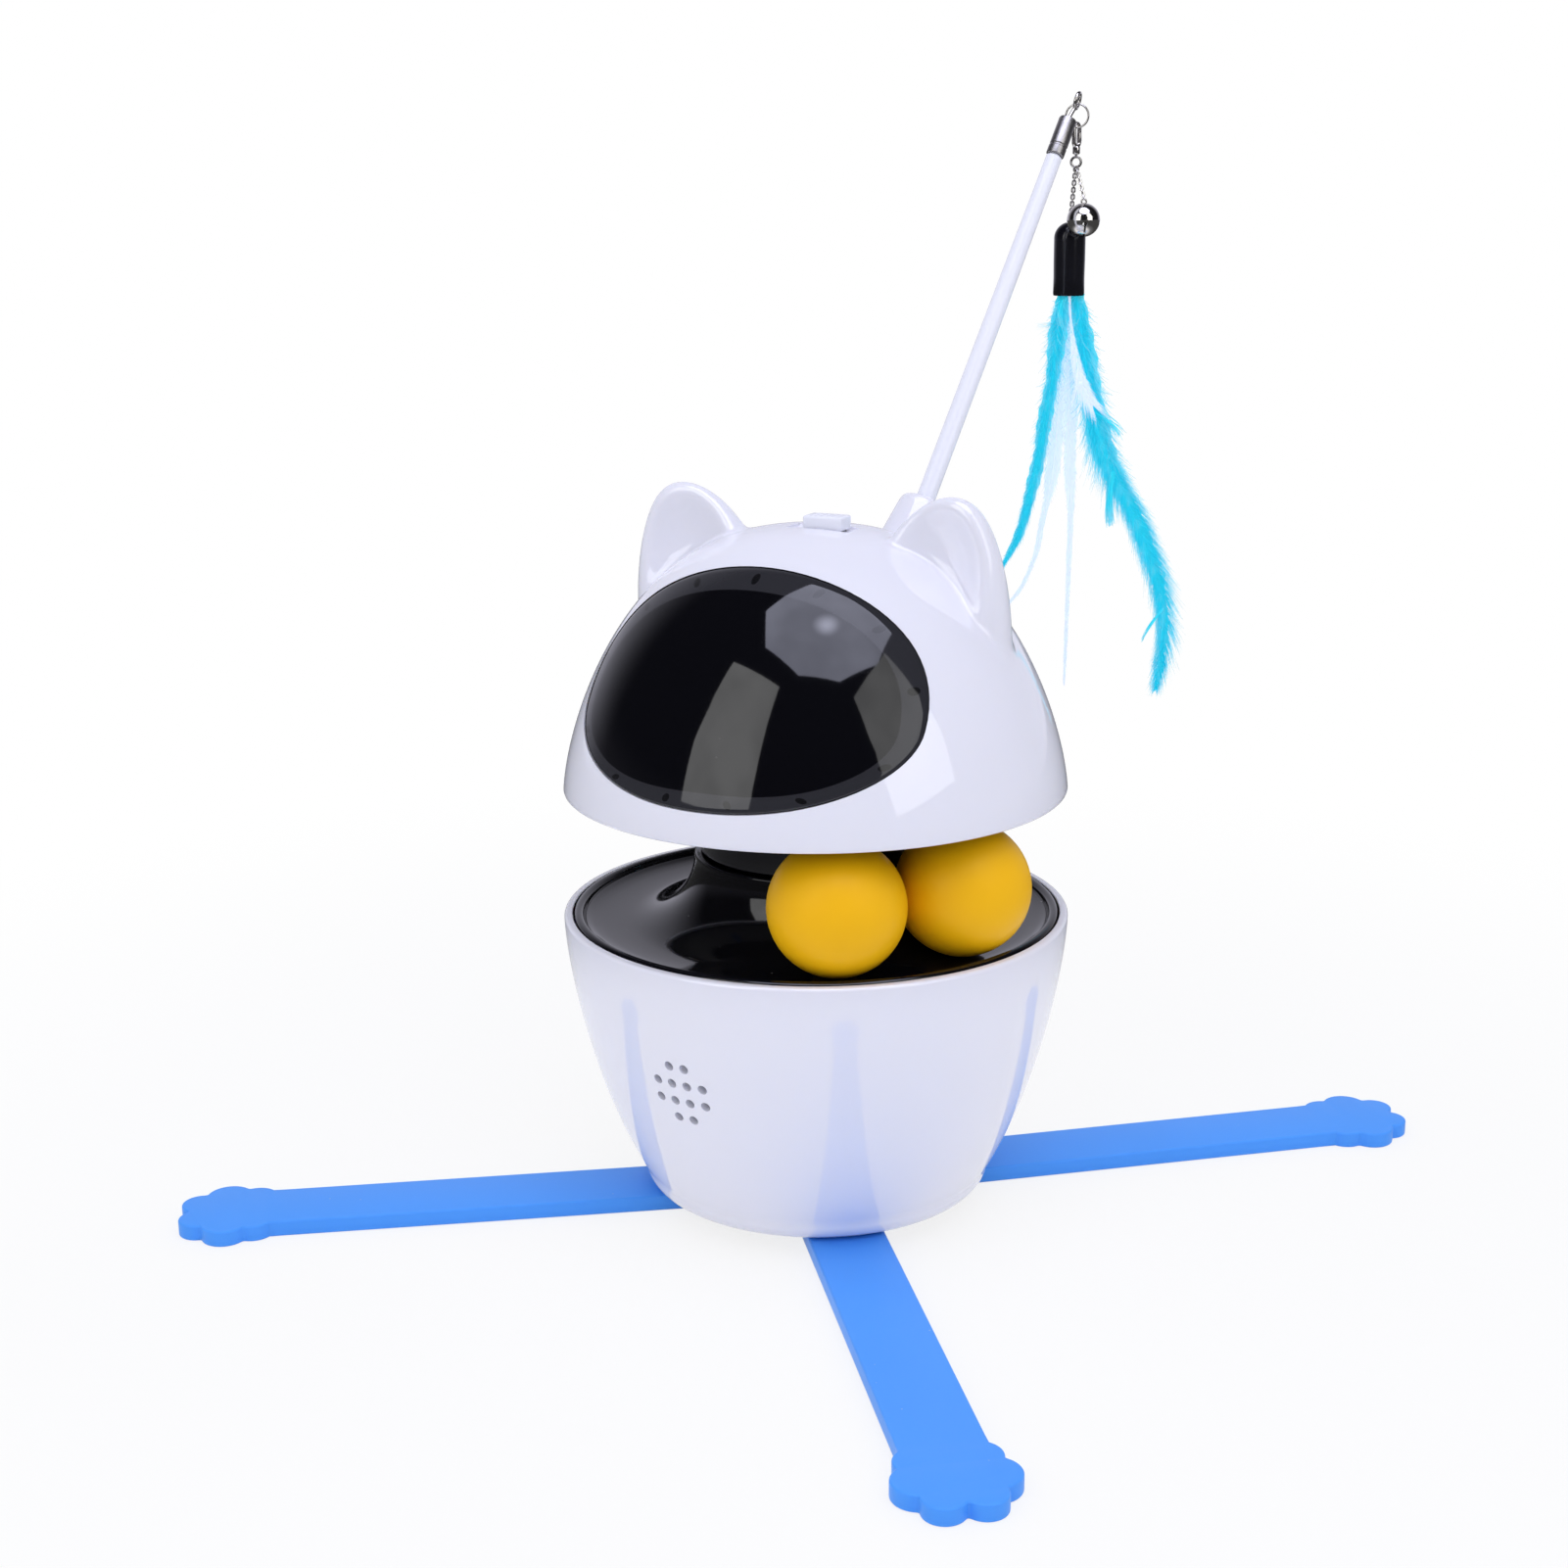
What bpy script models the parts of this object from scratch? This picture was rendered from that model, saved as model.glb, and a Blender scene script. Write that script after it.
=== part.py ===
"""Automatic cat toy: a bowl base on four paw straps, a ball track, a turning domed head and a feather wand.

Metres, +Z up. The origin is on the floor, under the axis that the head turns on.
The face of the head looks along -Y in its own frame, which is then turned by FACE_TURN.
"""
import math

import bmesh
import bpy
from mathutils import Matrix, Vector

MM = 0.001

# Clearances
SEAT_GAP = 0.3 * MM
RUN_GAP = 0.2 * MM
CUT_OVERRUN = 5.0 * MM
MERGE = 0.001 * MM

# Paw straps
STRAP_THICKNESS = 4.15 * MM
STRAP_WIDTH = 19.4 * MM
STRAP_EDGE = 0.5 * MM
STRAP_INNER_RADIUS = 13.6 * MM
STRAP_ANGLES = {"strap_right": 13.5, "strap_rear": 101.0, "strap_left": 188.7, "strap_front": 280.7}
STRAP_REACH = 164.0 * MM
# How far each strap's tip lies from the axis, as a share of STRAP_REACH
STRAP_REACH_SHARES = {"strap_right": 1.0152, "strap_rear": 0.997, "strap_left": 1.0, "strap_front": 0.9896}
PAW_SIZE = 26.0 * MM
# Each pad of the paw: its place back from the tip, its place sideways and its radius, as shares of PAW_SIZE
PAW_PAD_SHARES = [(0.19, 0.165, 0.190), (0.45, 0.31, 0.225), (0.72, 0.25, 0.205), (0.55, 0.0, 0.40)]
PAW_STEPS = 28
PLUG_RADIUS = 3.5 * MM
PLUG_HEAD_RADIUS = 4.8 * MM
PLUG_HEAD_HEIGHT = 1.5 * MM
PLUG_CIRCLE = 20.0 * MM

# Bowl
FOOT_Z = STRAP_THICKNESS + SEAT_GAP
FOOT_ROUND = 5.0 * MM
BOWL_RADIUS = 64.0 * MM
BOWL_WIDEST_Z = 76.7 * MM
BOWL_CURVE_DROP = 95.9 * MM
BOWL_CURVE_SHARES = (1.485, 2.497)
BOWL_WALL = 2.2 * MM
BOWL_RIM_RISE = 0.9 * MM
RIM_START_ANGLE = 30.0
BOWL_LEVELS = 6
ROUND_STEPS = 28
FOOT_LAND = 3.8 * MM
FLANGE_WIDTH = 6.0 * MM
FLANGE_THICKNESS = 2.0 * MM
LEDGE_WIDTH = 3.6 * MM
LEDGE_THICKNESS = 2.0 * MM
LEDGE_DEPTH = 6.7 * MM

# Base plate and its screws
PLATE_THICKNESS = 2.4 * MM
BASE_SCREW_INSET = 3.0 * MM
BASE_SCREW_TURN = 45.0
SCREW_RADIUS = 1.1 * MM
SCREW_HEAD_RADIUS = 2.3 * MM
SCREW_HEAD_HEIGHT = 1.2 * MM
SCREW_LENGTH = 7.0 * MM
BOSS_RADIUS = 3.2 * MM
BOSS_HEIGHT = 6.0 * MM
CRADLE_SPACING = 26.0 * MM
CRADLE_THICKNESS = 2.0 * MM
CRADLE_RISE = 2.6 * MM

# Ball track
BALL_RADIUS = 16.6 * MM
BALL_NAMES = ("ball_1", "ball_2")
BALL_AZIMUTH = 5.9
BALL_GAP = 0.74 * MM
LIP_INSET = 2.4 * MM
LIP_RADIUS = BOWL_RADIUS - LIP_INSET
LIP_WIDTH = 2.6 * MM
LIP_RISE = 1.4 * MM
LIP_TOP_Z = BOWL_WIDEST_Z + LIP_RISE
TRACK_INSET = 13.7 * MM
TRACK_RADIUS = LIP_RADIUS - TRACK_INSET
TRACK_SINK = 1.6 * MM
TRACK_BOTTOM_Z = BOWL_WIDEST_Z - TRACK_SINK
TRACK_CLEARANCE = 0.6 * MM
TRACK_ARC = BALL_RADIUS + TRACK_CLEARANCE
TRACK_FLOOR_RISE = 0.6 * MM
TRACK_WALL = 2.2 * MM
SKIRT_WALL = 2.0 * MM
COLLAR_RISE = 0.6 * MM
HUB_BORE = 7.3 * MM
HUB_WALL = 2.7 * MM
HUB_LENGTH = 25.0 * MM
POST_RADIUS = 3.5 * MM
POST_INSET = 3.9 * MM
POST_CIRCLE = TRACK_RADIUS - POST_INSET
POST_ANGLES = (60.0, 170.0, 260.0)

# Gear train: module, teeth and places of the wheels
GEAR_MODULE = 1.0 * MM
HEAD_TEETH = 40
IDLER_TEETH_SMALL = 12
IDLER_TEETH_BIG = 30
PINION_TEETH = 10
TOOTH_ADDENDUM_SHARE = 0.85
TOOTH_DEDENDUM_SHARE = 1.2
TOOTH_BACKLASH = 0.3 * MM
PRESSURE_ANGLE = 20.0
IDLER_ANGLE = -75.0
MOTOR_ANGLE = 15.0
GEAR_SPACE = 27.1 * MM
GEAR_PLATE_Z = TRACK_BOTTOM_Z - GEAR_SPACE
IDLER_LIFT = 3.4 * MM
BIG_IDLER_Z = GEAR_PLATE_Z + IDLER_LIFT
BIG_IDLER_WIDTH = 3.4 * MM
GEAR_STEP = 2.2 * MM
HEAD_GEAR_Z = BIG_IDLER_Z + BIG_IDLER_WIDTH + GEAR_STEP
HEAD_GEAR_WIDTH = 4.0 * MM
IDLER_PIN_RADIUS = 1.5 * MM
PIN_HEAD_RADIUS = 2.6 * MM
PIN_HEAD_HEIGHT = 0.8 * MM
GEAR_PLATE_THICKNESS = 2.0 * MM
GEAR_PLATE_MARGIN = 4.0 * MM
GEAR_PLATE_RADIUS = POST_CIRCLE + GEAR_PLATE_MARGIN
WINDOW_RADIUS = 8.5 * MM
WINDOW_CIRCLE = 27.0 * MM
WINDOW_ANGLES = (35.0, 90.0, 140.0, 200.0)
MOTOR_RADIUS = 12.0 * MM
MOTOR_LENGTH = 25.0 * MM
MOTOR_NOSE_RADIUS = 3.0 * MM
MOTOR_NOSE_HEIGHT = 1.2 * MM
MOTOR_SHAFT_RADIUS = 1.0 * MM
MOTOR_SHAFT_DEPTH = 6.0 * MM

# Head shaft, bushes and slip ring
SHAFT_RADIUS = 5.0 * MM
SHAFT_BORE = 3.2 * MM
SHAFT_OVERHANG = 1.2 * MM
SHAFT_LOW_Z = HEAD_GEAR_Z - SHAFT_OVERHANG
SHAFT_CAP_RADIUS = 8.0 * MM
SHAFT_CAP_HEIGHT = 1.5 * MM
BUSH_HEIGHT = 6.0 * MM
BUSH_FLANGE_RADIUS = 9.0 * MM
BUSH_FLANGE_HEIGHT = 1.0 * MM
SLIP_RING_RADIUS = 6.0 * MM
SLIP_RING_LENGTH = 11.0 * MM
SLIP_FLANGE_WIDTH = 2.0 * MM
SLIP_NOSE_LENGTH = 8.0 * MM

# Battery, board, charging socket and speaker
BATTERY_RADIUS = 7.1 * MM
BATTERY_LENGTH = 50.0 * MM
BATTERY_CAP = 1.0 * MM
BATTERY_SHIFT = 2.0 * MM
BOARD_WIDTH = 40.0 * MM
BOARD_DEPTH = 36.0 * MM
BOARD_THICKNESS = 1.6 * MM
BOARD_Z = 26.0 * MM
BOARD_INSET = 6.4 * MM
BOARD_POST_X = 16.0 * MM
BOARD_POST_INSET = 7.0 * MM
BOARD_POST_RADIUS = 2.2 * MM
SOCKET_WIDTH = 9.0 * MM
SOCKET_HEIGHT = 3.3 * MM
SOCKET_WALL = 0.5 * MM
SOCKET_DEPTH = 7.4 * MM
SPEAKER_RADIUS = 14.0 * MM
SPEAKER_HEIGHT = 5.0 * MM
SPEAKER_CLIP_WALL = 1.4 * MM
SPEAKER_AZIMUTH = -33.3
SPEAKER_Z = 46.0 * MM
GRILLE_PITCH_X = 4.35 * MM
GRILLE_PITCH_Z = 4.9 * MM
GRILLE_HOLE_RADIUS = 1.25 * MM
GRILLE_ROWS = (2, 4, 4, 2)

# Head shell
FACE_TURN = -26.0
HEAD_LIFT = 34.3 * MM
HEAD_Z = TRACK_BOTTOM_Z + HEAD_LIFT
HEAD_RADIUS = 63.2 * MM
HEAD_HEIGHT = 65.3 * MM
HEAD_CURVE_SHARES = (1.47, 2.58)
HEAD_WALL = 2.2 * MM
HEAD_LEVELS = 7
HEAD_BASE_RISE = 1.6 * MM
HEAD_BASE_THICKNESS = 2.0 * MM
NECK_INSET = 1.5 * MM
NECK_RADIUS = TRACK_RADIUS - TRACK_ARC - NECK_INSET
NECK_WALL = 2.0 * MM
NECK_GAP = 0.5 * MM
HEAD_HUB_RADIUS = 9.5 * MM
HEAD_POST_CIRCLE = 49.5 * MM
HEAD_POST_RADIUS = 3.2 * MM
HEAD_POST_ANGLES = (105.0, 180.0, 255.0)

# Ears, in the face frame: X to the side, Z up
EAR_SINK = 24.7 * MM
EAR_BASE_Z = HEAD_Z + HEAD_HEIGHT - EAR_SINK
EAR_HEIGHT = 33.4 * MM
EAR_CENTRE = 33.3 * MM
EAR_LEAN = 5.2 * MM
EAR_HALF_WIDTH = 18.5 * MM
EAR_HALF_DEPTH = 9.2 * MM
EAR_SETBACK = 2.6 * MM
EAR_WIDTH_SHARE = 1.8
EAR_DEPTH_SHARE = 2.6
EAR_SQUARENESS_SHARE = 2.3
EAR_LEVELS = 6
EAR_STEPS = 14
SCOOP_LIFT = 22.0 * MM
SCOOP_CENTRE = (36.5 * MM, -11.5 * MM, EAR_BASE_Z + SCOOP_LIFT)
SCOOP_RADII = (9.0 * MM, 11.0 * MM, 12.5 * MM)

# Visor, in the face frame
VISOR_HALF_WIDTH = 45.2 * MM
VISOR_RISE = 25.7 * MM
VISOR_CENTRE_Z = HEAD_Z + VISOR_RISE
VISOR_TOP_DROP = 5.8 * MM
VISOR_UP = HEAD_Z + HEAD_HEIGHT - VISOR_TOP_DROP - VISOR_CENTRE_Z
VISOR_DOWN = 17.0 * MM
VISOR_LOWER_SHARE = 2.2
VISOR_THICKNESS = 2.0 * MM
VISOR_STEPS = 32
RETAINER_THICKNESS = 1.5 * MM
RETAINER_OUT = 2.4 * MM
RETAINER_TOP = 1.0 * MM
RETAINER_IN = 3.5 * MM

# Wand
WAND_AZIMUTH = 135.0
WAND_LEAN = 30.0
WAND_FOOT = 40.3 * MM
WAND_FOOT_RISE = 2.3 * MM
WAND_FOOT_Z = HEAD_Z + HEAD_HEIGHT + WAND_FOOT_RISE
SOCKET_TOP_RADIUS = 6.2 * MM
SOCKET_FOOT_RADIUS = 8.2 * MM
SOCKET_ROUND = 1.6 * MM
SOCKET_RUN = 20.0 * MM
SOCKET_TUBE_RADIUS = 4.6 * MM
SOCKET_TUBE_FLOOR = 1.6 * MM
ROD_DEPTH = 17.0 * MM
ROD_RADIUS = 2.45 * MM
ROD_TIP_RADIUS = 1.95 * MM
ROD_LENGTH = 99.5 * MM
SPIGOT_RADIUS = 1.4 * MM
SPIGOT_LENGTH = 5.0 * MM
FERRULE_RADIUS = 2.2 * MM
FERRULE_LENGTH = 14.2 * MM
FERRULE_TAPER = 3.0 * MM
FERRULE_TIP_RADIUS = 1.3 * MM
FERRULE_GRIP = 2.5 * MM
EYE_RADIUS = 2.0 * MM
EYE_WIRE = 0.5 * MM
EYE_STEM = 3.0 * MM
EYE_OUTSET = 0.9 * MM

# Lure hardware
RING_RADIUS = 3.0 * MM
RING_WIRE = 0.4 * MM
CLASP_HALF_LENGTH = 2.9 * MM
CLASP_HALF_WIDTH = 1.1 * MM
CLASP_WIRE = 0.4 * MM
BARREL_RADIUS = 1.0 * MM
BARREL_BORE = 0.65 * MM
BARREL_LENGTH = 1.9 * MM
SWIVEL_PIN_RADIUS = 0.4 * MM
SWIVEL_RING_RADIUS = 1.3 * MM
SWIVEL_WIRE = 0.35 * MM
CHAIN_RADIUS = 0.55 * MM
CHAIN_WAIST_SHARE = 0.55
CHAIN_BEAD_LENGTH = 1.5 * MM
BELL_RADIUS = 4.35 * MM
BELL_WALL = 0.5 * MM
BELL_SLOT = 0.9 * MM
BELL_LOOP_HEIGHT = 0.9 * MM
BELL_OFFSET = (1.8 * MM, -4.6 * MM)
SLEEVE_RADIUS = 4.2 * MM
SLEEVE_LENGTH = 18.9 * MM
SLEEVE_BORE = 3.7 * MM
SLEEVE_BORE_DEPTH = 6.5 * MM
SLEEVE_OFFSET = (-0.9 * MM, 2.4 * MM)
SLEEVE_DROP = 14.4 * MM

# Feathers: points across and down from the mouth of the sleeve, half widths along them, and depth places
FEATHER_LENGTH = 112.0 * MM
FEATHER_THICKNESS = 0.9 * MM
FEATHER_ROOT = 4.5 * MM
FEATHER_LAYER = 1.2 * MM
QUILL_HALF_WIDTH = 0.7 * MM
FEATHER_STATIONS = 7
# name: layer, points as shares of FEATHER_LENGTH, half widths as shares of FEATHER_LENGTH
FEATHER_SHARES = {
    "feather_blue_left": (-1, [(-0.006, 0.0), (-0.022, 0.10), (-0.045, 0.26), (-0.082, 0.47), (-0.142, 0.66)],
                          [0.022, 0.040, 0.037, 0.022, 0.003]),
    "feather_blue_right": (0, [(0.008, 0.0), (0.032, 0.12), (0.090, 0.40), (0.160, 0.56), (0.217, 0.73),
                               (0.232, 0.955)],
                           [0.022, 0.046, 0.052, 0.030, 0.034, 0.004]),
    "feather_white_centre": (1, [(0.002, 0.0), (0.003, 0.25), (0.004, 0.60), (0.012, 0.965)],
                             [0.020, 0.028, 0.008, 0.003]),
    "feather_white_left": (2, [(-0.008, 0.0), (-0.020, 0.22), (-0.046, 0.50), (-0.118, 0.76)],
                           [0.018, 0.040, 0.020, 0.004]),
    "feather_white_front": (-2, [(0.006, 0.0), (0.016, 0.12), (0.040, 0.30), (0.072, 0.52)],
                            [0.014, 0.034, 0.030, 0.004]),
}

# Switch on top
SWITCH_X = 2.4 * MM
SWITCH_POCKET = (17.0 * MM, 7.6 * MM, 0.9 * MM)
SWITCH_SLOT = (12.5 * MM, 3.6 * MM)
KNOB_SIZE = (10.4 * MM, 6.2 * MM, 3.6 * MM)
KNOB_EDGE = 0.6 * MM
KNOB_STEM = (8.4 * MM, 2.8 * MM)
SWITCH_TRAVEL = 2.2 * MM
SWITCH_BOARD = (22.0 * MM, 10.0 * MM, 1.2 * MM)
SWITCH_BOARD_BACK = 1.0 * MM
SWITCH_BOARD_DROP = 6.2 * MM
SWITCH_BODY = (13.0 * MM, 6.0 * MM, 2.4 * MM)
SWITCH_PEG_X = 8.5 * MM
SWITCH_PEG_RADIUS = 1.4 * MM

# Laser pointer, in the face frame
LASER_RISE = 17.6 * MM
LASER_PIVOT = (0.0, -36.0 * MM, HEAD_Z + LASER_RISE)
LASER_RADIUS = 3.0 * MM
LASER_LENGTH = 13.0 * MM
LASER_LENS_RADIUS = 1.6 * MM
LASER_LENS_DEPTH = 1.0 * MM
CRADLE_BLOCK = (10.0 * MM, 9.0 * MM, 9.0 * MM)
CHEEK_THICKNESS = 1.8 * MM
CHEEK_DEPTH = 9.0 * MM
CHEEK_GAP = 0.5 * MM
TRUNNION_RADIUS = 1.5 * MM
TILT_MODULE = 0.6 * MM
TILT_TEETH = 22
TILT_PINION_TEETH = 10
TILT_GEAR_WIDTH = 2.0 * MM
TILT_MOTOR_RADIUS = 4.2 * MM
TILT_MOTOR_LENGTH = 11.0 * MM
TILT_MOTOR_ANGLE = 225.0
BRACKET_FOOT = 1.4 * MM

COLOURS = {
    "white_gloss_plastic": ((0.86, 0.86, 0.93), 0.28, 0.0),
    "black_gloss_plastic": ((0.012, 0.012, 0.016), 0.12, 0.0),
    "smoke_visor": ((0.008, 0.008, 0.012), 0.05, 0.0),
    "dark_retainer": ((0.05, 0.05, 0.06), 0.45, 0.0),
    "blue_silicone": ((0.11, 0.36, 0.90), 0.48, 0.0),
    "yellow_plastic": ((0.80, 0.42, 0.015), 0.45, 0.0),
    "white_fibreglass": ((0.82, 0.84, 0.92), 0.35, 0.0),
    "grey_plastic": ((0.30, 0.31, 0.33), 0.55, 0.0),
    "natural_nylon": ((0.78, 0.76, 0.68), 0.50, 0.0),
    "steel": ((0.60, 0.60, 0.62), 0.30, 1.0),
    "nickel": ((0.68, 0.65, 0.62), 0.14, 1.0),
    "bronze": ((0.50, 0.34, 0.16), 0.38, 1.0),
    "brass": ((0.72, 0.52, 0.20), 0.30, 1.0),
    "green_board": ((0.02, 0.20, 0.09), 0.45, 0.0),
    "cell_wrap": ((0.06, 0.20, 0.45), 0.40, 0.0),
    "black_rubber_sleeve": ((0.015, 0.015, 0.02), 0.40, 0.0),
    "blue_feather": ((0.02, 0.50, 0.85), 0.80, 0.0),
    "white_feather": ((0.82, 0.86, 0.95), 0.80, 0.0),
}

SHARP_ANGLE = math.radians(32.0)
FLAT_ANGLE = math.radians(0.3)
FACE = Matrix.Rotation(math.radians(FACE_TURN), 4, "Z")


def clear_scene():
    """Empty the scene of whatever the file opened with."""
    for item in list(bpy.data.objects):
        bpy.data.objects.remove(item, do_unlink=True)


def finish_for(name):
    """Return the named finish, making it the first time."""
    found = bpy.data.materials.get(name)
    if found:
        return found
    colour, roughness, metallic = COLOURS[name]
    finish = bpy.data.materials.new(name)
    finish.use_nodes = True
    shader = finish.node_tree.nodes["Principled BSDF"]
    shader.inputs["Base Color"].default_value = (*colour, 1.0)
    shader.inputs["Roughness"].default_value = roughness
    shader.inputs["Metallic"].default_value = metallic
    finish.diffuse_color = (*colour, 1.0)
    return finish


def to_object(name, mesh_data, finish=None):
    """Turn a bmesh into a smooth-shaded object with outward faces."""
    bmesh.ops.remove_doubles(mesh_data, verts=mesh_data.verts, dist=MERGE)
    bmesh.ops.recalc_face_normals(mesh_data, faces=mesh_data.faces)
    mesh = bpy.data.meshes.new(name)
    mesh_data.to_mesh(mesh)
    mesh_data.free()
    item = bpy.data.objects.new(name, mesh)
    bpy.context.scene.collection.objects.link(item)
    if finish:
        dress(item, finish)
    return item


def dress(item, finish):
    """Join the flat faces that cuts have split, and give an object its finish and its shading."""
    work = bmesh.new()
    work.from_mesh(item.data)
    bmesh.ops.dissolve_limit(work, angle_limit=FLAT_ANGLE, verts=work.verts, edges=work.edges)
    work.to_mesh(item.data)
    work.free()
    item.data.materials.clear()
    item.data.materials.append(finish_for(finish))
    item.data.shade_smooth()
    item.data.set_sharp_from_angle(angle=SHARP_ANGLE)
    return item


def combine(item, operation, *tools):
    """Join, cut or intersect an object with others, which are used up."""
    for tool in tools:
        step = item.modifiers.new("combine", "BOOLEAN")
        step.operation = operation
        step.solver = "EXACT"
        step.object = tool
        bpy.context.view_layer.update()
        depsgraph = bpy.context.evaluated_depsgraph_get()
        mesh = bpy.data.meshes.new_from_object(item.evaluated_get(depsgraph))
        item.modifiers.clear()
        item.data = mesh
        bpy.data.objects.remove(tool, do_unlink=True)
    return item


def lathe(name, profile, steps=ROUND_STEPS, finish=None):
    """Turn a closed outline of (radius, height) points about the Z axis."""
    work = bmesh.new()
    points = [work.verts.new((radius, 0.0, height)) for radius, height in profile]
    edges = [work.edges.new((a, b)) for a, b in zip(points, points[1:] + points[:1])
             if a.co.x > MERGE or b.co.x > MERGE]
    bmesh.ops.spin(work, geom=points + edges, cent=(0.0, 0.0, 0.0), axis=(0.0, 0.0, 1.0),
                   angle=math.tau, steps=steps, use_merge=True)
    return to_object(name, work, finish)


def prism(name, outline, low, high, finish=None):
    """Extrude a closed outline of (x, y) points from one height to another."""
    work = bmesh.new()
    face = work.faces.new([work.verts.new((x, y, low)) for x, y in outline])
    grown = bmesh.ops.extrude_face_region(work, geom=[face])
    top = [part for part in grown["geom"] if isinstance(part, bmesh.types.BMVert)]
    bmesh.ops.translate(work, verts=top, vec=(0.0, 0.0, high - low))
    return to_object(name, work, finish)


def rod(name, radius, low, high, steps=32, place=(0.0, 0.0), top_radius=None, finish=None):
    """Make a round bar, or a cone with another radius on top, standing at a place."""
    work = bmesh.new()
    bmesh.ops.create_cone(work, cap_ends=True, segments=steps, radius1=radius,
                          radius2=radius if top_radius is None else top_radius, depth=high - low)
    bmesh.ops.translate(work, verts=work.verts, vec=(place[0], place[1], (low + high) / 2))
    return to_object(name, work, finish)


def box(name, size, centre, edge=0.0, finish=None):
    """Make a block by its size and centre, with its edges bevelled if asked."""
    work = bmesh.new()
    bmesh.ops.create_cube(work, size=1.0)
    bmesh.ops.scale(work, verts=work.verts, vec=size)
    if edge:
        bmesh.ops.bevel(work, geom=work.edges[:], offset=edge, segments=2, profile=0.5, affect="EDGES")
    bmesh.ops.translate(work, verts=work.verts, vec=centre)
    return to_object(name, work, finish)


def egg(name, radii, centre, steps=24):
    """Make an ellipsoid."""
    work = bmesh.new()
    bmesh.ops.create_uvsphere(work, u_segments=steps, v_segments=steps // 2, radius=1.0)
    bmesh.ops.scale(work, verts=work.verts, vec=radii)
    bmesh.ops.translate(work, verts=work.verts, vec=centre)
    return to_object(name, work)


def loop_wire(name, half_width, half_length, wire, steps=14, sides=6):
    """Make a closed wire link in the XZ plane: round, or with straight sides where it is longer than wide."""
    straight = max(half_length - half_width, 0.0)
    work = bmesh.new()
    rings = []
    for index in range(steps):
        turn = math.tau * (index + 0.5) / steps
        middle = Vector((half_width * math.cos(turn), 0.0,
                         half_width * math.sin(turn) + math.copysign(straight, math.sin(turn))))
        outward = Vector((math.cos(turn), 0.0, math.sin(turn)))
        ring = []
        for side in range(sides):
            roll = math.tau * side / sides
            ring.append(work.verts.new(middle + outward * (wire * math.cos(roll))
                                       + Vector((0.0, wire * math.sin(roll), 0.0))))
        rings.append(ring)
    for ring, following in zip(rings, rings[1:] + rings[:1]):
        for side in range(sides):
            other = (side + 1) % sides
            work.faces.new((ring[side], ring[other], following[other], following[side]))
    return to_object(name, work)


def move(item, matrix):
    """Move an object's mesh by a matrix, leaving its origin alone."""
    item.data.transform(matrix)
    item.data.update()
    return item


def at(x=0.0, y=0.0, z=0.0):
    """Return a plain shift."""
    return Matrix.Translation((x, y, z))


def turned(angle, axis="Z"):
    """Return a turn in degrees about an axis."""
    return Matrix.Rotation(math.radians(angle), 4, axis)


def polar(radius, angle):
    """Return the point at a radius and an angle in degrees, counted from +X."""
    return radius * math.cos(math.radians(angle)), radius * math.sin(math.radians(angle))


def arc(centre, radius, start, end, steps):
    """Return points along an arc, its ends included."""
    points = []
    for index in range(steps + 1):
        x, y = polar(radius, start + (end - start) * index / steps)
        points.append((centre[0] + x, centre[1] + y))
    return points


def joint_axis(name, place, parent=None):
    """Make the empty that a moving body hangs from, on its joint's axis."""
    item = bpy.data.objects.new(name, None)
    bpy.context.scene.collection.objects.link(item)
    item.location = place
    bpy.context.view_layer.update()
    if parent:
        hang(item, parent)
    return item


def hang(item, parent):
    """Parent an object without moving it."""
    bpy.context.view_layer.update()
    item.parent = parent
    item.matrix_parent_inverse = parent.matrix_world.inverted()
    return item


# Shared outlines

def bowl_radius(z, inset=0.0):
    """Outer radius of the bowl at a height, or of a surface inside it."""
    drop = min(max(BOWL_WIDEST_Z - z, 0.0) / BOWL_CURVE_DROP, 1.0)
    share = (1.0 - drop ** BOWL_CURVE_SHARES[0]) ** (1.0 / BOWL_CURVE_SHARES[1])
    return BOWL_RADIUS * share - inset


def pocket_radius():
    """Radius of the pocket in the bowl's foot that the base plate fills."""
    return bowl_radius(FOOT_Z + FOOT_ROUND) - FOOT_ROUND - FOOT_LAND


def base_screw_place(index):
    """Place of one of the four base plate screws, between two straps."""
    return polar(pocket_radius() - BASE_SCREW_INSET, BASE_SCREW_TURN + strap_mean_turn() + 90.0 * index)


def dome_profile(inset, low_z):
    """Solid dome below the outer surface by an inset, as (radius, height) points from the axis outwards."""
    radius = HEAD_RADIUS - inset
    height = HEAD_HEIGHT - inset
    points = [(0.0, HEAD_Z + height)]
    for index in range(1, HEAD_LEVELS + 1):
        share = math.cos(math.pi / 2 * index / HEAD_LEVELS)
        width = (1.0 - share ** HEAD_CURVE_SHARES[0]) ** (1.0 / HEAD_CURVE_SHARES[1])
        points.append((radius * width, HEAD_Z + height * share))
    if low_z < HEAD_Z:
        points.append((radius, low_z))
    points.append((0.0, low_z))
    return points


def visor_outline(grow, top_grow):
    """Oval of the visor as (side, height) points, grown or shrunk by an amount, and by another at its top."""
    points = []
    for index in range(VISOR_STEPS):
        turn = math.tau * index / VISOR_STEPS
        side = math.cos(turn)
        rise = math.sin(turn)
        if rise < 0.0:
            bend = 2.0 / VISOR_LOWER_SHARE
            side = math.copysign(abs(side) ** bend, side)
            rise = -abs(rise) ** bend
        reach = VISOR_UP + top_grow if rise > 0.0 else VISOR_DOWN + grow
        points.append(((VISOR_HALF_WIDTH + grow) * side, VISOR_CENTRE_Z + reach * rise))
    return points


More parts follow.
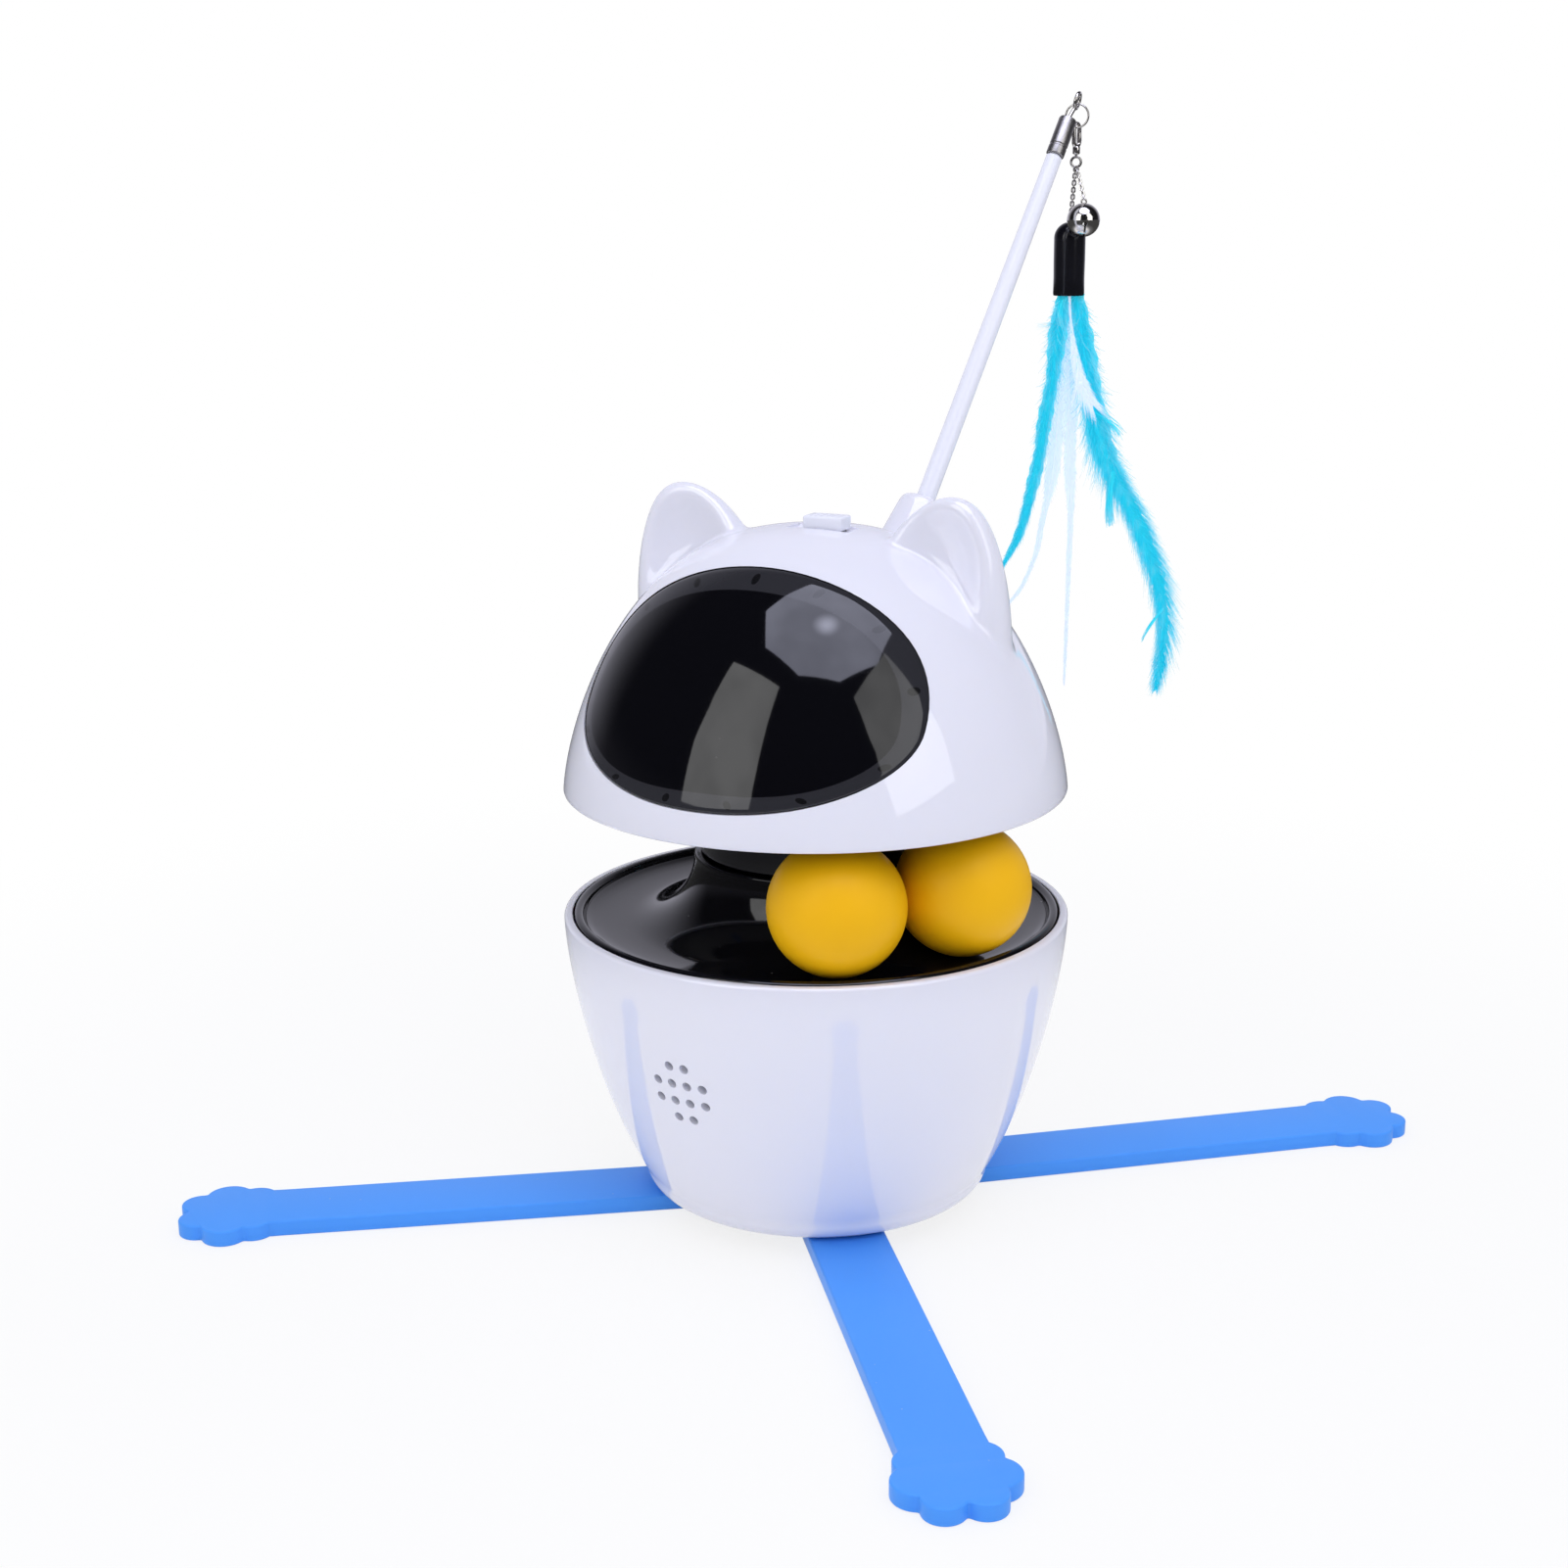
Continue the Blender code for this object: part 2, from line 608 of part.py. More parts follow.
def visor_prism(grow, top_grow=None):
    """Prism through the front of the head, with the visor's outline."""
    top_grow = grow if top_grow is None else top_grow
    depth = HEAD_RADIUS + CUT_OVERRUN
    item = prism("visor_prism", visor_outline(grow, top_grow), LASER_RADIUS, depth)
    return move(item, turned(90.0, "X"))


def gear_outline(teeth, module, phase):
    """Outline of an involute gear with stub teeth, its first tooth centred on an angle in degrees."""
    pitch = teeth * module / 2
    tip = pitch + TOOTH_ADDENDUM_SHARE * module
    root = pitch - TOOTH_DEDENDUM_SHARE * module
    base = pitch * math.cos(math.radians(PRESSURE_ANGLE))
    slack = TOOTH_BACKLASH * module / GEAR_MODULE
    half_pitch = math.pi / 2 / teeth - slack / 2 / pitch

    def flank(radius):
        """Half angle of the tooth at a radius."""
        if radius <= base:
            rolled = 0.0
        else:
            pressure = math.acos(base / radius)
            rolled = math.tan(pressure) - pressure
        at_pitch = math.tan(math.radians(PRESSURE_ANGLE)) - math.radians(PRESSURE_ANGLE)
        return half_pitch + at_pitch - rolled

    radii = [root, pitch, tip] if teeth < TILT_TEETH else [root, tip]
    points = []
    for tooth in range(teeth):
        middle = math.radians(phase) + math.tau * tooth / teeth
        for sign, order in ((-1, radii), (1, radii[::-1])):
            for radius in order:
                turn = middle + sign * flank(radius)
                points.append((radius * math.cos(turn), radius * math.sin(turn)))
    return points


# Lower half

def make_lower_shell():
    """Bowl with a foot ring, a flange for the base plate, a ledge for the tray, bosses, posts and the grille."""
    flange_low = FOOT_Z + PLATE_THICKNESS + SEAT_GAP
    flange_high = flange_low + FLANGE_THICKNESS
    corner = (bowl_radius(FOOT_Z + FOOT_ROUND) - FOOT_ROUND, FOOT_Z + FOOT_ROUND)
    ledge_top = BOWL_WIDEST_Z - LEDGE_DEPTH
    rim_top = BOWL_WIDEST_Z + BOWL_RIM_RISE
    outer = arc(corner, FOOT_ROUND, -90.0, 0.0, 3)
    for index in range(1, BOWL_LEVELS + 1):
        z = corner[1] + (BOWL_WIDEST_Z - corner[1]) * index / BOWL_LEVELS
        outer.append((bowl_radius(z), z))
    outer += arc((BOWL_RADIUS - BOWL_RIM_RISE, BOWL_WIDEST_Z), BOWL_RIM_RISE,
                 RIM_START_ANGLE, 90.0, 2)
    inner = [(LIP_RADIUS + SEAT_GAP, rim_top), (LIP_RADIUS + SEAT_GAP, BOWL_WIDEST_Z)]
    inner.append((bowl_radius(ledge_top, BOWL_WALL), ledge_top))
    ledge_inner = bowl_radius(ledge_top, BOWL_WALL) - LEDGE_WIDTH
    inner += [(ledge_inner, ledge_top), (ledge_inner, ledge_top - LEDGE_THICKNESS)]
    low = ledge_top - LEDGE_THICKNESS - LEDGE_WIDTH / 2
    for index in range(BOWL_LEVELS // 2 + 1):
        z = low + (flange_high - low) * index / (BOWL_LEVELS // 2)
        inner.append((bowl_radius(z, BOWL_WALL), z))
    pocket = pocket_radius()
    inner += [(pocket - FLANGE_WIDTH, flange_high), (pocket - FLANGE_WIDTH, flange_low)]
    inner += [(pocket, flange_low), (pocket, FOOT_Z)]
    shell = lathe("lower_shell", outer + inner)
    inside = flange_low + SEAT_GAP
    for index in range(4):
        place = base_screw_place(index)
        combine(shell, "UNION", rod("boss", BOSS_RADIUS, inside, flange_low + BOSS_HEIGHT, 8, place))
        combine(shell, "DIFFERENCE", rod("pilot", SCREW_RADIUS + SEAT_GAP, flange_low - STRAP_EDGE,
                                         flange_low + BOSS_HEIGHT - SEAT_GAP, 8, place))
    for side in (-BOARD_POST_X, BOARD_POST_X):
        combine(shell, "UNION", rod("board_post", BOARD_POST_RADIUS, inside, BOARD_Z - SEAT_GAP, 8,
                                    (side, board_back() - BOARD_POST_INSET)))
    combine(shell, "UNION", speaker_clip())
    combine(shell, "DIFFERENCE", *[move(hole, speaker_frame()) for hole in grille_holes()])
    mouth = box("mouth", (SOCKET_WIDTH + 2 * SEAT_GAP, 2 * BOWL_WALL + CUT_OVERRUN, SOCKET_HEIGHT + 2 * SEAT_GAP),
                (0.0, bowl_radius(socket_z()), socket_z()))
    combine(shell, "DIFFERENCE", mouth)
    return dress(shell, "white_gloss_plastic")


def strap_mean_turn():
    """Mean turn of the four straps from the X and Y axes, which the base plate follows."""
    turns = [angle - 90.0 * round(angle / 90.0) for angle in STRAP_ANGLES.values()]
    return sum(turns) / len(turns)


def speaker_frame():
    """Frame on the bowl's wall with Z outwards, in the middle of the grille."""
    step = GRILLE_PITCH_Z
    slope = (bowl_radius(SPEAKER_Z + step) - bowl_radius(SPEAKER_Z - step)) / (2 * step)
    tilt = 90.0 + math.degrees(math.atan(slope))
    place = at(0.0, -bowl_radius(SPEAKER_Z), SPEAKER_Z)
    return turned(SPEAKER_AZIMUTH) @ place @ turned(tilt, "X")


def speaker_clip():
    """Ring on the inside of the bowl that the speaker sits in."""
    depth = BOWL_WALL + SPEAKER_HEIGHT / 2 + SEAT_GAP
    inner = SPEAKER_RADIUS + 2 * SEAT_GAP
    outer = inner + SPEAKER_CLIP_WALL
    sag = BOWL_WALL / 2
    clip = lathe("clip", [(inner, -depth), (outer, -depth), (outer, -sag - BOWL_WALL), (inner, -sag - BOWL_WALL)], 20)
    clip.data.update()
    return move(clip, speaker_frame())


def grille_holes():
    """Cutters for the speaker holes, in rows of two and four."""
    holes = []
    for row, count in enumerate(GRILLE_ROWS):
        y = ((len(GRILLE_ROWS) - 1) / 2 - row) * GRILLE_PITCH_Z
        for column in range(count):
            x = (column - (count - 1) / 2) * GRILLE_PITCH_X
            holes.append(rod("hole", GRILLE_HOLE_RADIUS, -BOWL_WALL * 2, BOWL_WALL, 8, (x, y)))
    return holes


def make_speaker():
    """Small loudspeaker: a dished frame with its magnet behind, facing the grille."""
    top = -BOWL_WALL * 2
    low = top - SPEAKER_HEIGHT
    magnet = SPEAKER_RADIUS / 2
    cone = SPEAKER_HEIGHT / 3
    rim = SPEAKER_RADIUS - SPEAKER_CLIP_WALL
    profile = [(0.0, top - cone), (rim - cone, top - cone), (rim, top - SEAT_GAP), (SPEAKER_RADIUS, top - SEAT_GAP)]
    profile += [(SPEAKER_RADIUS, top - cone), (magnet + cone, low + cone), (magnet, low), (0.0, low)]
    return move(lathe("speaker", profile, 18, "grey_plastic"), speaker_frame())


def make_base_plate():
    """Disc that closes the bowl, with holes for the strap plugs and screws and a cradle for the cell."""
    top = FOOT_Z + PLATE_THICKNESS
    radius = pocket_radius() - SEAT_GAP
    edge = STRAP_EDGE
    profile = [(0.0, FOOT_Z), (radius - edge, FOOT_Z), (radius, FOOT_Z + edge), (radius, top), (0.0, top)]
    plate = lathe("base_plate", profile)
    for side in (-CRADLE_SPACING / 2, CRADLE_SPACING / 2):
        combine(plate, "UNION", box("cradle", (CRADLE_THICKNESS, 2 * BATTERY_RADIUS, CRADLE_RISE + PLATE_THICKNESS),
                                    (side, BATTERY_SHIFT, FOOT_Z + SEAT_GAP + (CRADLE_RISE + PLATE_THICKNESS) / 2)))
    for angle in STRAP_ANGLES.values():
        combine(plate, "DIFFERENCE", rod("plug_hole", PLUG_RADIUS + 1.5 * SEAT_GAP, FOOT_Z - CUT_OVERRUN,
                                         top + PLUG_HEAD_HEIGHT / 2, 12, polar(PLUG_CIRCLE, angle)))
    for index in range(4):
        place = base_screw_place(index)
        recess = FOOT_Z + SCREW_HEAD_HEIGHT + SEAT_GAP
        combine(plate, "DIFFERENCE", rod("through", SCREW_RADIUS + SEAT_GAP, FOOT_Z - CUT_OVERRUN,
                                         top + CUT_OVERRUN, 8, place))
        combine(plate, "DIFFERENCE", rod("recess", SCREW_HEAD_RADIUS + SEAT_GAP, FOOT_Z - CUT_OVERRUN,
                                         recess, 10, place))
    return dress(plate, "white_gloss_plastic")


def make_screw(name, head_low, place, frame=None, length=SCREW_LENGTH):
    """Pan-headed screw standing on its head, with a cross slot."""
    neck = head_low + SCREW_HEAD_HEIGHT
    profile = [(0.0, head_low), (SCREW_HEAD_RADIUS - STRAP_EDGE / 2, head_low),
               (SCREW_HEAD_RADIUS - SEAT_GAP / 2, head_low + STRAP_EDGE), (SCREW_HEAD_RADIUS - SEAT_GAP / 2, neck),
               (SCREW_RADIUS, neck), (SCREW_RADIUS, neck + length - SCREW_RADIUS), (0.0, neck + length)]
    screw = lathe(name, profile, 8)
    slot = (SCREW_HEAD_RADIUS * 1.2, STRAP_EDGE, SCREW_HEAD_HEIGHT)
    combine(screw, "DIFFERENCE", box("slot", slot, (0.0, 0.0, head_low)))
    move(screw, at(place[0], place[1]))
    if frame:
        move(screw, frame)
    return dress(screw, "steel")


def paw_outline(reach):
    """Outline of a strap along +X with a four-toed paw at its tip, found by rays from the palm."""
    pads = []
    for back, side, radius in PAW_PAD_SHARES:
        for sign in ((-1, 1) if side else (1,)):
            pads.append((Vector((reach - back * PAW_SIZE, sign * side * PAW_SIZE)), radius * PAW_SIZE))
    palm = Vector((reach - PAW_PAD_SHARES[-1][0] * PAW_SIZE, 0.0))
    half = STRAP_WIDTH / 2
    points = []
    for index in range(PAW_STEPS + 1):
        turn = math.radians(-150.0 + 300.0 * index / PAW_STEPS)
        ray = Vector((math.cos(turn), math.sin(turn)))
        reaches = []
        for centre, radius in pads:
            along = (centre - palm).dot(ray)
            inside = radius ** 2 - (centre - palm).length_squared + along ** 2
            if inside > 0.0:
                reaches.append(along + math.sqrt(inside))
        point = palm + ray * max(reaches)
        if abs(point.y) > half or point.x > palm.x:
            points.append((point.x, point.y))
    return [(STRAP_INNER_RADIUS, -half)] + points + [(STRAP_INNER_RADIUS, half)]


def make_strap(name):
    """Flat silicone strap with a paw at its tip and a mushroom plug through the base plate."""
    strap = prism(name, paw_outline(STRAP_REACH * STRAP_REACH_SHARES[name]), 0.0, STRAP_THICKNESS)
    bevel = strap.modifiers.new("edge", "BEVEL")
    bevel.width = STRAP_EDGE
    bevel.segments = 1
    bevel.limit_method = "ANGLE"
    bevel.angle_limit = math.radians(60.0)
    bpy.context.view_layer.update()
    mesh = bpy.data.meshes.new_from_object(strap.evaluated_get(bpy.context.evaluated_depsgraph_get()))
    strap.modifiers.clear()
    strap.data = mesh
    plate_top = FOOT_Z + PLATE_THICKNESS
    low = plate_top + SEAT_GAP
    profile = [(0.0, STRAP_THICKNESS / 2), (PLUG_RADIUS, STRAP_THICKNESS / 2), (PLUG_RADIUS, low),
               (PLUG_HEAD_RADIUS, low), (PLUG_HEAD_RADIUS - STRAP_EDGE, low + PLUG_HEAD_HEIGHT),
               (0.0, low + PLUG_HEAD_HEIGHT)]
    plug = move(lathe("plug", profile, 12), at(PLUG_CIRCLE))
    combine(strap, "UNION", plug)
    move(strap, turned(STRAP_ANGLES[name]))
    return dress(strap, "blue_silicone")


def make_track_tray():
    """Glossy ball track: lip, floor, flared collar with its roof and hub, and posts for the gear plate."""
    arc_z = TRACK_BOTTOM_Z + TRACK_ARC
    roof = arc_z + COLLAR_RISE
    collar = TRACK_RADIUS - TRACK_ARC
    skirt_low = BOWL_WIDEST_Z - LEDGE_DEPTH + SEAT_GAP
    skirt_outer = bowl_radius(skirt_low, BOWL_WALL + SEAT_GAP)
    bead = LIP_WIDTH / 2
    lip_inner = LIP_RADIUS - LIP_WIDTH
    floor_end = TRACK_BOTTOM_Z + TRACK_FLOOR_RISE
    top = [(skirt_outer, skirt_low), (LIP_RADIUS, BOWL_WIDEST_Z)]
    top += arc((LIP_RADIUS - bead, LIP_TOP_Z - bead), bead, 0.0, 180.0, 3)
    top += [(lip_inner - TRACK_FLOOR_RISE, floor_end + TRACK_FLOOR_RISE / 2)]
    top += [(lip_inner - 3 * TRACK_FLOOR_RISE, floor_end)]
    top += arc((TRACK_RADIUS, arc_z), TRACK_ARC, 270.0, 180.0, 6)
    top += [(collar - SEAT_GAP, roof), (HUB_BORE, roof)]
    hub_low = roof - HUB_LENGTH
    under = [(HUB_BORE, hub_low), (HUB_BORE + HUB_WALL, hub_low), (HUB_BORE + HUB_WALL, roof - TRACK_WALL)]
    under += [(collar - TRACK_WALL, roof - TRACK_WALL)]
    under += arc((TRACK_RADIUS, arc_z), TRACK_ARC + TRACK_WALL, 180.0, 270.0, 3)
    under += [(skirt_outer - SKIRT_WALL, floor_end - TRACK_WALL), (skirt_outer - SKIRT_WALL, skirt_low)]
    tray = lathe("track_tray", top + under)
    post_top = TRACK_BOTTOM_Z - SEAT_GAP
    post_low = GEAR_PLATE_Z + GEAR_PLATE_THICKNESS + SEAT_GAP
    for angle in POST_ANGLES:
        place = polar(POST_CIRCLE, angle)
        combine(tray, "UNION", rod("post", POST_RADIUS, post_low, post_top, 12, place))
        combine(tray, "DIFFERENCE", rod("pilot", SCREW_RADIUS + SEAT_GAP, post_low - CUT_OVERRUN,
                                        post_low + SCREW_LENGTH, 8, place))
    return dress(tray, "black_gloss_plastic")


def idler_place():
    """Centre of the idler wheel."""
    return polar(GEAR_MODULE * (HEAD_TEETH + IDLER_TEETH_SMALL) / 2, IDLER_ANGLE)


def motor_place():
    """Centre of the motor shaft."""
    x, y = polar(GEAR_MODULE * (IDLER_TEETH_BIG + PINION_TEETH) / 2, MOTOR_ANGLE)
    return idler_place()[0] + x, idler_place()[1] + y


def make_gear_plate():
    """Round plate under the tray that carries the motor, the idler pin and the slip ring."""
    low = GEAR_PLATE_Z
    high = low + GEAR_PLATE_THICKNESS
    plate = rod("gear_plate", GEAR_PLATE_RADIUS, low, high, ROUND_STEPS)
    holes = [(WINDOW_RADIUS, polar(WINDOW_CIRCLE, angle), 12) for angle in WINDOW_ANGLES]
    holes += [(SCREW_RADIUS + SEAT_GAP, polar(POST_CIRCLE, angle), 8) for angle in POST_ANGLES]
    holes += [(IDLER_PIN_RADIUS + SEAT_GAP, idler_place(), 12), (MOTOR_NOSE_RADIUS + SEAT_GAP, motor_place(), 14)]
    holes += [(SLIP_RING_RADIUS + SEAT_GAP, (0.0, 0.0), 16)]
    for radius, place, steps in holes:
        combine(plate, "DIFFERENCE", rod("hole", radius, low - CUT_OVERRUN, high + CUT_OVERRUN, steps, place))
    return dress(plate, "grey_plastic")


def make_drive_motor():
    """Small gear motor under the plate, with a round nose and a shaft hole."""
    top = GEAR_PLATE_Z - SEAT_GAP
    low = top - MOTOR_LENGTH
    nose = GEAR_PLATE_Z + MOTOR_NOSE_HEIGHT
    edge = STRAP_EDGE * 2
    bore = MOTOR_SHAFT_RADIUS + RUN_GAP
    profile = [(0.0, low), (MOTOR_RADIUS - edge, low), (MOTOR_RADIUS, low + edge), (MOTOR_RADIUS, top - edge),
               (MOTOR_RADIUS - edge, top), (MOTOR_NOSE_RADIUS, top), (MOTOR_NOSE_RADIUS, nose), (bore, nose),
               (bore, nose - MOTOR_SHAFT_DEPTH), (0.0, nose - MOTOR_SHAFT_DEPTH)]
    motor = lathe("drive_motor", profile, 18, "steel")
    return move(motor, at(*motor_place()))


def make_gear(name, teeth, module, phase, low, width, bore, finish="natural_nylon"):
    """Spur gear standing on Z with a bore through it."""
    gear = prism(name, gear_outline(teeth, module, phase), low, low + width)
    if bore:
        combine(gear, "DIFFERENCE", rod("bore", bore, low - CUT_OVERRUN, low + width + CUT_OVERRUN, 24))
    return dress(gear, finish)


def make_drive_gears():
    """Gear on the head shaft, double idler wheel and motor pinion, in mesh at rest."""
    head = make_gear("head_gear", HEAD_TEETH, GEAR_MODULE, IDLER_ANGLE, HEAD_GEAR_Z, HEAD_GEAR_WIDTH,
                     SHAFT_RADIUS + SEAT_GAP)
    space = 180.0 / IDLER_TEETH_SMALL
    small = prism("idler_gear", gear_outline(IDLER_TEETH_SMALL, GEAR_MODULE, IDLER_ANGLE + 180.0 + space),
                  BIG_IDLER_Z + BIG_IDLER_WIDTH - SEAT_GAP, HEAD_GEAR_Z + HEAD_GEAR_WIDTH + SEAT_GAP)
    big = prism("big", gear_outline(IDLER_TEETH_BIG, GEAR_MODULE, MOTOR_ANGLE), BIG_IDLER_Z,
                BIG_IDLER_Z + BIG_IDLER_WIDTH)
    combine(small, "UNION", big)
    combine(small, "DIFFERENCE", rod("bore", IDLER_PIN_RADIUS + RUN_GAP, BIG_IDLER_Z - CUT_OVERRUN,
                                     HEAD_GEAR_Z + HEAD_GEAR_WIDTH + CUT_OVERRUN, 20))
    idler = dress(move(small, at(*idler_place())), "natural_nylon")
    pinion_phase = MOTOR_ANGLE + 180.0 + 180.0 / PINION_TEETH
    pinion = prism("drive_pinion", gear_outline(PINION_TEETH, GEAR_MODULE, pinion_phase),
                   BIG_IDLER_Z - SEAT_GAP, BIG_IDLER_Z + BIG_IDLER_WIDTH + SEAT_GAP)
    nose = GEAR_PLATE_Z + MOTOR_NOSE_HEIGHT
    combine(pinion, "UNION", rod("shaft", MOTOR_SHAFT_RADIUS, nose - MOTOR_SHAFT_DEPTH + SEAT_GAP,
                                 BIG_IDLER_Z + BIG_IDLER_WIDTH, 16))
    pinion = dress(move(pinion, at(*motor_place())), "brass")
    return head, idler, pinion


def make_idler_pin():
    """Headed pin that the idler turns on, held in the gear plate."""
    low = GEAR_PLATE_Z - SEAT_GAP
    high = HEAD_GEAR_Z + HEAD_GEAR_WIDTH + 2 * SEAT_GAP
    head = PIN_HEAD_HEIGHT
    profile = [(0.0, low - head), (PIN_HEAD_RADIUS, low - head), (PIN_HEAD_RADIUS, low), (IDLER_PIN_RADIUS, low),
               (IDLER_PIN_RADIUS, high), (PIN_HEAD_RADIUS, high), (PIN_HEAD_RADIUS, high + head), (0.0, high + head)]
    return move(lathe("idler_pin", profile, 12, "steel"), at(*idler_place()))


def hub_levels():
    """Top and bottom of the tray's hub."""
    roof = TRACK_BOTTOM_Z + TRACK_ARC + COLLAR_RISE
    return roof, roof - HUB_LENGTH


def make_bushes():
    """Flanged bushes at the top and the bottom of the hub."""
    roof, low = hub_levels()
    inner = SHAFT_RADIUS + RUN_GAP
    outer = HUB_BORE - SEAT_GAP
    made = []
    for name, seat, sign in (("upper_bush", roof, 1), ("lower_bush", low, -1)):
        face = seat + sign * (SEAT_GAP + BUSH_FLANGE_HEIGHT)
        profile = [(inner, face), (BUSH_FLANGE_RADIUS, face), (BUSH_FLANGE_RADIUS, seat + sign * SEAT_GAP),
                   (outer, seat + sign * SEAT_GAP), (outer, seat - sign * BUSH_HEIGHT),
                   (inner, seat - sign * BUSH_HEIGHT)]
        made.append(lathe(name, profile, 14, "bronze"))
    return made


def head_base_levels():
    """Underside and top of the head base."""
    low = HEAD_Z + HEAD_BASE_RISE
    return low, low + HEAD_BASE_THICKNESS


def make_head_shaft():
    """Hollow shaft with a cap on the head base, running down through the bushes to the gear."""
    top = head_base_levels()[1] + SEAT_GAP
    low_bush = hub_levels()[1] - SEAT_GAP - BUSH_FLANGE_HEIGHT
    step = SHAFT_RADIUS + 2 * SEAT_GAP
    collar_low = HEAD_GEAR_Z + HEAD_GEAR_WIDTH + SEAT_GAP
    profile = [(SHAFT_BORE, SHAFT_LOW_Z), (SHAFT_RADIUS + SEAT_GAP, SHAFT_LOW_Z),
               (SHAFT_RADIUS + 2 * SEAT_GAP, SHAFT_LOW_Z + SEAT_GAP),
               (SHAFT_RADIUS + 2 * SEAT_GAP, HEAD_GEAR_Z - SEAT_GAP), (SHAFT_RADIUS, HEAD_GEAR_Z - SEAT_GAP),
               (SHAFT_RADIUS, collar_low), (step, collar_low), (step, low_bush - SEAT_GAP),
               (SHAFT_RADIUS, low_bush - SEAT_GAP), (SHAFT_RADIUS, top), (SHAFT_CAP_RADIUS, top),
               (SHAFT_CAP_RADIUS, top + SHAFT_CAP_HEIGHT), (SHAFT_BORE, top + SHAFT_CAP_HEIGHT)]
    return lathe("head_shaft", profile, 14, "steel")


def make_slip_ring():
    """Slip ring that carries power into the turning head, hung in the gear plate."""
    seat = GEAR_PLATE_Z + GEAR_PLATE_THICKNESS + SEAT_GAP
    nose = SHAFT_BORE - 2 * RUN_GAP
    flange = SLIP_RING_RADIUS + SLIP_FLANGE_WIDTH
    edge = STRAP_EDGE
    profile = [(0.0, seat - SLIP_RING_LENGTH), (SLIP_RING_RADIUS - edge, seat - SLIP_RING_LENGTH),
               (SLIP_RING_RADIUS, seat - SLIP_RING_LENGTH + edge), (SLIP_RING_RADIUS, seat), (flange, seat),
               (flange, seat + edge), (nose, seat + edge), (nose, seat + SLIP_NOSE_LENGTH),
               (0.0, seat + SLIP_NOSE_LENGTH)]
    return lathe("slip_ring", profile, 16, "grey_plastic")


def battery_z():
    """Height of the cell's axis above its cradle."""
    return FOOT_Z + PLATE_THICKNESS + CRADLE_RISE + 2 * SEAT_GAP + BATTERY_RADIUS


def make_battery():
    """Rechargeable cell lying across the base plate."""
    half = BATTERY_LENGTH / 2
    cap = BATTERY_CAP
    profile = [(0.0, -half), (BATTERY_RADIUS - cap, -half), (BATTERY_RADIUS, -half + cap),
               (BATTERY_RADIUS, half - cap), (BATTERY_RADIUS - cap, half), (BATTERY_RADIUS / 2, half),
               (BATTERY_RADIUS / 2, half + cap), (0.0, half + cap)]
    cell = lathe("battery", profile, 16, "cell_wrap")
    return move(cell, at(0.0, BATTERY_SHIFT, battery_z()) @ turned(90.0, "Y"))


def board_back():
    """Place of the board's rear edge, inside the bowl's wall."""
    return bowl_radius(BOARD_Z, BOWL_WALL) - BOARD_INSET


def make_main_board():
    """Circuit board on its posts, with a few chips."""
    middle = board_back() - BOARD_DEPTH / 2
    board = box("main_board", (BOARD_WIDTH, BOARD_DEPTH, BOARD_THICKNESS),
                (0.0, middle, BOARD_Z + BOARD_THICKNESS / 2))
    chip = BOARD_WIDTH / 5
    for x_share, y_share, size_share in ((-0.25, -0.2, 1.0), (0.2, -0.25, 0.7), (0.05, 0.05, 0.5), (-0.3, 0.15, 0.6)):
        combine(board, "UNION", box("chip", (chip * size_share, chip * size_share, BOARD_THICKNESS * 2),
                                    (BOARD_WIDTH * x_share, middle + BOARD_DEPTH * y_share,
                                     BOARD_Z + BOARD_THICKNESS)))
    return dress(board, "green_board")


def socket_z():
    """Height of the charging socket's middle, on top of the board."""
    return BOARD_Z + BOARD_THICKNESS + SEAT_GAP + SOCKET_HEIGHT / 2


def make_charge_socket():
    """Charging socket on the board's rear edge, its mouth just inside the bowl's wall."""
    rear = bowl_radius(socket_z(), BOWL_WALL / 3)
    front = board_back() - SOCKET_DEPTH / 2
    length = rear - front
    shell = box("charge_socket", (SOCKET_WIDTH, length, SOCKET_HEIGHT), (0.0, (rear + front) / 2, socket_z()),
                SOCKET_WALL)
    inside = (SOCKET_WIDTH - 2 * SOCKET_WALL, SOCKET_DEPTH, SOCKET_HEIGHT - 2 * SOCKET_WALL)
    combine(shell, "DIFFERENCE", box("mouth", inside, (0.0, rear, socket_z()), SOCKET_WALL / 2))
    return dress(shell, "steel")


def ball_azimuth(name):
    """Angle of a ball along the track from the front; the second lies just behind the first."""
    step = 2 * math.degrees(math.asin((BALL_RADIUS + BALL_GAP / 2) / TRACK_RADIUS))
    return BALL_AZIMUTH + step * BALL_NAMES.index(name)


def make_ball(name):
    """Track ball, resting in the groove."""
    x, y = polar(TRACK_RADIUS, ball_azimuth(name) - 90.0)
    ball = egg(name, (BALL_RADIUS,) * 3, (x, y, TRACK_BOTTOM_Z + SEAT_GAP + BALL_RADIUS), 18)
    return dress(ball, "yellow_plastic")


# Head

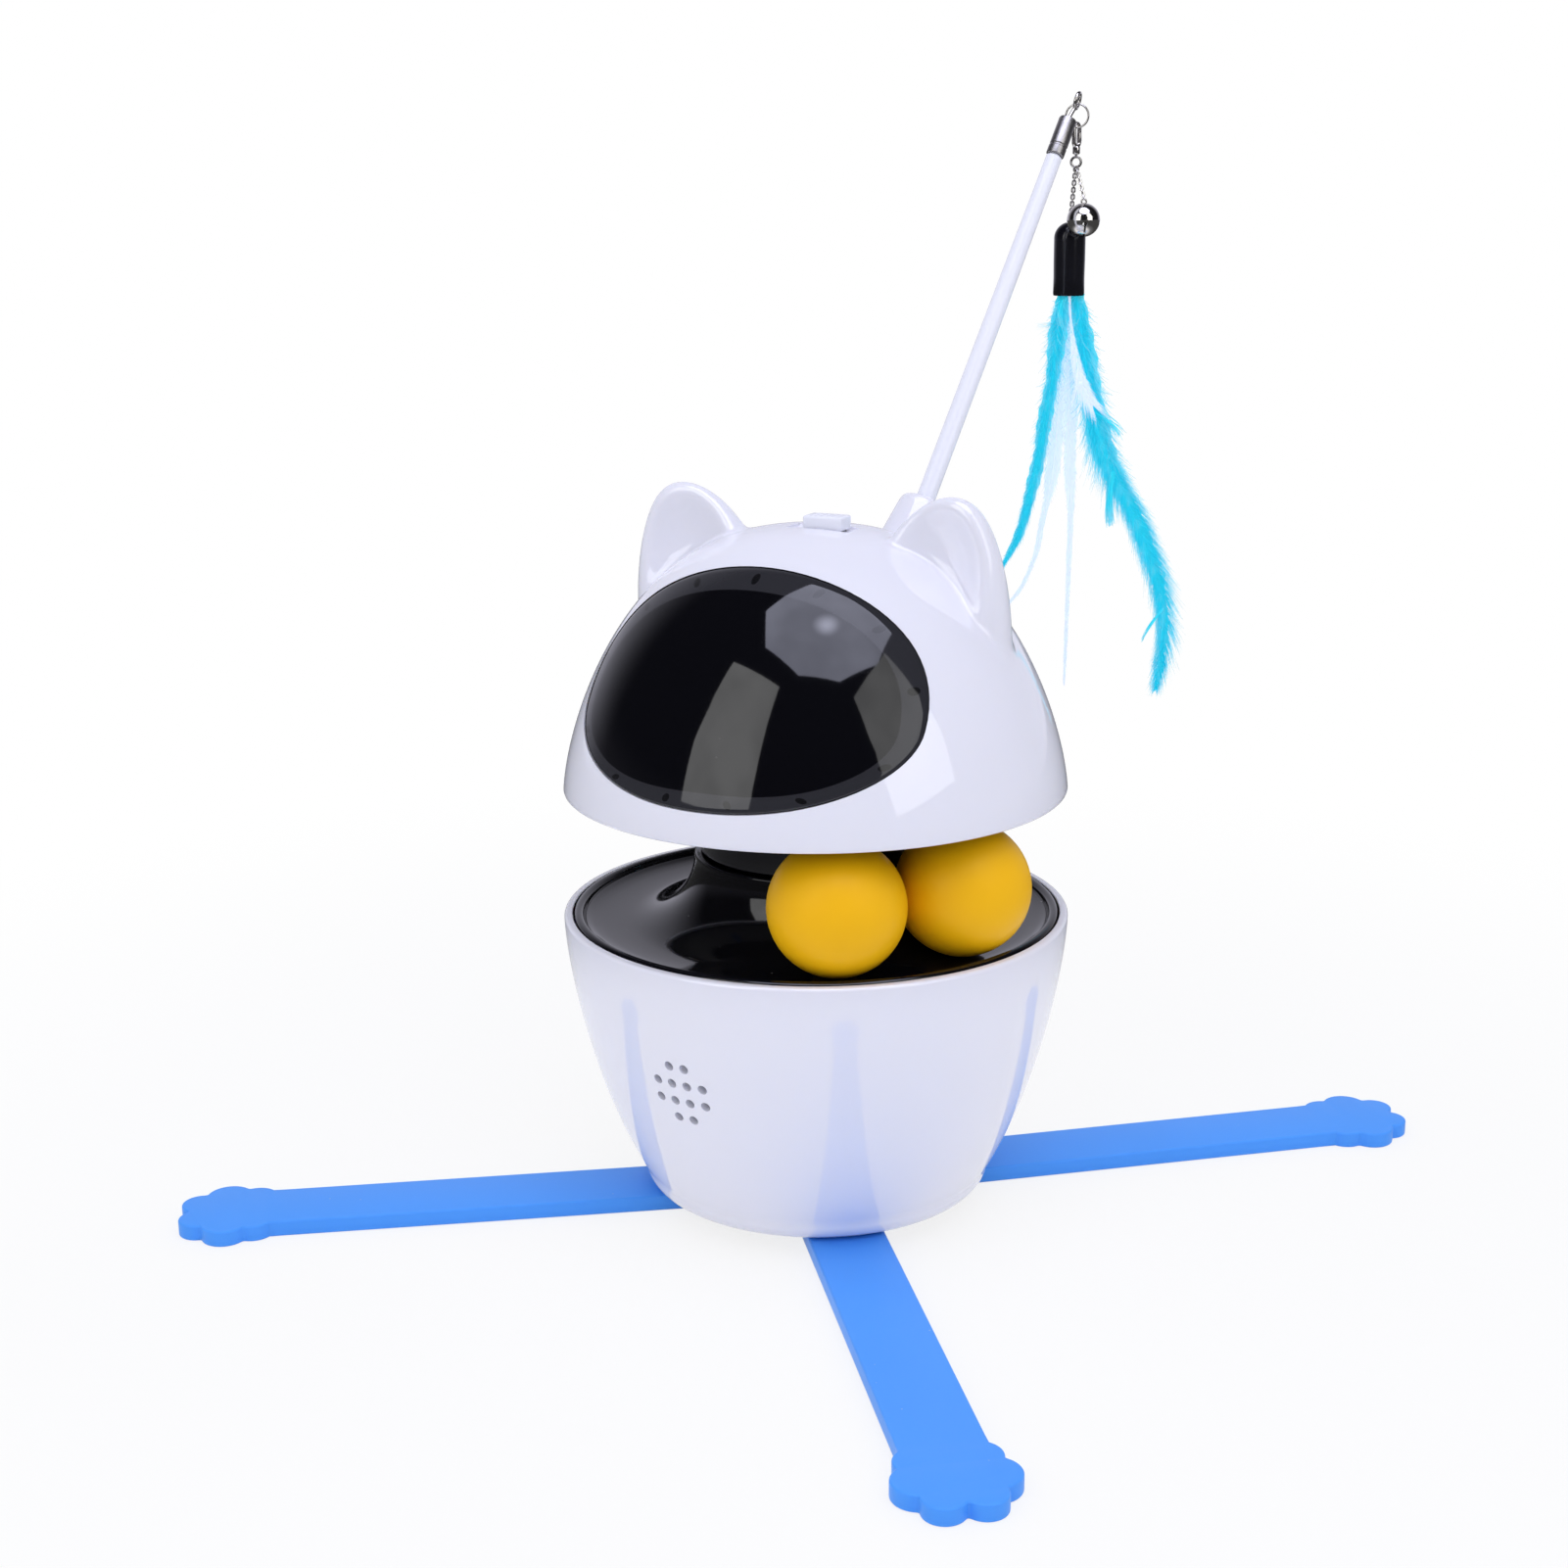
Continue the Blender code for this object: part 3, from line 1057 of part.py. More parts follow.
def ear_solid(side, inset):
    """Ear lobe of stacked rounded sections, leaning outwards, shrunk by an inset."""
    work = bmesh.new()
    rings = []
    height = EAR_HEIGHT - inset
    for level in range(EAR_LEVELS):
        share = math.sin(math.pi / 2 * level / EAR_LEVELS)
        half_width = (EAR_HALF_WIDTH - inset) * math.sqrt(1.0 - share ** EAR_WIDTH_SHARE)
        half_depth = (EAR_HALF_DEPTH - inset) * math.sqrt(1.0 - share ** EAR_DEPTH_SHARE)
        centre = EAR_CENTRE + EAR_LEAN * share ** 3
        ring = []
        for index in range(EAR_STEPS):
            turn = math.tau * index / EAR_STEPS
            bend = 2.0 / EAR_SQUARENESS_SHARE
            x = math.copysign(abs(math.cos(turn)) ** bend, math.cos(turn)) * half_width
            y = math.copysign(abs(math.sin(turn)) ** bend, math.sin(turn)) * half_depth
            ring.append(work.verts.new((side * (centre + x), EAR_SETBACK * (1.0 - share) + y,
                                        EAR_BASE_Z + height * share)))
        rings.append(ring)
    apex = work.verts.new((side * (EAR_CENTRE + EAR_LEAN), 0.0, EAR_BASE_Z + height))
    work.faces.new(rings[0])
    for low, high in zip(rings, rings[1:]):
        for index in range(EAR_STEPS):
            after = (index + 1) % EAR_STEPS
            work.faces.new((low[index], low[after], high[after], high[index]))
    for index in range(EAR_STEPS):
        work.faces.new((rings[-1][index], rings[-1][(index + 1) % EAR_STEPS], apex))
    return to_object("ear", work)


def scooped_ear(side):
    """Ear with its inner dish scooped out of the front."""
    ear = ear_solid(side, 0.0)
    centre = (side * SCOOP_CENTRE[0], SCOOP_CENTRE[1], SCOOP_CENTRE[2])
    return combine(ear, "DIFFERENCE", egg("scoop", SCOOP_RADII, centre, 14))


def ear_core(side):
    """Hollow inside an ear, behind its scoop."""
    core = ear_solid(side, HEAD_WALL)
    centre = (side * SCOOP_CENTRE[0], SCOOP_CENTRE[1], SCOOP_CENTRE[2])
    radii = tuple(radius + HEAD_WALL for radius in SCOOP_RADII)
    return combine(core, "DIFFERENCE", egg("scoop", radii, centre, 10))


def wand_frame():
    """Frame at the mouth of the wand socket, Z along the wand, X away from the head's axis."""
    x, y = polar(WAND_FOOT, WAND_AZIMUTH - 90.0)
    return at(x, y, WAND_FOOT_Z) @ turned(WAND_AZIMUTH - 90.0) @ turned(WAND_LEAN, "Y")


def wand_boss():
    """Rounded boss on the dome that the wand stands in."""
    deep = SOCKET_RUN - CUT_OVERRUN
    rounded = arc((SOCKET_TOP_RADIUS - SOCKET_ROUND, -SOCKET_ROUND), SOCKET_ROUND, 0.0, 90.0, 4)
    boss = lathe("boss", [(0.0, -deep), (SOCKET_FOOT_RADIUS, -deep)] + rounded + [(0.0, 0.0)], 16)
    return move(boss, wand_frame())


def wand_tube(grow):
    """Blind tube under the boss, or the bore inside it."""
    if grow:
        tube = rod("tube", SOCKET_TUBE_RADIUS, -SOCKET_RUN - SOCKET_TUBE_FLOOR, -SOCKET_ROUND, 12)
    else:
        tube = rod("bore", ROD_RADIUS + SEAT_GAP, -SOCKET_RUN, CUT_OVERRUN, 12)
    return move(tube, wand_frame())


def switch_floor():
    """Height of the pocket's floor that the switch knob slides on."""
    return HEAD_Z + HEAD_HEIGHT - SWITCH_POCKET[2]


def switch_board_z():
    """Underside of the switch board."""
    return HEAD_Z + HEAD_HEIGHT - HEAD_WALL - SWITCH_BOARD_DROP


def make_head_shell():
    """Domed shell with hollow ears, the visor opening, the switch pocket, the wand socket and its screw posts."""
    outside = lathe("head_shell", dome_profile(0.0, HEAD_Z))
    move(outside, FACE)
    for side in (-1, 1):
        combine(outside, "UNION", move(scooped_ear(side), FACE))
    combine(outside, "UNION", wand_boss())
    hollow = lathe("hollow", dome_profile(HEAD_WALL, HEAD_Z - CUT_OVERRUN))
    combine(hollow, "UNION", ear_core(-1), ear_core(1))
    base_top = head_base_levels()[1] + SEAT_GAP
    for angle in HEAD_POST_ANGLES:
        place = polar(HEAD_POST_CIRCLE, angle - 90.0)
        combine(hollow, "DIFFERENCE", rod("post", HEAD_POST_RADIUS, base_top, HEAD_Z + HEAD_HEIGHT, 10, place))
        combine(hollow, "UNION", rod("pilot", SCREW_RADIUS + SEAT_GAP, base_top - MERGE, base_top + SCREW_LENGTH,
                                     12, place))
    peg_low = switch_board_z() + SWITCH_BOARD[2] + SEAT_GAP
    for side in (-SWITCH_PEG_X, SWITCH_PEG_X):
        combine(hollow, "DIFFERENCE", rod("peg", SWITCH_PEG_RADIUS, peg_low, HEAD_Z + HEAD_HEIGHT, 10,
                                          (SWITCH_X + side, 0.0)))
    move(hollow, FACE)
    combine(hollow, "DIFFERENCE", wand_tube(True))
    combine(outside, "DIFFERENCE", hollow)
    combine(outside, "DIFFERENCE", wand_tube(False))
    combine(outside, "DIFFERENCE", move(visor_prism(0.0), FACE))
    top = HEAD_Z + HEAD_HEIGHT
    pocket = box("pocket", (SWITCH_POCKET[0], SWITCH_POCKET[1], 2 * CUT_OVERRUN),
                 (SWITCH_X, 0.0, switch_floor() + CUT_OVERRUN))
    slot = box("slot", (SWITCH_SLOT[0], SWITCH_SLOT[1], 2 * CUT_OVERRUN), (SWITCH_X, 0.0, top))
    combine(outside, "DIFFERENCE", move(pocket, FACE), move(slot, FACE))
    return dress(outside, "white_gloss_plastic")


def dome_skin(name, depth, thickness):
    """Layer of the dome between two depths below its surface."""
    skin = lathe(name, dome_profile(depth, HEAD_Z - CUT_OVERRUN))
    return combine(skin, "DIFFERENCE", lathe("inside", dome_profile(depth + thickness, HEAD_Z - 2 * CUT_OVERRUN)))


def make_visor():
    """Tinted visor, a flush patch of the dome that fills the opening."""
    visor = dome_skin("visor", 0.0, VISOR_THICKNESS)
    combine(visor, "INTERSECT", visor_prism(-SEAT_GAP))
    return dress(move(visor, FACE), "smoke_visor")


def make_visor_retainer():
    """Ring behind the shell's opening that the visor is fixed to."""
    depth = HEAD_WALL + SEAT_GAP
    ring = dome_skin("visor_retainer", depth, RETAINER_THICKNESS)
    combine(ring, "INTERSECT", visor_prism(RETAINER_OUT, RETAINER_TOP))
    combine(ring, "DIFFERENCE", visor_prism(-RETAINER_IN))
    return dress(move(ring, FACE), "dark_retainer")


def make_head_base():
    """Disc that closes the head, with the neck ring round the collar and a hub for the shaft."""
    low, high = head_base_levels()
    roof = hub_levels()[0]
    rim = HEAD_RADIUS - HEAD_WALL - 2 * SEAT_GAP
    hub_low = roof + 2 * SEAT_GAP + BUSH_FLANGE_HEIGHT
    neck_low = roof + NECK_GAP
    profile = [(rim, low), (rim - SEAT_GAP, high), (SHAFT_RADIUS + SEAT_GAP, high),
               (SHAFT_RADIUS + SEAT_GAP, hub_low), (HEAD_HUB_RADIUS, hub_low), (HEAD_HUB_RADIUS, low),
               (NECK_RADIUS - NECK_WALL, low), (NECK_RADIUS - NECK_WALL, neck_low), (NECK_RADIUS, neck_low),
               (NECK_RADIUS, low)]
    base = lathe("head_base", profile)
    for angle in HEAD_POST_ANGLES:
        place = polar(HEAD_POST_CIRCLE, angle - 90.0)
        combine(base, "DIFFERENCE", rod("hole", SCREW_RADIUS + SEAT_GAP, low - CUT_OVERRUN, high + CUT_OVERRUN,
                                        12, place))
    return dress(move(base, FACE), "black_gloss_plastic")


def make_switch():
    """Slide knob in its pocket, and the small board with the switch under it."""
    floor = switch_floor() + SEAT_GAP
    rest_x = SWITCH_X + SWITCH_TRAVEL / 2
    knob = box("switch_knob", KNOB_SIZE, (rest_x, 0.0, floor + KNOB_SIZE[2] / 2), KNOB_EDGE)
    body_top = switch_board_z() + SWITCH_BOARD[2] + SWITCH_BODY[2]
    stem_low = body_top + SEAT_GAP
    stem_high = floor + KNOB_SIZE[2] / 2
    stem = box("stem", (KNOB_STEM[0], KNOB_STEM[1], stem_high - stem_low),
               (rest_x, 0.0, (stem_low + stem_high) / 2))
    combine(knob, "UNION", stem)
    dress(move(knob, FACE), "white_gloss_plastic")
    low = switch_board_z()
    board = box("switch_board", SWITCH_BOARD, (SWITCH_X, SWITCH_BOARD_BACK, low + SWITCH_BOARD[2] / 2))
    body = box("body", (SWITCH_BODY[0], SWITCH_BODY[1], SWITCH_BODY[2] + SWITCH_BOARD[2] / 2),
               (SWITCH_X, 0.0, body_top - (SWITCH_BODY[2] + SWITCH_BOARD[2] / 2) / 2))
    combine(board, "UNION", body)
    dress(move(board, FACE), "green_board")
    return knob, board


def tilt_pinion_place():
    """Side view place, in the face frame, of the pinion behind and below the laser's pivot."""
    reach = TILT_MODULE * (TILT_TEETH + TILT_PINION_TEETH) / 2
    y, z = polar(reach, TILT_MOTOR_ANGLE)
    return LASER_PIVOT[1] - y, LASER_PIVOT[2] + z


def side_shaft(name, radius, start, end, y, z, steps=20):
    """Round bar along X in the face frame."""
    bar = rod(name, radius, start, end, steps)
    return move(bar, at(0.0, y, z) @ turned(90.0, "Y"))


def make_laser():
    """Laser module in a tilting cradle, its bracket, and the little motor and gears that tilt it."""
    base_top = head_base_levels()[1] + SEAT_GAP
    _, pivot_y, pivot_z = LASER_PIVOT
    half_block = CRADLE_BLOCK[0] / 2
    cheek_in = half_block + CHEEK_GAP
    cheek_out = cheek_in + CHEEK_THICKNESS
    gear_in = cheek_out + CHEEK_GAP
    gear_out = gear_in + TILT_GEAR_WIDTH
    pinion_y, pinion_z = tilt_pinion_place()
    motor_in = gear_out + CHEEK_GAP
    motor_out = motor_in + TILT_MOTOR_LENGTH

    bracket = box("laser_bracket", (cheek_out + motor_out, CHEEK_DEPTH * 1.6, BRACKET_FOOT),
                  ((motor_out - cheek_out) / 2, pivot_y, base_top + BRACKET_FOOT / 2))
    cheek_top = pivot_z + TRUNNION_RADIUS + CHEEK_THICKNESS
    for side in (-1, 1):
        middle = side * (cheek_in + cheek_out) / 2
        combine(bracket, "UNION", box("cheek", (CHEEK_THICKNESS, CHEEK_DEPTH, cheek_top - base_top - MERGE),
                                      (middle, pivot_y, (cheek_top + base_top + MERGE) / 2)))
    saddle_top = pinion_z - TILT_MOTOR_RADIUS - SEAT_GAP
    combine(bracket, "UNION", box("saddle", (TILT_MOTOR_LENGTH / 2, TILT_MOTOR_RADIUS, saddle_top - base_top - MERGE),
                                  ((motor_in + motor_out) / 2, pinion_y, (saddle_top + base_top + MERGE) / 2)))
    for side in (-1, 1):
        combine(bracket, "DIFFERENCE", side_shaft("bore", TRUNNION_RADIUS + RUN_GAP, side * cheek_in - side * CHEEK_GAP / 2,
                                                  side * cheek_out + side * CHEEK_GAP / 2, pivot_y, pivot_z))
    dress(move(bracket, FACE), "grey_plastic")

    cradle = box("laser_cradle", CRADLE_BLOCK, LASER_PIVOT, KNOB_EDGE)
    combine(cradle, "UNION", side_shaft("trunnion", TRUNNION_RADIUS, -cheek_out, gear_out, pivot_y, pivot_z))
    sector = prism("sector", gear_outline(TILT_TEETH, TILT_MODULE, TILT_MOTOR_ANGLE), 0.0, TILT_GEAR_WIDTH)
    combine(cradle, "UNION", move(sector, side_frame(gear_out, pivot_y, pivot_z)))
    module_bore = rod("bore", LASER_RADIUS + SEAT_GAP, -CRADLE_BLOCK[1], CRADLE_BLOCK[1], 24)
    combine(cradle, "DIFFERENCE", move(module_bore, at(*LASER_PIVOT) @ turned(90.0, "X")))
    dress(move(cradle, FACE), "grey_plastic")

    half = LASER_LENGTH / 2
    lens = LASER_LENS_RADIUS
    profile = [(0.0, -half), (LASER_RADIUS, -half), (LASER_RADIUS, half), (lens, half),
               (lens / 2, half - LASER_LENS_DEPTH), (0.0, half - LASER_LENS_DEPTH)]
    module = lathe("laser_module", profile, 16, "brass")
    move(module, FACE @ at(0.0, -LASER_LENS_DEPTH) @ at(*LASER_PIVOT) @ turned(90.0, "X"))

    motor = side_shaft("tilt_motor", TILT_MOTOR_RADIUS, motor_in, motor_out, pinion_y, pinion_z, 24)
    combine(motor, "DIFFERENCE", side_shaft("bore", MOTOR_SHAFT_RADIUS / 2 + RUN_GAP, motor_in - CUT_OVERRUN,
                                            motor_in + LASER_RADIUS, pinion_y, pinion_z, 12))
    dress(move(motor, FACE), "steel")

    phase = TILT_MOTOR_ANGLE + 180.0 + 180.0 / TILT_PINION_TEETH
    pinion = prism("tilt_pinion", gear_outline(TILT_PINION_TEETH, TILT_MODULE, phase), 0.0, TILT_GEAR_WIDTH)
    move(pinion, side_frame(gear_out, pinion_y, pinion_z))
    combine(pinion, "UNION", side_shaft("shaft", MOTOR_SHAFT_RADIUS / 2, gear_in + MERGE,
                                        motor_in + LASER_RADIUS - SEAT_GAP, pinion_y, pinion_z, 12))
    dress(move(pinion, FACE), "brass")


def side_frame(x, y, z):
    """Frame for a wheel that turns about X: outline X forwards (-Y), outline Y up, thickness towards -X."""
    return Matrix(((0.0, 0.0, -1.0, x), (-1.0, 0.0, 0.0, y), (0.0, 1.0, 0.0, z), (0.0, 0.0, 0.0, 1.0)))


# Wand and lure

def rod_radius(along):
    """Radius of the tapered rod at a distance along it."""
    return ROD_RADIUS + (ROD_TIP_RADIUS - ROD_RADIUS) * (along + ROD_DEPTH) / (ROD_LENGTH + ROD_DEPTH)


def eye_place():
    """Centre of the eye at the wand's tip, set a little outwards."""
    middle = ROD_LENGTH + SEAT_GAP + FERRULE_LENGTH - SPIGOT_LENGTH / 2 + EYE_STEM
    place = wand_frame() @ Vector((0.0, 0.0, middle))
    x, y = polar(EYE_OUTSET, WAND_AZIMUTH - 90.0)
    return place + Vector((x, y, 0.0))


def make_wand():
    """Tapered rod, crimped ferrule and wire eye, along the wand's own axis."""
    frame = wand_frame()
    end = ROD_LENGTH - SPIGOT_LENGTH / 2
    profile = [(0.0, -ROD_DEPTH), (ROD_RADIUS - STRAP_EDGE, -ROD_DEPTH), (ROD_RADIUS, -ROD_DEPTH + STRAP_EDGE)]
    profile += [(ROD_TIP_RADIUS, end), (SPIGOT_RADIUS, end), (SPIGOT_RADIUS, end + SPIGOT_LENGTH),
                (0.0, end + SPIGOT_LENGTH)]
    move(lathe("wand_rod", profile, 12, "white_fibreglass"), frame)
    low = end + SEAT_GAP
    high = low + FERRULE_LENGTH
    bore = SPIGOT_RADIUS + SEAT_GAP
    crimp = FERRULE_RADIUS - SEAT_GAP / 2
    stem_bore = EYE_WIRE + 1.5 * SEAT_GAP
    profile = [(bore, low), (FERRULE_RADIUS, low), (FERRULE_RADIUS, low + FERRULE_GRIP),
               (crimp, low + FERRULE_GRIP + SEAT_GAP), (FERRULE_RADIUS, low + FERRULE_GRIP + 2 * SEAT_GAP),
               (FERRULE_RADIUS, high - FERRULE_TAPER), (FERRULE_TIP_RADIUS, high), (stem_bore, high),
               (stem_bore, low + SPIGOT_LENGTH + 2 * SEAT_GAP), (bore, low + SPIGOT_LENGTH + SEAT_GAP)]
    move(lathe("wand_ferrule", profile, 12, "steel"), frame)
    place = eye_place()
    eye = loop_wire("wand_eye", EYE_RADIUS, EYE_RADIUS, EYE_WIRE)
    lean = turned(WAND_AZIMUTH - 90.0) @ turned(WAND_LEAN, "Y")
    move(eye, Matrix.Translation(place) @ lean)
    foot = frame @ Vector((0.0, 0.0, high - FERRULE_GRIP))
    head = place + lean @ Vector((0.0, 0.0, -EYE_RADIUS))
    bend = frame @ Vector((0.0, 0.0, high + SEAT_GAP))
    combine(eye, "UNION", wire_between("stem", foot, bend, EYE_WIRE))
    combine(eye, "UNION", wire_between("neck", bend - (bend - foot).normalized() * EYE_WIRE, head, EYE_WIRE))
    dress(eye, "nickel")
    return eye


def wire_between(name, start, end, radius, steps=10):
    """Straight round wire between two points."""
    run = end - start
    bar = rod(name, radius, 0.0, run.length, steps)
    return move(bar, Matrix.Translation(start) @ run.to_track_quat("Z", "Y").to_matrix().to_4x4())


def lure_levels():
    """Places down the hanging line: split ring, clasp, barrel, swivel ring and the wire at that ring's foot."""
    top = eye_place() - Vector((0.0, 0.0, EYE_RADIUS - EYE_WIRE - RING_WIRE - SEAT_GAP))
    ring = top - Vector((0.0, 0.0, RING_RADIUS))
    ring_foot = ring - Vector((0.0, 0.0, RING_RADIUS))
    hold = CLASP_HALF_LENGTH - CLASP_WIRE - RING_WIRE - SEAT_GAP
    clasp = ring_foot - Vector((0.0, 0.0, hold))
    barrel = clasp - Vector((0.0, 0.0, CLASP_HALF_LENGTH + CLASP_WIRE / 2))
    swivel = barrel - Vector((0.0, 0.0, BARREL_LENGTH + SEAT_GAP + SWIVEL_WIRE + SWIVEL_RING_RADIUS))
    foot = swivel - Vector((0.0, 0.0, SWIVEL_RING_RADIUS))
    return {"pivot": top, "ring": ring, "ring_foot": ring_foot, "clasp": clasp, "barrel": barrel,
            "swivel": swivel, "foot": foot}


def make_split_ring(levels):
    """Split ring through the eye, square to the wand's lean."""
    ring = loop_wire("split_ring", RING_RADIUS, RING_RADIUS, RING_WIRE, 16)
    return dress(move(ring, Matrix.Translation(levels["ring"]) @ turned(WAND_AZIMUTH)), "nickel")


def make_clasp(levels):
    """Clasp on the split ring, with the swivel's barrel under it."""
    clasp = loop_wire("clasp", CLASP_HALF_WIDTH, CLASP_HALF_LENGTH, CLASP_WIRE, 14)
    move(clasp, Matrix.Translation(levels["clasp"]) @ turned(WAND_AZIMUTH - 90.0))
    place = levels["barrel"]
    barrel = rod("barrel", BARREL_RADIUS, -BARREL_LENGTH, 0.0, 16)
    combine(barrel, "DIFFERENCE", rod("bore", BARREL_BORE, -BARREL_LENGTH - CUT_OVERRUN,
                                      -BARREL_LENGTH / 4, 12))
    move(barrel, Matrix.Translation(place))
    combine(clasp, "UNION", barrel)
    return dress(clasp, "nickel")


def make_swivel(levels):
    """Swivel pin in the barrel, with the small ring that holds both chains."""
    ring = loop_wire("swivel_ring", SWIVEL_RING_RADIUS, SWIVEL_RING_RADIUS, SWIVEL_WIRE, 12)
    move(ring, Matrix.Translation(levels["swivel"]))
    top = levels["barrel"].z - BARREL_LENGTH / 4 - SEAT_GAP
    low = levels["swivel"].z + SWIVEL_RING_RADIUS
    place = (levels["swivel"].x, levels["swivel"].y)
    combine(ring, "UNION", rod("pin", SWIVEL_PIN_RADIUS, low, top, 12, place))
    return dress(ring, "nickel")


def beaded_chain(name, start, end):
    """Fine chain as a string of beads between two points."""
    run = end - start
    count = max(2, round(run.length / CHAIN_BEAD_LENGTH))
    waist = CHAIN_RADIUS * CHAIN_WAIST_SHARE
    step = run.length / count
    profile = [(0.0, 0.0)]
    for index in range(count):
        profile += [(waist, step * (index + 0.1)), (CHAIN_RADIUS, step * (index + 0.4)),
                    (CHAIN_RADIUS, step * (index + 0.6)), (waist, step * (index + 0.9))]
    profile += [(0.0, run.length)]
    chain = lathe(name, profile, 6, "nickel")
    return move(chain, Matrix.Translation(start) @ run.to_track_quat("Z", "Y").to_matrix().to_4x4())


def sleeve_top(levels):
    """Top of the feather sleeve under the swivel."""
    return levels["foot"] + Vector((SLEEVE_OFFSET[0], SLEEVE_OFFSET[1], -SLEEVE_DROP))


def bell_centre(levels):
    """Centre of the bell, in front of the sleeve's top."""
    return sleeve_top(levels) + Vector((BELL_OFFSET[0] - SLEEVE_OFFSET[0], BELL_OFFSET[1] - SLEEVE_OFFSET[1],
                                        SEAT_GAP * 3))


def make_lure(levels):
    """Both chains, the bell with its slot, the sleeve and its feathers."""
    start = levels["foot"]
    spread = Vector((0.0, SWIVEL_WIRE + SEAT_GAP + CHAIN_RADIUS, 0.0))
    sleeve = sleeve_top(levels)
    beaded_chain("chain_sleeve", start + spread, sleeve + Vector((0.0, 0.0, SEAT_GAP)))
    bell = bell_centre(levels)
    loop_top = bell + Vector((0.0, 0.0, BELL_RADIUS + BELL_LOOP_HEIGHT + SEAT_GAP))
    beaded_chain("chain_bell", start - spread, loop_top)
    make_bell(bell)
    make_sleeve(sleeve)
    mouth = sleeve - Vector((0.0, 0.0, SLEEVE_LENGTH))
    for name in FEATHER_SHARES:
        make_feather(name, mouth)


def make_bell(centre):
    """Hollow jingle bell with a crossed slot below and a loop on top."""
    inner = BELL_RADIUS - BELL_WALL
    outer = arc((0.0, 0.0), BELL_RADIUS, -90.0, 90.0, 9)
    hollow = arc((0.0, 0.0), inner, 90.0, -90.0, 6)
    bell = lathe("bell", [(abs(x), z) for x, z in outer], 14)
    combine(bell, "DIFFERENCE", lathe("hollow", [(abs(x), z) for x, z in hollow], 10))
    for turn in (0.0, 90.0):
        slot = box("slot", (2 * BELL_RADIUS, BELL_SLOT, BELL_RADIUS), (0.0, 0.0, -BELL_RADIUS / 2 - BELL_SLOT))
        combine(bell, "DIFFERENCE", move(slot, turned(turn)))
    combine(bell, "UNION", rod("loop", BELL_LOOP_HEIGHT, BELL_RADIUS - BELL_WALL / 2,
                               BELL_RADIUS + BELL_LOOP_HEIGHT, 12))
    return dress(move(bell, Matrix.Translation(centre)), "nickel")


def make_sleeve(top):
    """Rubber sleeve with a round top and a bore for the feather quills."""
    dome = arc((0.0, -SLEEVE_RADIUS), SLEEVE_RADIUS, 90.0, 0.0, 6)
    profile = [(abs(x), z) for x, z in dome] + [(SLEEVE_RADIUS, -SLEEVE_LENGTH), (SLEEVE_BORE, -SLEEVE_LENGTH),
                                                 (SLEEVE_BORE, -SLEEVE_LENGTH + SLEEVE_BORE_DEPTH),
                                                 (0.0, -SLEEVE_LENGTH + SLEEVE_BORE_DEPTH)]
    sleeve = lathe("feather_sleeve", profile, 14, "black_rubber_sleeve")
    return move(sleeve, Matrix.Translation(top))


def smooth_between(values, share):
    """Value at a share of a list of numbers or points, by a smooth curve through them."""
    last = len(values) - 1
    place = min(share * last, last - 1e-9)
    index = int(place)
    t = place - index
    a, b, c, d = (values[min(max(index + offset, 0), last)] for offset in (-1, 0, 1, 2))
    return b + (c - a) * (t / 2) + (a * 2 - b * 5 + c * 4 - d) * (t * t / 2) + (b * 3 - a - c * 3 + d) * (t ** 3 / 2)


def make_feather(name, mouth):
    """Feather as a thin curved blade, its quill up in the sleeve."""
    layer, points, widths = FEATHER_SHARES[name]
    route = [Vector((x, -z)) * FEATHER_LENGTH for x, z in points]
    depth = layer * FEATHER_LAYER
    half_thick = FEATHER_THICKNESS / 2
    work = bmesh.new()
    rings = []
    quill = [(Vector((route[0].x, FEATHER_ROOT)), QUILL_HALF_WIDTH), (Vector((route[0].x, SEAT_GAP)), QUILL_HALF_WIDTH)]
    stations = [(smooth_between(route, index / FEATHER_STATIONS),
                 smooth_between(widths, index / FEATHER_STATIONS) * FEATHER_LENGTH)
                for index in range(1, FEATHER_STATIONS + 1)]
    path = quill + stations
    for index, (place, half_width) in enumerate(path):
        before = path[max(index - 1, 0)][0]
        after = path[min(index + 1, len(path) - 1)][0]
        run = (after - before).normalized()
        across = Vector((-run.y, run.x)) * max(half_width, half_thick)
        corners = [(place - across, 0.0), (place - across / 2, -half_thick), (place + across / 2, -half_thick),
                   (place + across, 0.0), (place + across / 2, half_thick), (place - across / 2, half_thick)]
        rings.append([work.verts.new((mouth.x + flat.x, mouth.y + depth + lift, mouth.z + flat.y))
                      for flat, lift in corners])
    work.faces.new(rings[0])
    work.faces.new(rings[-1])
    for low, high in zip(rings, rings[1:]):
        for index in range(len(low)):
            after = (index + 1) % len(low)
            work.faces.new((low[index], low[after], high[after], high[index]))
    return to_object(name, work, "blue_feather" if "blue" in name else "white_feather")


def make_lower_half():
    """Everything that stands still."""
    make_lower_shell()
    make_base_plate()
    for name in STRAP_ANGLES:
        make_strap(name)
    for index in range(4):
        make_screw(f"base_screw_{index + 1}", FOOT_Z, base_screw_place(index))
    make_track_tray()
    make_gear_plate()
    for index, angle in enumerate(POST_ANGLES):
        place = polar(POST_CIRCLE, angle)
        make_screw(f"plate_screw_{index + 1}", GEAR_PLATE_Z - SEAT_GAP - SCREW_HEAD_HEIGHT, place)
    make_drive_motor()
    make_idler_pin()
    make_bushes()
    make_slip_ring()
    make_battery()
    make_main_board()
    make_charge_socket()
    make_speaker()


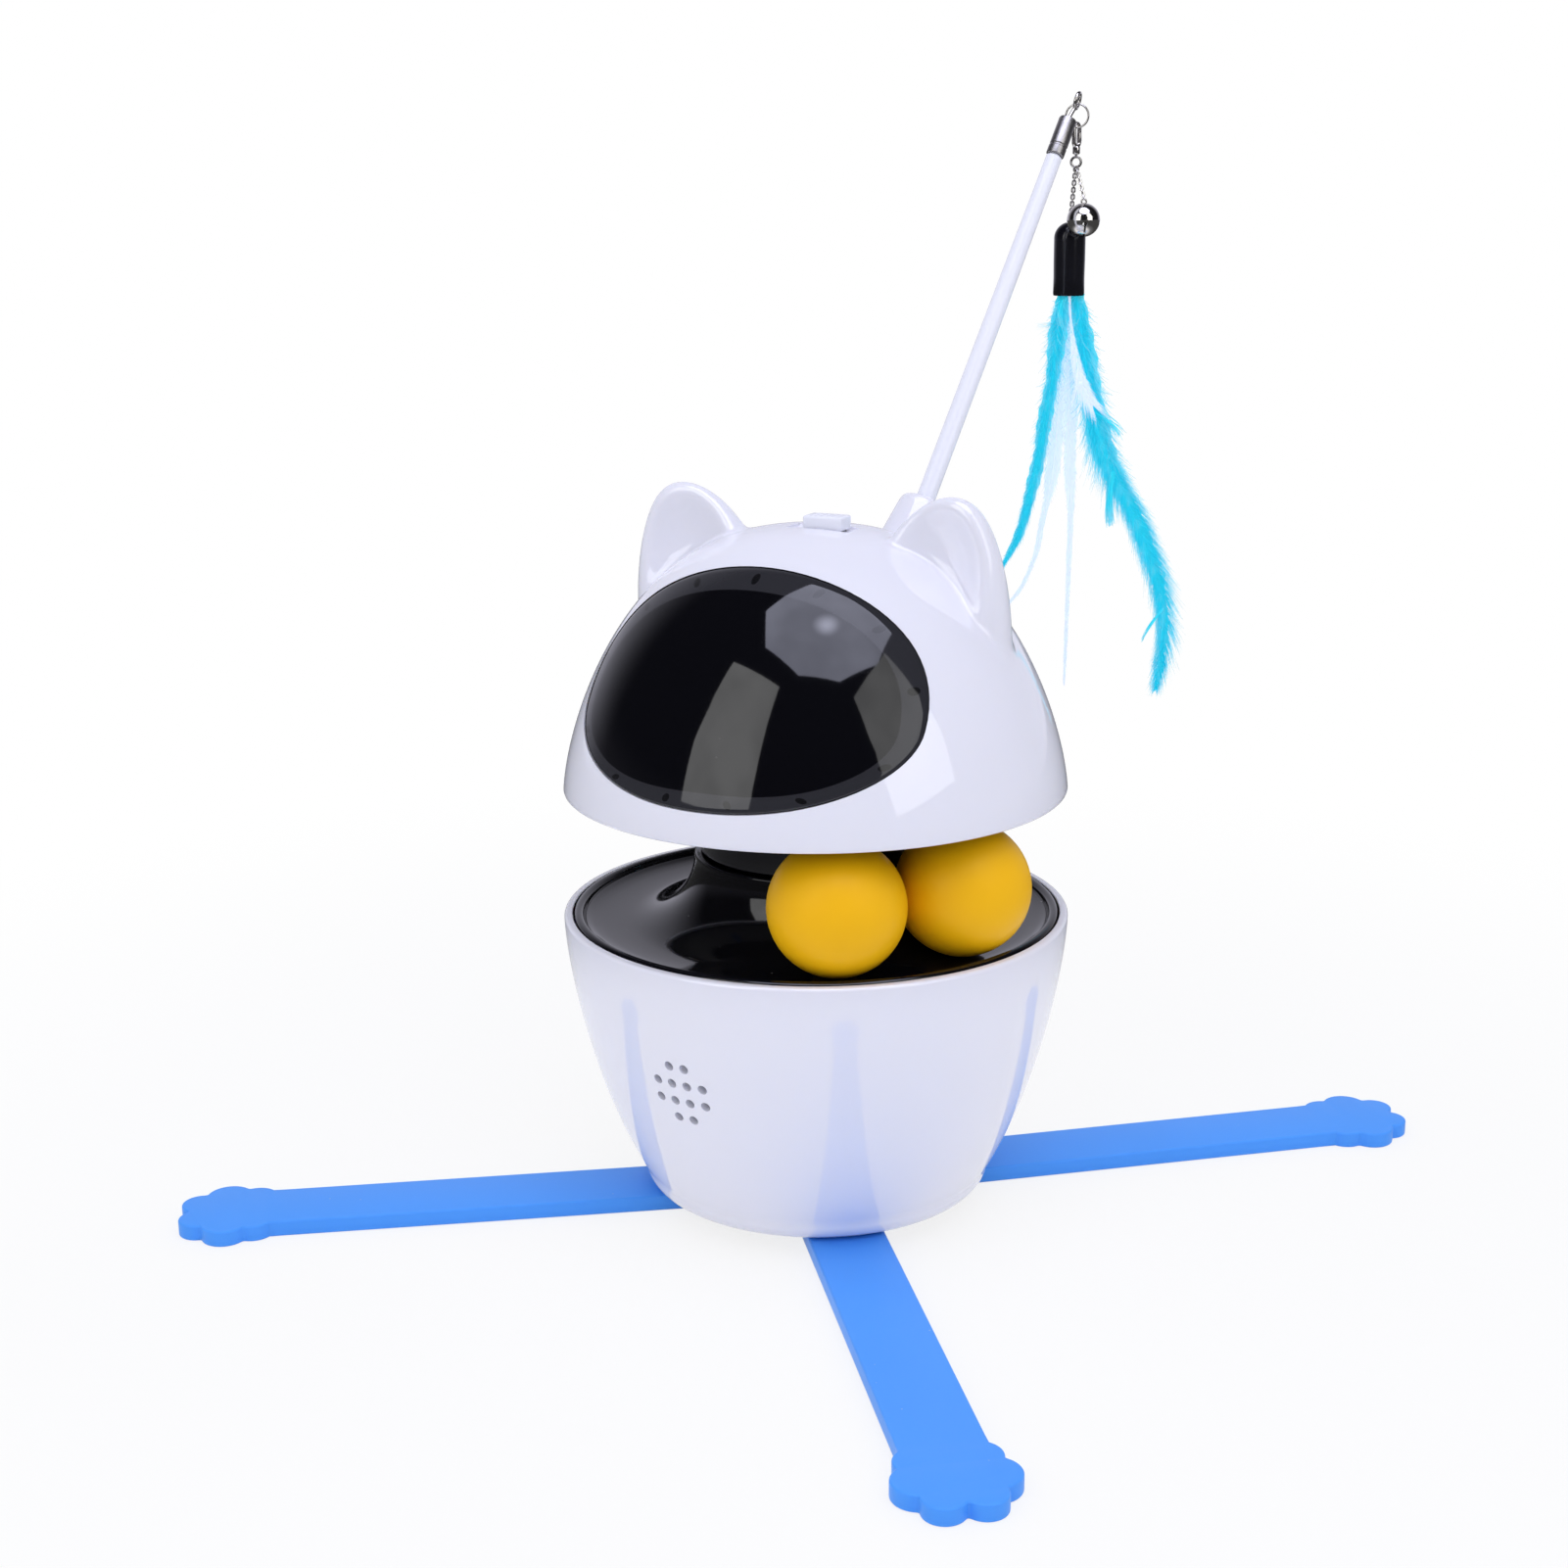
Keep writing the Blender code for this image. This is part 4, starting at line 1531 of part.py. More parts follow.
def make_head():
    """Everything that turns with the head, on its empties."""
    head_axis = joint_axis("head_axis", (0.0, 0.0, HEAD_Z))
    make_head_shell()
    make_visor()
    make_visor_retainer()
    make_head_base()
    make_head_shaft()
    low = head_base_levels()[0] - SEAT_GAP - SCREW_HEAD_HEIGHT
    for index, angle in enumerate(HEAD_POST_ANGLES):
        make_screw(f"head_screw_{index + 1}", low, polar(HEAD_POST_CIRCLE, angle - 90.0), FACE)
    make_switch()
    make_laser()
    for name in ("head_shell", "visor", "visor_retainer", "head_base", "head_shaft", "head_gear", "switch_board",
                 "laser_bracket", "tilt_motor", "head_screw_1", "head_screw_2", "head_screw_3"):
        hang(bpy.data.objects[name], head_axis)
    knob_axis = joint_axis("switch_axis", FACE @ Vector((SWITCH_X, 0.0, switch_floor())), head_axis)
    hang(bpy.data.objects["switch_knob"], knob_axis)
    tilt_axis = joint_axis("tilt_axis", FACE @ Vector(LASER_PIVOT), head_axis)
    hang(bpy.data.objects["laser_cradle"], tilt_axis)
    hang(bpy.data.objects["laser_module"], tilt_axis)
    pinion_y, pinion_z = tilt_pinion_place()
    pinion_axis = joint_axis("tilt_pinion_axis", FACE @ Vector((0.0, pinion_y, pinion_z)), head_axis)
    hang(bpy.data.objects["tilt_pinion"], pinion_axis)
    return head_axis


def make_wand_and_lure(head_axis):
    """Wand in its socket, and the hanging lure with an empty at each joint."""
    make_wand()
    levels = lure_levels()
    make_split_ring(levels)
    make_clasp(levels)
    make_swivel(levels)
    make_lure(levels)
    wand_axis = joint_axis("wand_axis", wand_frame().translation, head_axis)
    ring_axis = joint_axis("ring_axis", levels["pivot"], wand_axis)
    clasp_axis = joint_axis("clasp_axis", levels["ring_foot"], ring_axis)
    swivel_axis = joint_axis("swivel_axis", levels["swivel"], clasp_axis)
    bell_axis = joint_axis("bell_axis", levels["foot"], swivel_axis)
    groups = {wand_axis: ("wand_rod", "wand_ferrule", "wand_eye"), ring_axis: ("split_ring",),
              clasp_axis: ("clasp",), bell_axis: ("chain_bell", "bell"),
              swivel_axis: ("swivel_ring", "chain_sleeve", "feather_sleeve", *FEATHER_SHARES)}
    for axis, names in groups.items():
        for name in names:
            hang(bpy.data.objects[name], axis)


def main():
    """Build the whole toy."""
    clear_scene()
    make_lower_half()
    make_drive_gears()
    head_axis = make_head()
    make_wand_and_lure(head_axis)
    idler_axis = joint_axis("idler_axis", (*idler_place(), HEAD_GEAR_Z))
    hang(bpy.data.objects["idler_gear"], idler_axis)
    motor_axis = joint_axis("motor_axis", (*motor_place(), BIG_IDLER_Z))
    hang(bpy.data.objects["drive_pinion"], motor_axis)
    for name in BALL_NAMES:
        make_ball(name)
        hang(bpy.data.objects[name], joint_axis(name + "_axis", (0.0, 0.0, TRACK_BOTTOM_Z)))


main()
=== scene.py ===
"""Automatic cat toy: ball track in a bowl, turning head with ears and visor, feather wand and silicone straps."""

import math

import bpy
import numpy as np
from mathutils import Matrix, Vector


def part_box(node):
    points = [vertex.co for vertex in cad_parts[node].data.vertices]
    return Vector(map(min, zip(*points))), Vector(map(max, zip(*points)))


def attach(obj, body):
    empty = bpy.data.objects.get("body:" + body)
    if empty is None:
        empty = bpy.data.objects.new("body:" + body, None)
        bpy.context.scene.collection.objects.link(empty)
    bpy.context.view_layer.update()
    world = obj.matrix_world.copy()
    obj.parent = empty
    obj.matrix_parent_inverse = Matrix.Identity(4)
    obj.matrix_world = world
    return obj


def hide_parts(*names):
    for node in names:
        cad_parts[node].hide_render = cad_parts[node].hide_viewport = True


bl_info = {
    "name": "Automatic cat toy",
    "version": (1, 0, 0),
    "blender": (4, 5, 0),
    "location": "View3D > Sidebar > Cat toy",
    "description": "Dresses the packed model of an automatic cat toy with finished pieces, finishes and a studio",
    "category": "Object",
}

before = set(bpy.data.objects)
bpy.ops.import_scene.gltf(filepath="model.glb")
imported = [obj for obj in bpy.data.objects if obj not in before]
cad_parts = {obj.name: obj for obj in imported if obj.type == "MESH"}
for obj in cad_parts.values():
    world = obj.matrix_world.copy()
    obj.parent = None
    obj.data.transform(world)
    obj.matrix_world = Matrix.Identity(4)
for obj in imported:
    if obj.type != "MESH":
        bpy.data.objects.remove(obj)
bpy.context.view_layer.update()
MM = 0.001
FINISHES = {}


# Properties


def length(name, description, default):
    """Property for a size in metres."""
    return bpy.props.FloatProperty(name=name, description=description, default=default, min=0.0,
                                   unit="LENGTH", subtype="DISTANCE", precision=5)


def amount(name, description, default):
    """Property for a plain number."""
    return bpy.props.FloatProperty(name=name, description=description, default=default, min=0.0, max=10.0)


def angle(name, description, default):
    """Property for an angle given in degrees."""
    return bpy.props.FloatProperty(name=name, description=description, default=math.radians(default),
                                   unit="ROTATION", subtype="ANGLE")


def colour(name, description, default):
    """Property for a linear colour."""
    return bpy.props.FloatVectorProperty(name=name, description=description, default=default, size=3,
                                         min=0.0, max=1.0, subtype="COLOR")


class CatToyBaseSizes(bpy.types.PropertyGroup):
    """Sizes of the bowl, the track, the balls and the straps."""

    bowl_radius: length("Bowl radius", "Outer radius at the widest place", 0.0640)
    bowl_wide_z: length("Widest height", "Height of the widest place above the floor", 0.0767)
    bowl_drop: length("Bowl drop", "Height over which the bowl's curve would close", 0.0959)
    bowl_wall: length("Bowl wall", "Thickness of the moulded bowl", 0.0022)
    foot_z: length("Foot height", "Height of the bowl's foot, on the straps", 0.00445)
    foot_round: length("Foot rounding", "Radius of the bowl's lower edge", 0.0050)
    track_radius: length("Track radius", "Radius of the balls' circle", 0.0479)
    track_low: length("Track floor", "Height of the track's lowest line", 0.0751)
    track_arc: length("Flare radius", "Radius of the curve from the track up to the neck", 0.0172)
    lip_radius: length("Lip radius", "Outer radius of the tray's bead", 0.0616)
    lip_width: length("Lip width", "Width of the tray's bead", 0.0026)
    lip_top: length("Lip height", "Top of the tray's bead", 0.0781)
    hole_radius: length("Speaker hole", "Radius of a speaker hole", 0.00125)
    hole_pitch_x: length("Hole pitch across", "Spacing of the holes in a row", 0.00435)
    hole_pitch_z: length("Hole pitch up", "Spacing of the rows", 0.0049)
    strap_width: length("Strap width", "Width of a silicone strap", 0.0194)
    strap_thickness: length("Strap thickness", "Thickness of a silicone strap", 0.00415)
    strap_edge: length("Strap edge", "Rounding of a strap's edges", 0.0007)
    paw_size: length("Paw size", "Size of the paw at a strap's tip", 0.0260)


class CatToyHeadSizes(bpy.types.PropertyGroup):
    """Sizes of the head, its ears, its visor and the wand's boss."""

    face_turn: angle("Face turn", "Turn of the face from straight ahead", -26.0)
    head_z: length("Head height", "Height of the head's lower rim", 0.1094)
    radius: length("Head radius", "Outer radius of the dome", 0.0632)
    height: length("Dome height", "Height of the dome above its rim", 0.0653)
    wall: length("Head wall", "Thickness of the moulded head", 0.0022)
    ear_base: length("Ear base", "Height where the ears begin", 0.1500)
    ear_height: length("Ear height", "Height of an ear above its base", 0.0337)
    ear_centre: length("Ear spacing", "Distance of an ear's middle from the face's middle", 0.0328)
    ear_lean: length("Ear lean", "Outward lean of an ear's tip", 0.0036)
    ear_half_width: length("Ear half width", "Half the width of an ear at its base", 0.0178)
    ear_half_depth: length("Ear half depth", "Half the depth of an ear at its base", 0.0092)
    blend: length("Blend", "Softness of the fillets round the ears and the boss", 0.0008)
    visor_half_width: length("Visor half width", "Half the width of the visor", 0.0448)
    visor_z: length("Visor height", "Height of the visor's widest line", 0.1351)
    visor_up: length("Visor rise", "Height of the visor above its widest line", 0.0338)
    visor_down: length("Visor fall", "Depth of the visor below its widest line", 0.0178)
    visor_gap: length("Visor gap", "Gap round the visor", 0.0003)
    visor_thickness: length("Visor thickness", "Thickness of the visor", 0.0020)


class CatToyLureSizes(bpy.types.PropertyGroup):
    """Sizes of the wand, its hardware and the feathers."""

    rod_radius: length("Rod radius", "Radius of the wand at its foot", 0.00245)
    rod_tip: length("Rod tip radius", "Radius of the wand at its tip", 0.0021)
    rod_length: length("Rod length", "Length of the wand above its boss", 0.0970)
    ferrule_radius: length("Ferrule radius", "Radius of the metal ferrule", 0.0024)
    ring_radius: length("Split ring radius", "Radius of the split ring's middle line", 0.0030)
    bell_radius: length("Bell radius", "Outer radius of the bell", 0.00435)
    sleeve_radius: length("Sleeve radius", "Outer radius of the feather sleeve", 0.0042)
    sleeve_length: length("Sleeve length", "Length of the feather sleeve", 0.0189)
    feather_length: length("Feather length", "Length that the feathers' routes are shares of", 0.1120)
    barb_width: length("Barb width", "Width of a feather barb at its root", 0.0005)


class CatToyFinishes(bpy.types.PropertyGroup):
    """Colours of the finishes."""

    white_shell: colour("White moulding", "Head and bowl", (0.85, 0.85, 0.94))
    black_track: colour("Black moulding", "Track and neck", (0.0045, 0.0045, 0.0065))
    # The visor's colour is the smoke tint together with painted shade of the unlit inside of the head; the frame's
    # colour is a painted view of the frame, seen dimly through the smoke.
    smoke_visor: colour("Visor", "Smoke tinted window", (0.0030, 0.0030, 0.0045))
    visor_frame: colour("Visor frame", "Frame that shows through the visor's edge", (0.027, 0.027, 0.032))
    blue_silicone: colour("Silicone", "Straps and paws", (0.075, 0.345, 1.0))
    yellow_plastic: colour("Balls", "Track balls", (0.95, 0.51, 0.004))
    white_rod: colour("Rod", "Wand", (0.86, 0.87, 0.96))
    nickel: colour("Nickel", "Rings, clasp, chains and bell", (0.80, 0.77, 0.74))
    steel: colour("Steel", "Ferrule and screws", (0.56, 0.54, 0.53))
    black_rubber: colour("Sleeve", "Feather sleeve", (0.005, 0.005, 0.008))
    blue_feather: colour("Blue feather", "Dyed feathers", (0.030, 0.74, 0.90))
    white_feather: colour("White feather", "Pale feathers", (0.78, 0.86, 0.98))


class CatToyStudio(bpy.types.PropertyGroup):
    """Camera and light."""

    distance: length("Distance", "Distance of the camera in front of the toy", 0.5616)
    height: length("Camera height", "Height of the camera", 0.2573)
    lens: bpy.props.FloatProperty(name="Lens", description="Focal length on a 36 mm sensor", default=52.88,
                                  min=10.0, unit="CAMERA")
    pitch: angle("Pitch", "Downward tilt of the camera", 14.756)
    yaw: angle("Yaw", "Turn of the camera to its left", -0.803)
    roll: angle("Roll", "Roll of the camera", -0.451)
    sky: amount("Sky", "Strength of the even light", 0.81)
    octagon: amount("Octagon", "Strength of the eight-sided softbox", 2.6)
    strip: amount("Strip", "Strength of the strip softbox", 1.2)
    panel: amount("Panel", "Strength of the panel softbox", 1.05)


GROUPS = {"cat_toy_base": CatToyBaseSizes, "cat_toy_head": CatToyHeadSizes, "cat_toy_lure": CatToyLureSizes,
          "cat_toy_finishes": CatToyFinishes, "cat_toy_studio": CatToyStudio}


# Modelling helpers


def focus(item):
    """Leaves one object selected and active, in object mode."""
    if bpy.context.object and bpy.context.object.mode != "OBJECT":
        bpy.ops.object.mode_set(mode="OBJECT")
    bpy.ops.object.select_all(action="DESELECT")
    item.select_set(True)
    bpy.context.view_layer.objects.active = item
    return item


def put(name, data):
    """New object of some data, in the scene."""
    item = bpy.data.objects.new(name, data)
    bpy.context.scene.collection.objects.link(item)
    return item


def primitive(kind, name, **settings):
    """One of the stock meshes, named."""
    bpy.ops.object.select_all(action="DESELECT")
    getattr(bpy.ops.mesh, f"primitive_{kind}_add")(**settings)
    item = bpy.context.object
    item.name = name
    return item


def edit_all(item, *steps):
    """Runs mesh operators with their settings on the whole of a mesh."""
    focus(item)
    bpy.ops.object.mode_set(mode="EDIT")
    bpy.ops.mesh.select_all(action="SELECT")
    for operator, settings in steps:
        operator(**settings)
    bpy.ops.object.mode_set(mode="OBJECT")
    return item


def tidy(item, merge=1e-6):
    """Merges doubles and points every face outwards."""
    return edit_all(item, (bpy.ops.mesh.remove_doubles, {"threshold": merge}),
                    (bpy.ops.mesh.normals_make_consistent, {"inside": False}))


def settle(item, place=None):
    """Puts an object's place into its mesh, with the object left at the origin."""
    item.data.transform((place or Matrix.Identity(4)) @ item.matrix_basis)
    item.matrix_basis = Matrix.Identity(4)
    return item


def pick(item, kind, test):
    """Selects by place the faces or edges that pass a test, and opens edit mode on them."""
    focus(item)
    mesh = item.data
    for parts in (mesh.vertices, mesh.edges, mesh.polygons):
        parts.foreach_set("select", [False] * len(parts))
    bpy.context.tool_settings.mesh_select_mode = (False, kind == "EDGE", kind == "FACE")
    if kind == "FACE":
        for face in mesh.polygons:
            face.select = test(face.center)
    else:
        for edge in mesh.edges:
            ends = [mesh.vertices[index] for index in edge.vertices]
            if test(ends[0].co, ends[1].co):
                edge.select = ends[0].select = ends[1].select = True
    bpy.ops.object.mode_set(mode="EDIT")


def round_edges(item, radius, segments, test=lambda a, b: True, clamp=False):
    """Rounds the edges whose two ends pass a test."""
    pick(item, "EDGE", test)
    bpy.ops.mesh.bevel(offset=radius, segments=segments, affect="EDGES", clamp_overlap=clamp)
    return tidy(item)


def reshape(item, rule):
    """Moves every vertex of a mesh by a rule on its place."""
    for vertex in item.data.vertices:
        vertex.co = rule(vertex.co)
    item.data.update()
    return item


def revolve(name, profile, steps, place=None):
    """Body turned from a profile of (radius, height) points about Z."""
    mesh = bpy.data.meshes.new(name)
    links = [(index, index + 1) for index in range(len(profile) - 1)]
    if profile[0][0] > 0.0 or profile[-1][0] > 0.0:
        links.append((len(profile) - 1, 0))
    mesh.from_pydata([(radius, 0.0, z) for radius, z in profile], links, [])
    item = put(name, mesh)
    spin = {"steps": steps, "angle": math.tau, "center": (0.0, 0.0, 0.0), "axis": (0.0, 0.0, 1.0)}
    tidy(edit_all(item, (bpy.ops.mesh.spin, spin)))
    return settle(item, place)


def prism(name, outline, low, high):
    """Straight body drawn from a closed outline in X and Y, extruded along Z."""
    item = primitive("circle", name, vertices=len(outline), radius=1.0, fill_type="NGON")
    for vertex, (x, y) in zip(item.data.vertices, outline):
        vertex.co = (x, y, low)
    rise = {"TRANSFORM_OT_translate": {"value": (0.0, 0.0, high - low)}}
    return tidy(edit_all(item, (bpy.ops.mesh.extrude_region_move, rise)))


def block(name, size, centre, edge=0.0, segments=3):
    """Box of a size at a place, with rounded edges."""
    item = primitive("cube", name, size=1.0, location=centre)
    item.scale = size
    settle(item)
    return round_edges(item, edge, segments) if edge else item


def modify(item, kind, **settings):
    """Adds a modifier with its settings and applies it."""
    modifier = item.modifiers.new(kind.lower(), kind)
    for key, value in settings.items():
        setattr(modifier, key, value)
    focus(item)
    bpy.ops.object.modifier_apply(modifier=modifier.name)
    return item


def cut(item, tool):
    """Cuts one closed body out of another and uses it up."""
    modify(item, "BOOLEAN", operation="DIFFERENCE", object=tool, solver="EXACT")
    bpy.data.objects.remove(tool)
    if not item.data.polygons:
        raise RuntimeError(f"{item.name} lost its faces")
    return item


def join(item, *others):
    """Joins several meshes into the first."""
    focus(item)
    for other in others:
        other.select_set(True)
    bpy.ops.object.join()
    return item


def wire(name, points, radius, cyclic=False, sides=4, radii=None):
    """Round wire along a route, as a mesh."""
    curve = bpy.data.curves.new(name, "CURVE")
    curve.dimensions = "3D"
    curve.bevel_depth = radius
    curve.bevel_resolution = sides
    curve.use_fill_caps = True
    spline = curve.splines.new("POLY")
    spline.points.add(len(points) - 1)
    for index, point in enumerate(points):
        spline.points[index].co = (*point, 1.0)
        if radii:
            spline.points[index].radius = radii[index]
    spline.use_cyclic_u = cyclic
    focus(put(name, curve))
    bpy.ops.object.convert(target="MESH")
    return tidy(bpy.context.object, 1e-7)


def complete(item, body, finish, solid, smooth=60.0):
    """Shades a finished piece, gives it its finish and its body, and hides the CAD solid it stands for."""
    focus(item)
    bpy.ops.object.shade_smooth_by_angle(angle=math.radians(smooth))
    item.data.materials.clear()
    item.data.materials.append(FINISHES[finish])
    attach(item, body)
    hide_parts(solid)


def turned(degrees, axis="Z"):
    """Rotation about an axis."""
    return Matrix.Rotation(math.radians(degrees), 4, axis)


def at(place):
    """Translation to a place."""
    return Matrix.Translation(place)


def spot(x, y, z):
    """Place given in millimetres."""
    return Vector((x * MM, y * MM, z * MM))


def near(radius, height, *steps):
    """Profile points, at steps in millimetres from a radius and a height."""
    return [(radius + across * MM, height + up * MM) for across, up in steps]


def arc(centre, radius, start, end, steps):
    """Points along an arc in a profile, angles in degrees."""
    turns = [math.radians(start + (end - start) * index / steps) for index in range(steps + 1)]
    return [(centre[0] + radius * math.cos(turn), centre[1] + radius * math.sin(turn)) for turn in turns]


def through(values, count):
    """Smooth curve through a list of numbers or points, sampled evenly."""
    knots = np.array(values, float)
    last = len(knots) - 1
    places = np.minimum(np.linspace(0.0, last, count), last - 1e-9)
    index = places.astype(int)
    share = places - index
    share = share.reshape(-1, *([1] * (knots.ndim - 1)))
    a, b, c, d = (knots[np.clip(index + step, 0, last)] for step in (-1, 0, 1, 2))
    square, cube = (2 * a - 5 * b + 4 * c - d) * share**2, (3 * b - a - 3 * c + d) * share**3
    return b + (c - a) * share / 2 + square / 2 + cube / 2


# Shader node groups


def feed(tree, sockets, values):
    """Feeds sockets, by name or number, from other sockets or plain values."""
    for key, value in dict(values).items():
        if isinstance(value, bpy.types.NodeSocket):
            tree.links.new(value, sockets[key])
        else:
            sockets[key].default_value = value


def node(tree, kind, values=(), **settings):
    """Shader node of a kind with its settings and the values it is fed, as its outputs."""
    made = tree.nodes.new(f"ShaderNode{kind}")
    for key, value in settings.items():
        setattr(made, key, value)
    feed(tree, made.inputs, values)
    return made.outputs


def compute(tree, operation, *values, clamp=False):
    """Math node on sockets and plain values."""
    return node(tree, "Math", enumerate(values), operation=operation, use_clamp=clamp)[0]


def times(tree, *values):
    """Product of two values."""
    return compute(tree, "MULTIPLY", *values)


def plus(tree, *values, clamp=False):
    """Sum of two values."""
    return compute(tree, "ADD", *values, clamp=clamp)


def minus(tree, *values):
    """Difference of two values."""
    return compute(tree, "SUBTRACT", *values)


def remap(tree, value, low, high, start=0.0, end=1.0):
    """Smooth step of a value between two limits."""
    return node(tree, "MapRange", enumerate((value, low, high, start, end)), interpolation_type="SMOOTHSTEP")[0]


def blend_colour(tree, share, first, second):
    """Mix of two colours."""
    return node(tree, "Mix", {"Factor": share, 6: first, 7: second}, data_type="RGBA")[2]


def noise(tree, vector, scale, detail=2.0, stretch=None):
    """Noise pattern at a number of features a metre, stretched by a vector."""
    if stretch:
        vector = node(tree, "Mapping", {"Vector": vector, "Scale": stretch})[0]
    return node(tree, "TexNoise", {"Vector": vector, "Scale": scale, "Detail": detail})["Fac"]


def ripple(tree, height, distance, strength=1.0):
    """Normal that follows a height."""
    return node(tree, "Bump", {"Height": height, "Distance": distance, "Strength": strength})["Normal"]


GREY = (0.8, 0.8, 0.8, 1.0)
WHITE = (1.0, 1.0, 1.0, 1.0)
DUST = (0.75, 0.74, 0.72, 1.0)


def new_group(name, inputs, outputs):
    """Shader node group. A default of None makes a vector socket, a tuple a colour and a number a value."""
    tree = bpy.data.node_groups.new(name, "ShaderNodeTree")
    for label, default in inputs.items():
        kind = "Vector" if default is None else "Color" if isinstance(default, tuple) else "Float"
        socket = tree.interface.new_socket(name=label, in_out="INPUT", socket_type=f"NodeSocket{kind}")
        if default is not None:
            socket.default_value = default
    for label in outputs:
        kind = "Color" if label == "Colour" else "Float"
        tree.interface.new_socket(name=label, in_out="OUTPUT", socket_type=f"NodeSocket{kind}")
    return tree, tree.nodes.new("NodeGroupInput").outputs, tree.nodes.new("NodeGroupOutput").inputs


def moulded_surface():
    """Cloudy tint, fine grain and uneven gloss of a moulded or cast surface."""
    tree, given, made = new_group("Moulded surface", {
        "Vector": None, "Colour": GREY, "Tint": GREY, "Tint Amount": 0.3, "Roughness": 0.3, "Unevenness": 0.05,
        "Cloud Scale": 35.0, "Grain Scale": 1500.0}, ("Colour", "Roughness", "Height"))
    cloud = noise(tree, given["Vector"], given["Cloud Scale"], 3.0)
    grain = noise(tree, given["Vector"], given["Grain Scale"])
    share = times(tree, remap(tree, cloud, 0.35, 0.70), given["Tint Amount"])
    sway, speck = (times(tree, minus(tree, pattern, 0.5), given["Unevenness"]) for pattern in (cloud, grain))
    rough = plus(tree, given["Roughness"], plus(tree, sway, speck))
    feed(tree, made, {"Colour": blend_colour(tree, share, given["Colour"], given["Tint"]),
                      "Roughness": compute(tree, "MAXIMUM", rough, 0.02),
                      "Height": plus(tree, times(tree, cloud, 0.6), times(tree, grain, 0.4))})
    return tree


def handling_marks():
    """Fine hairline scratches and finger haze that dull the gloss."""
    tree, given, made = new_group("Handling marks", {
        "Vector": None, "Colour": GREY, "Mark Colour": GREY, "Amount": 0.2, "Roughness": 0.3},
        ("Colour", "Roughness"))
    hairs = []
    for scale, stretch, width in ((120.0, (1.0, 14.0, 3.0), 0.006), (90.0, (11.0, 1.0, 5.0), 0.005)):
        pattern = noise(tree, given["Vector"], scale, 1.0, stretch)
        hairs.append(remap(tree, compute(tree, "ABSOLUTE", minus(tree, pattern, 0.5)), 0.0, width, 1.0, 0.0))
    where = remap(tree, noise(tree, given["Vector"], 22.0), 0.52, 0.75)
    marks = times(tree, times(tree, plus(tree, *hairs, clamp=True), where), given["Amount"])
    haze = times(tree, where, times(tree, given["Amount"], 0.25))
    rise = plus(tree, times(tree, marks, 0.25), times(tree, haze, 0.3))
    share = times(tree, marks, 0.5)
    feed(tree, made, {"Colour": blend_colour(tree, share, given["Colour"], given["Mark Colour"]),
                      "Roughness": plus(tree, given["Roughness"], rise)})
    return tree


def settled_dust():
    """Sparse dust specks on upward faces."""
    tree, given, made = new_group("Settled dust", {
        "Vector": None, "Normal": None, "Colour": GREY, "Dust Colour": DUST, "Amount": 0.2, "Roughness": 0.3},
        ("Colour", "Roughness"))
    cells = node(tree, "TexVoronoi", {"Vector": given["Vector"], "Scale": 260.0})["Distance"]
    speck = remap(tree, cells, 0.03, 0.07, 1.0, 0.0)
    thin = remap(tree, noise(tree, given["Vector"], 420.0), 0.60, 0.66)
    up = remap(tree, node(tree, "SeparateXYZ", {0: given["Normal"]})[2], 0.1, 0.8)
    share = times(tree, times(tree, speck, thin), times(tree, up, given["Amount"]))
    feed(tree, made, {"Colour": blend_colour(tree, share, given["Colour"], given["Dust Colour"]),
                      "Roughness": plus(tree, given["Roughness"], times(tree, share, 0.4))})
    return tree


def drawn_metal():
    """Fine lines and stains of drawn, turned or plated metal."""
    tree, given, made = new_group("Drawn metal", {
        "Vector": None, "Colour": GREY, "Stain": GREY, "Stain Amount": 0.2, "Roughness": 0.25,
        "Line Scale": 900.0}, ("Colour", "Roughness", "Height"))
    lines = noise(tree, given["Vector"], given["Line Scale"], 2.0, (1.0, 1.0, 0.12))
    patch = remap(tree, noise(tree, given["Vector"], 380.0, 3.0), 0.45, 0.75)
    share = times(tree, patch, given["Stain Amount"])
    sway = times(tree, minus(tree, lines, 0.5), 0.16)
    rough = plus(tree, given["Roughness"], plus(tree, sway, times(tree, share, 0.15)))
    feed(tree, made, {"Colour": blend_colour(tree, share, given["Colour"], given["Stain"]),
                      "Roughness": compute(tree, "MAXIMUM", rough, 0.03), "Height": lines})
    return tree


def feather_barbs():
    """Dye streaks along a feather and paler, thinner barb tips. U runs out along a barb, V down the feather."""
    tree, given, made = new_group("Feather barbs", {
        "UV": None, "Vector": None, "Colour": GREY, "Tip Colour": GREY, "Tip Amount": 0.5, "Streaks": 0.3},
        ("Colour", "Roughness", "Height", "Alpha"))
    out = node(tree, "SeparateXYZ", {0: given["UV"]})[0]
    streak = noise(tree, given["Vector"], 260.0, 3.0, (2.2, 1.0, 0.7))
    pale = times(tree, remap(tree, out, 0.30, 1.0), given["Tip Amount"])
    share = plus(tree, pale, times(tree, minus(tree, streak, 0.5), given["Streaks"]), clamp=True)
    feed(tree, made, {"Colour": blend_colour(tree, share, given["Colour"], given["Tip Colour"]),
                      "Roughness": plus(tree, 0.62, times(tree, streak, 0.2)),
                      "Height": noise(tree, given["Vector"], 2600.0),
                      "Alpha": remap(tree, out, 0.55, 1.0, 1.0, 0.45)})
    return tree


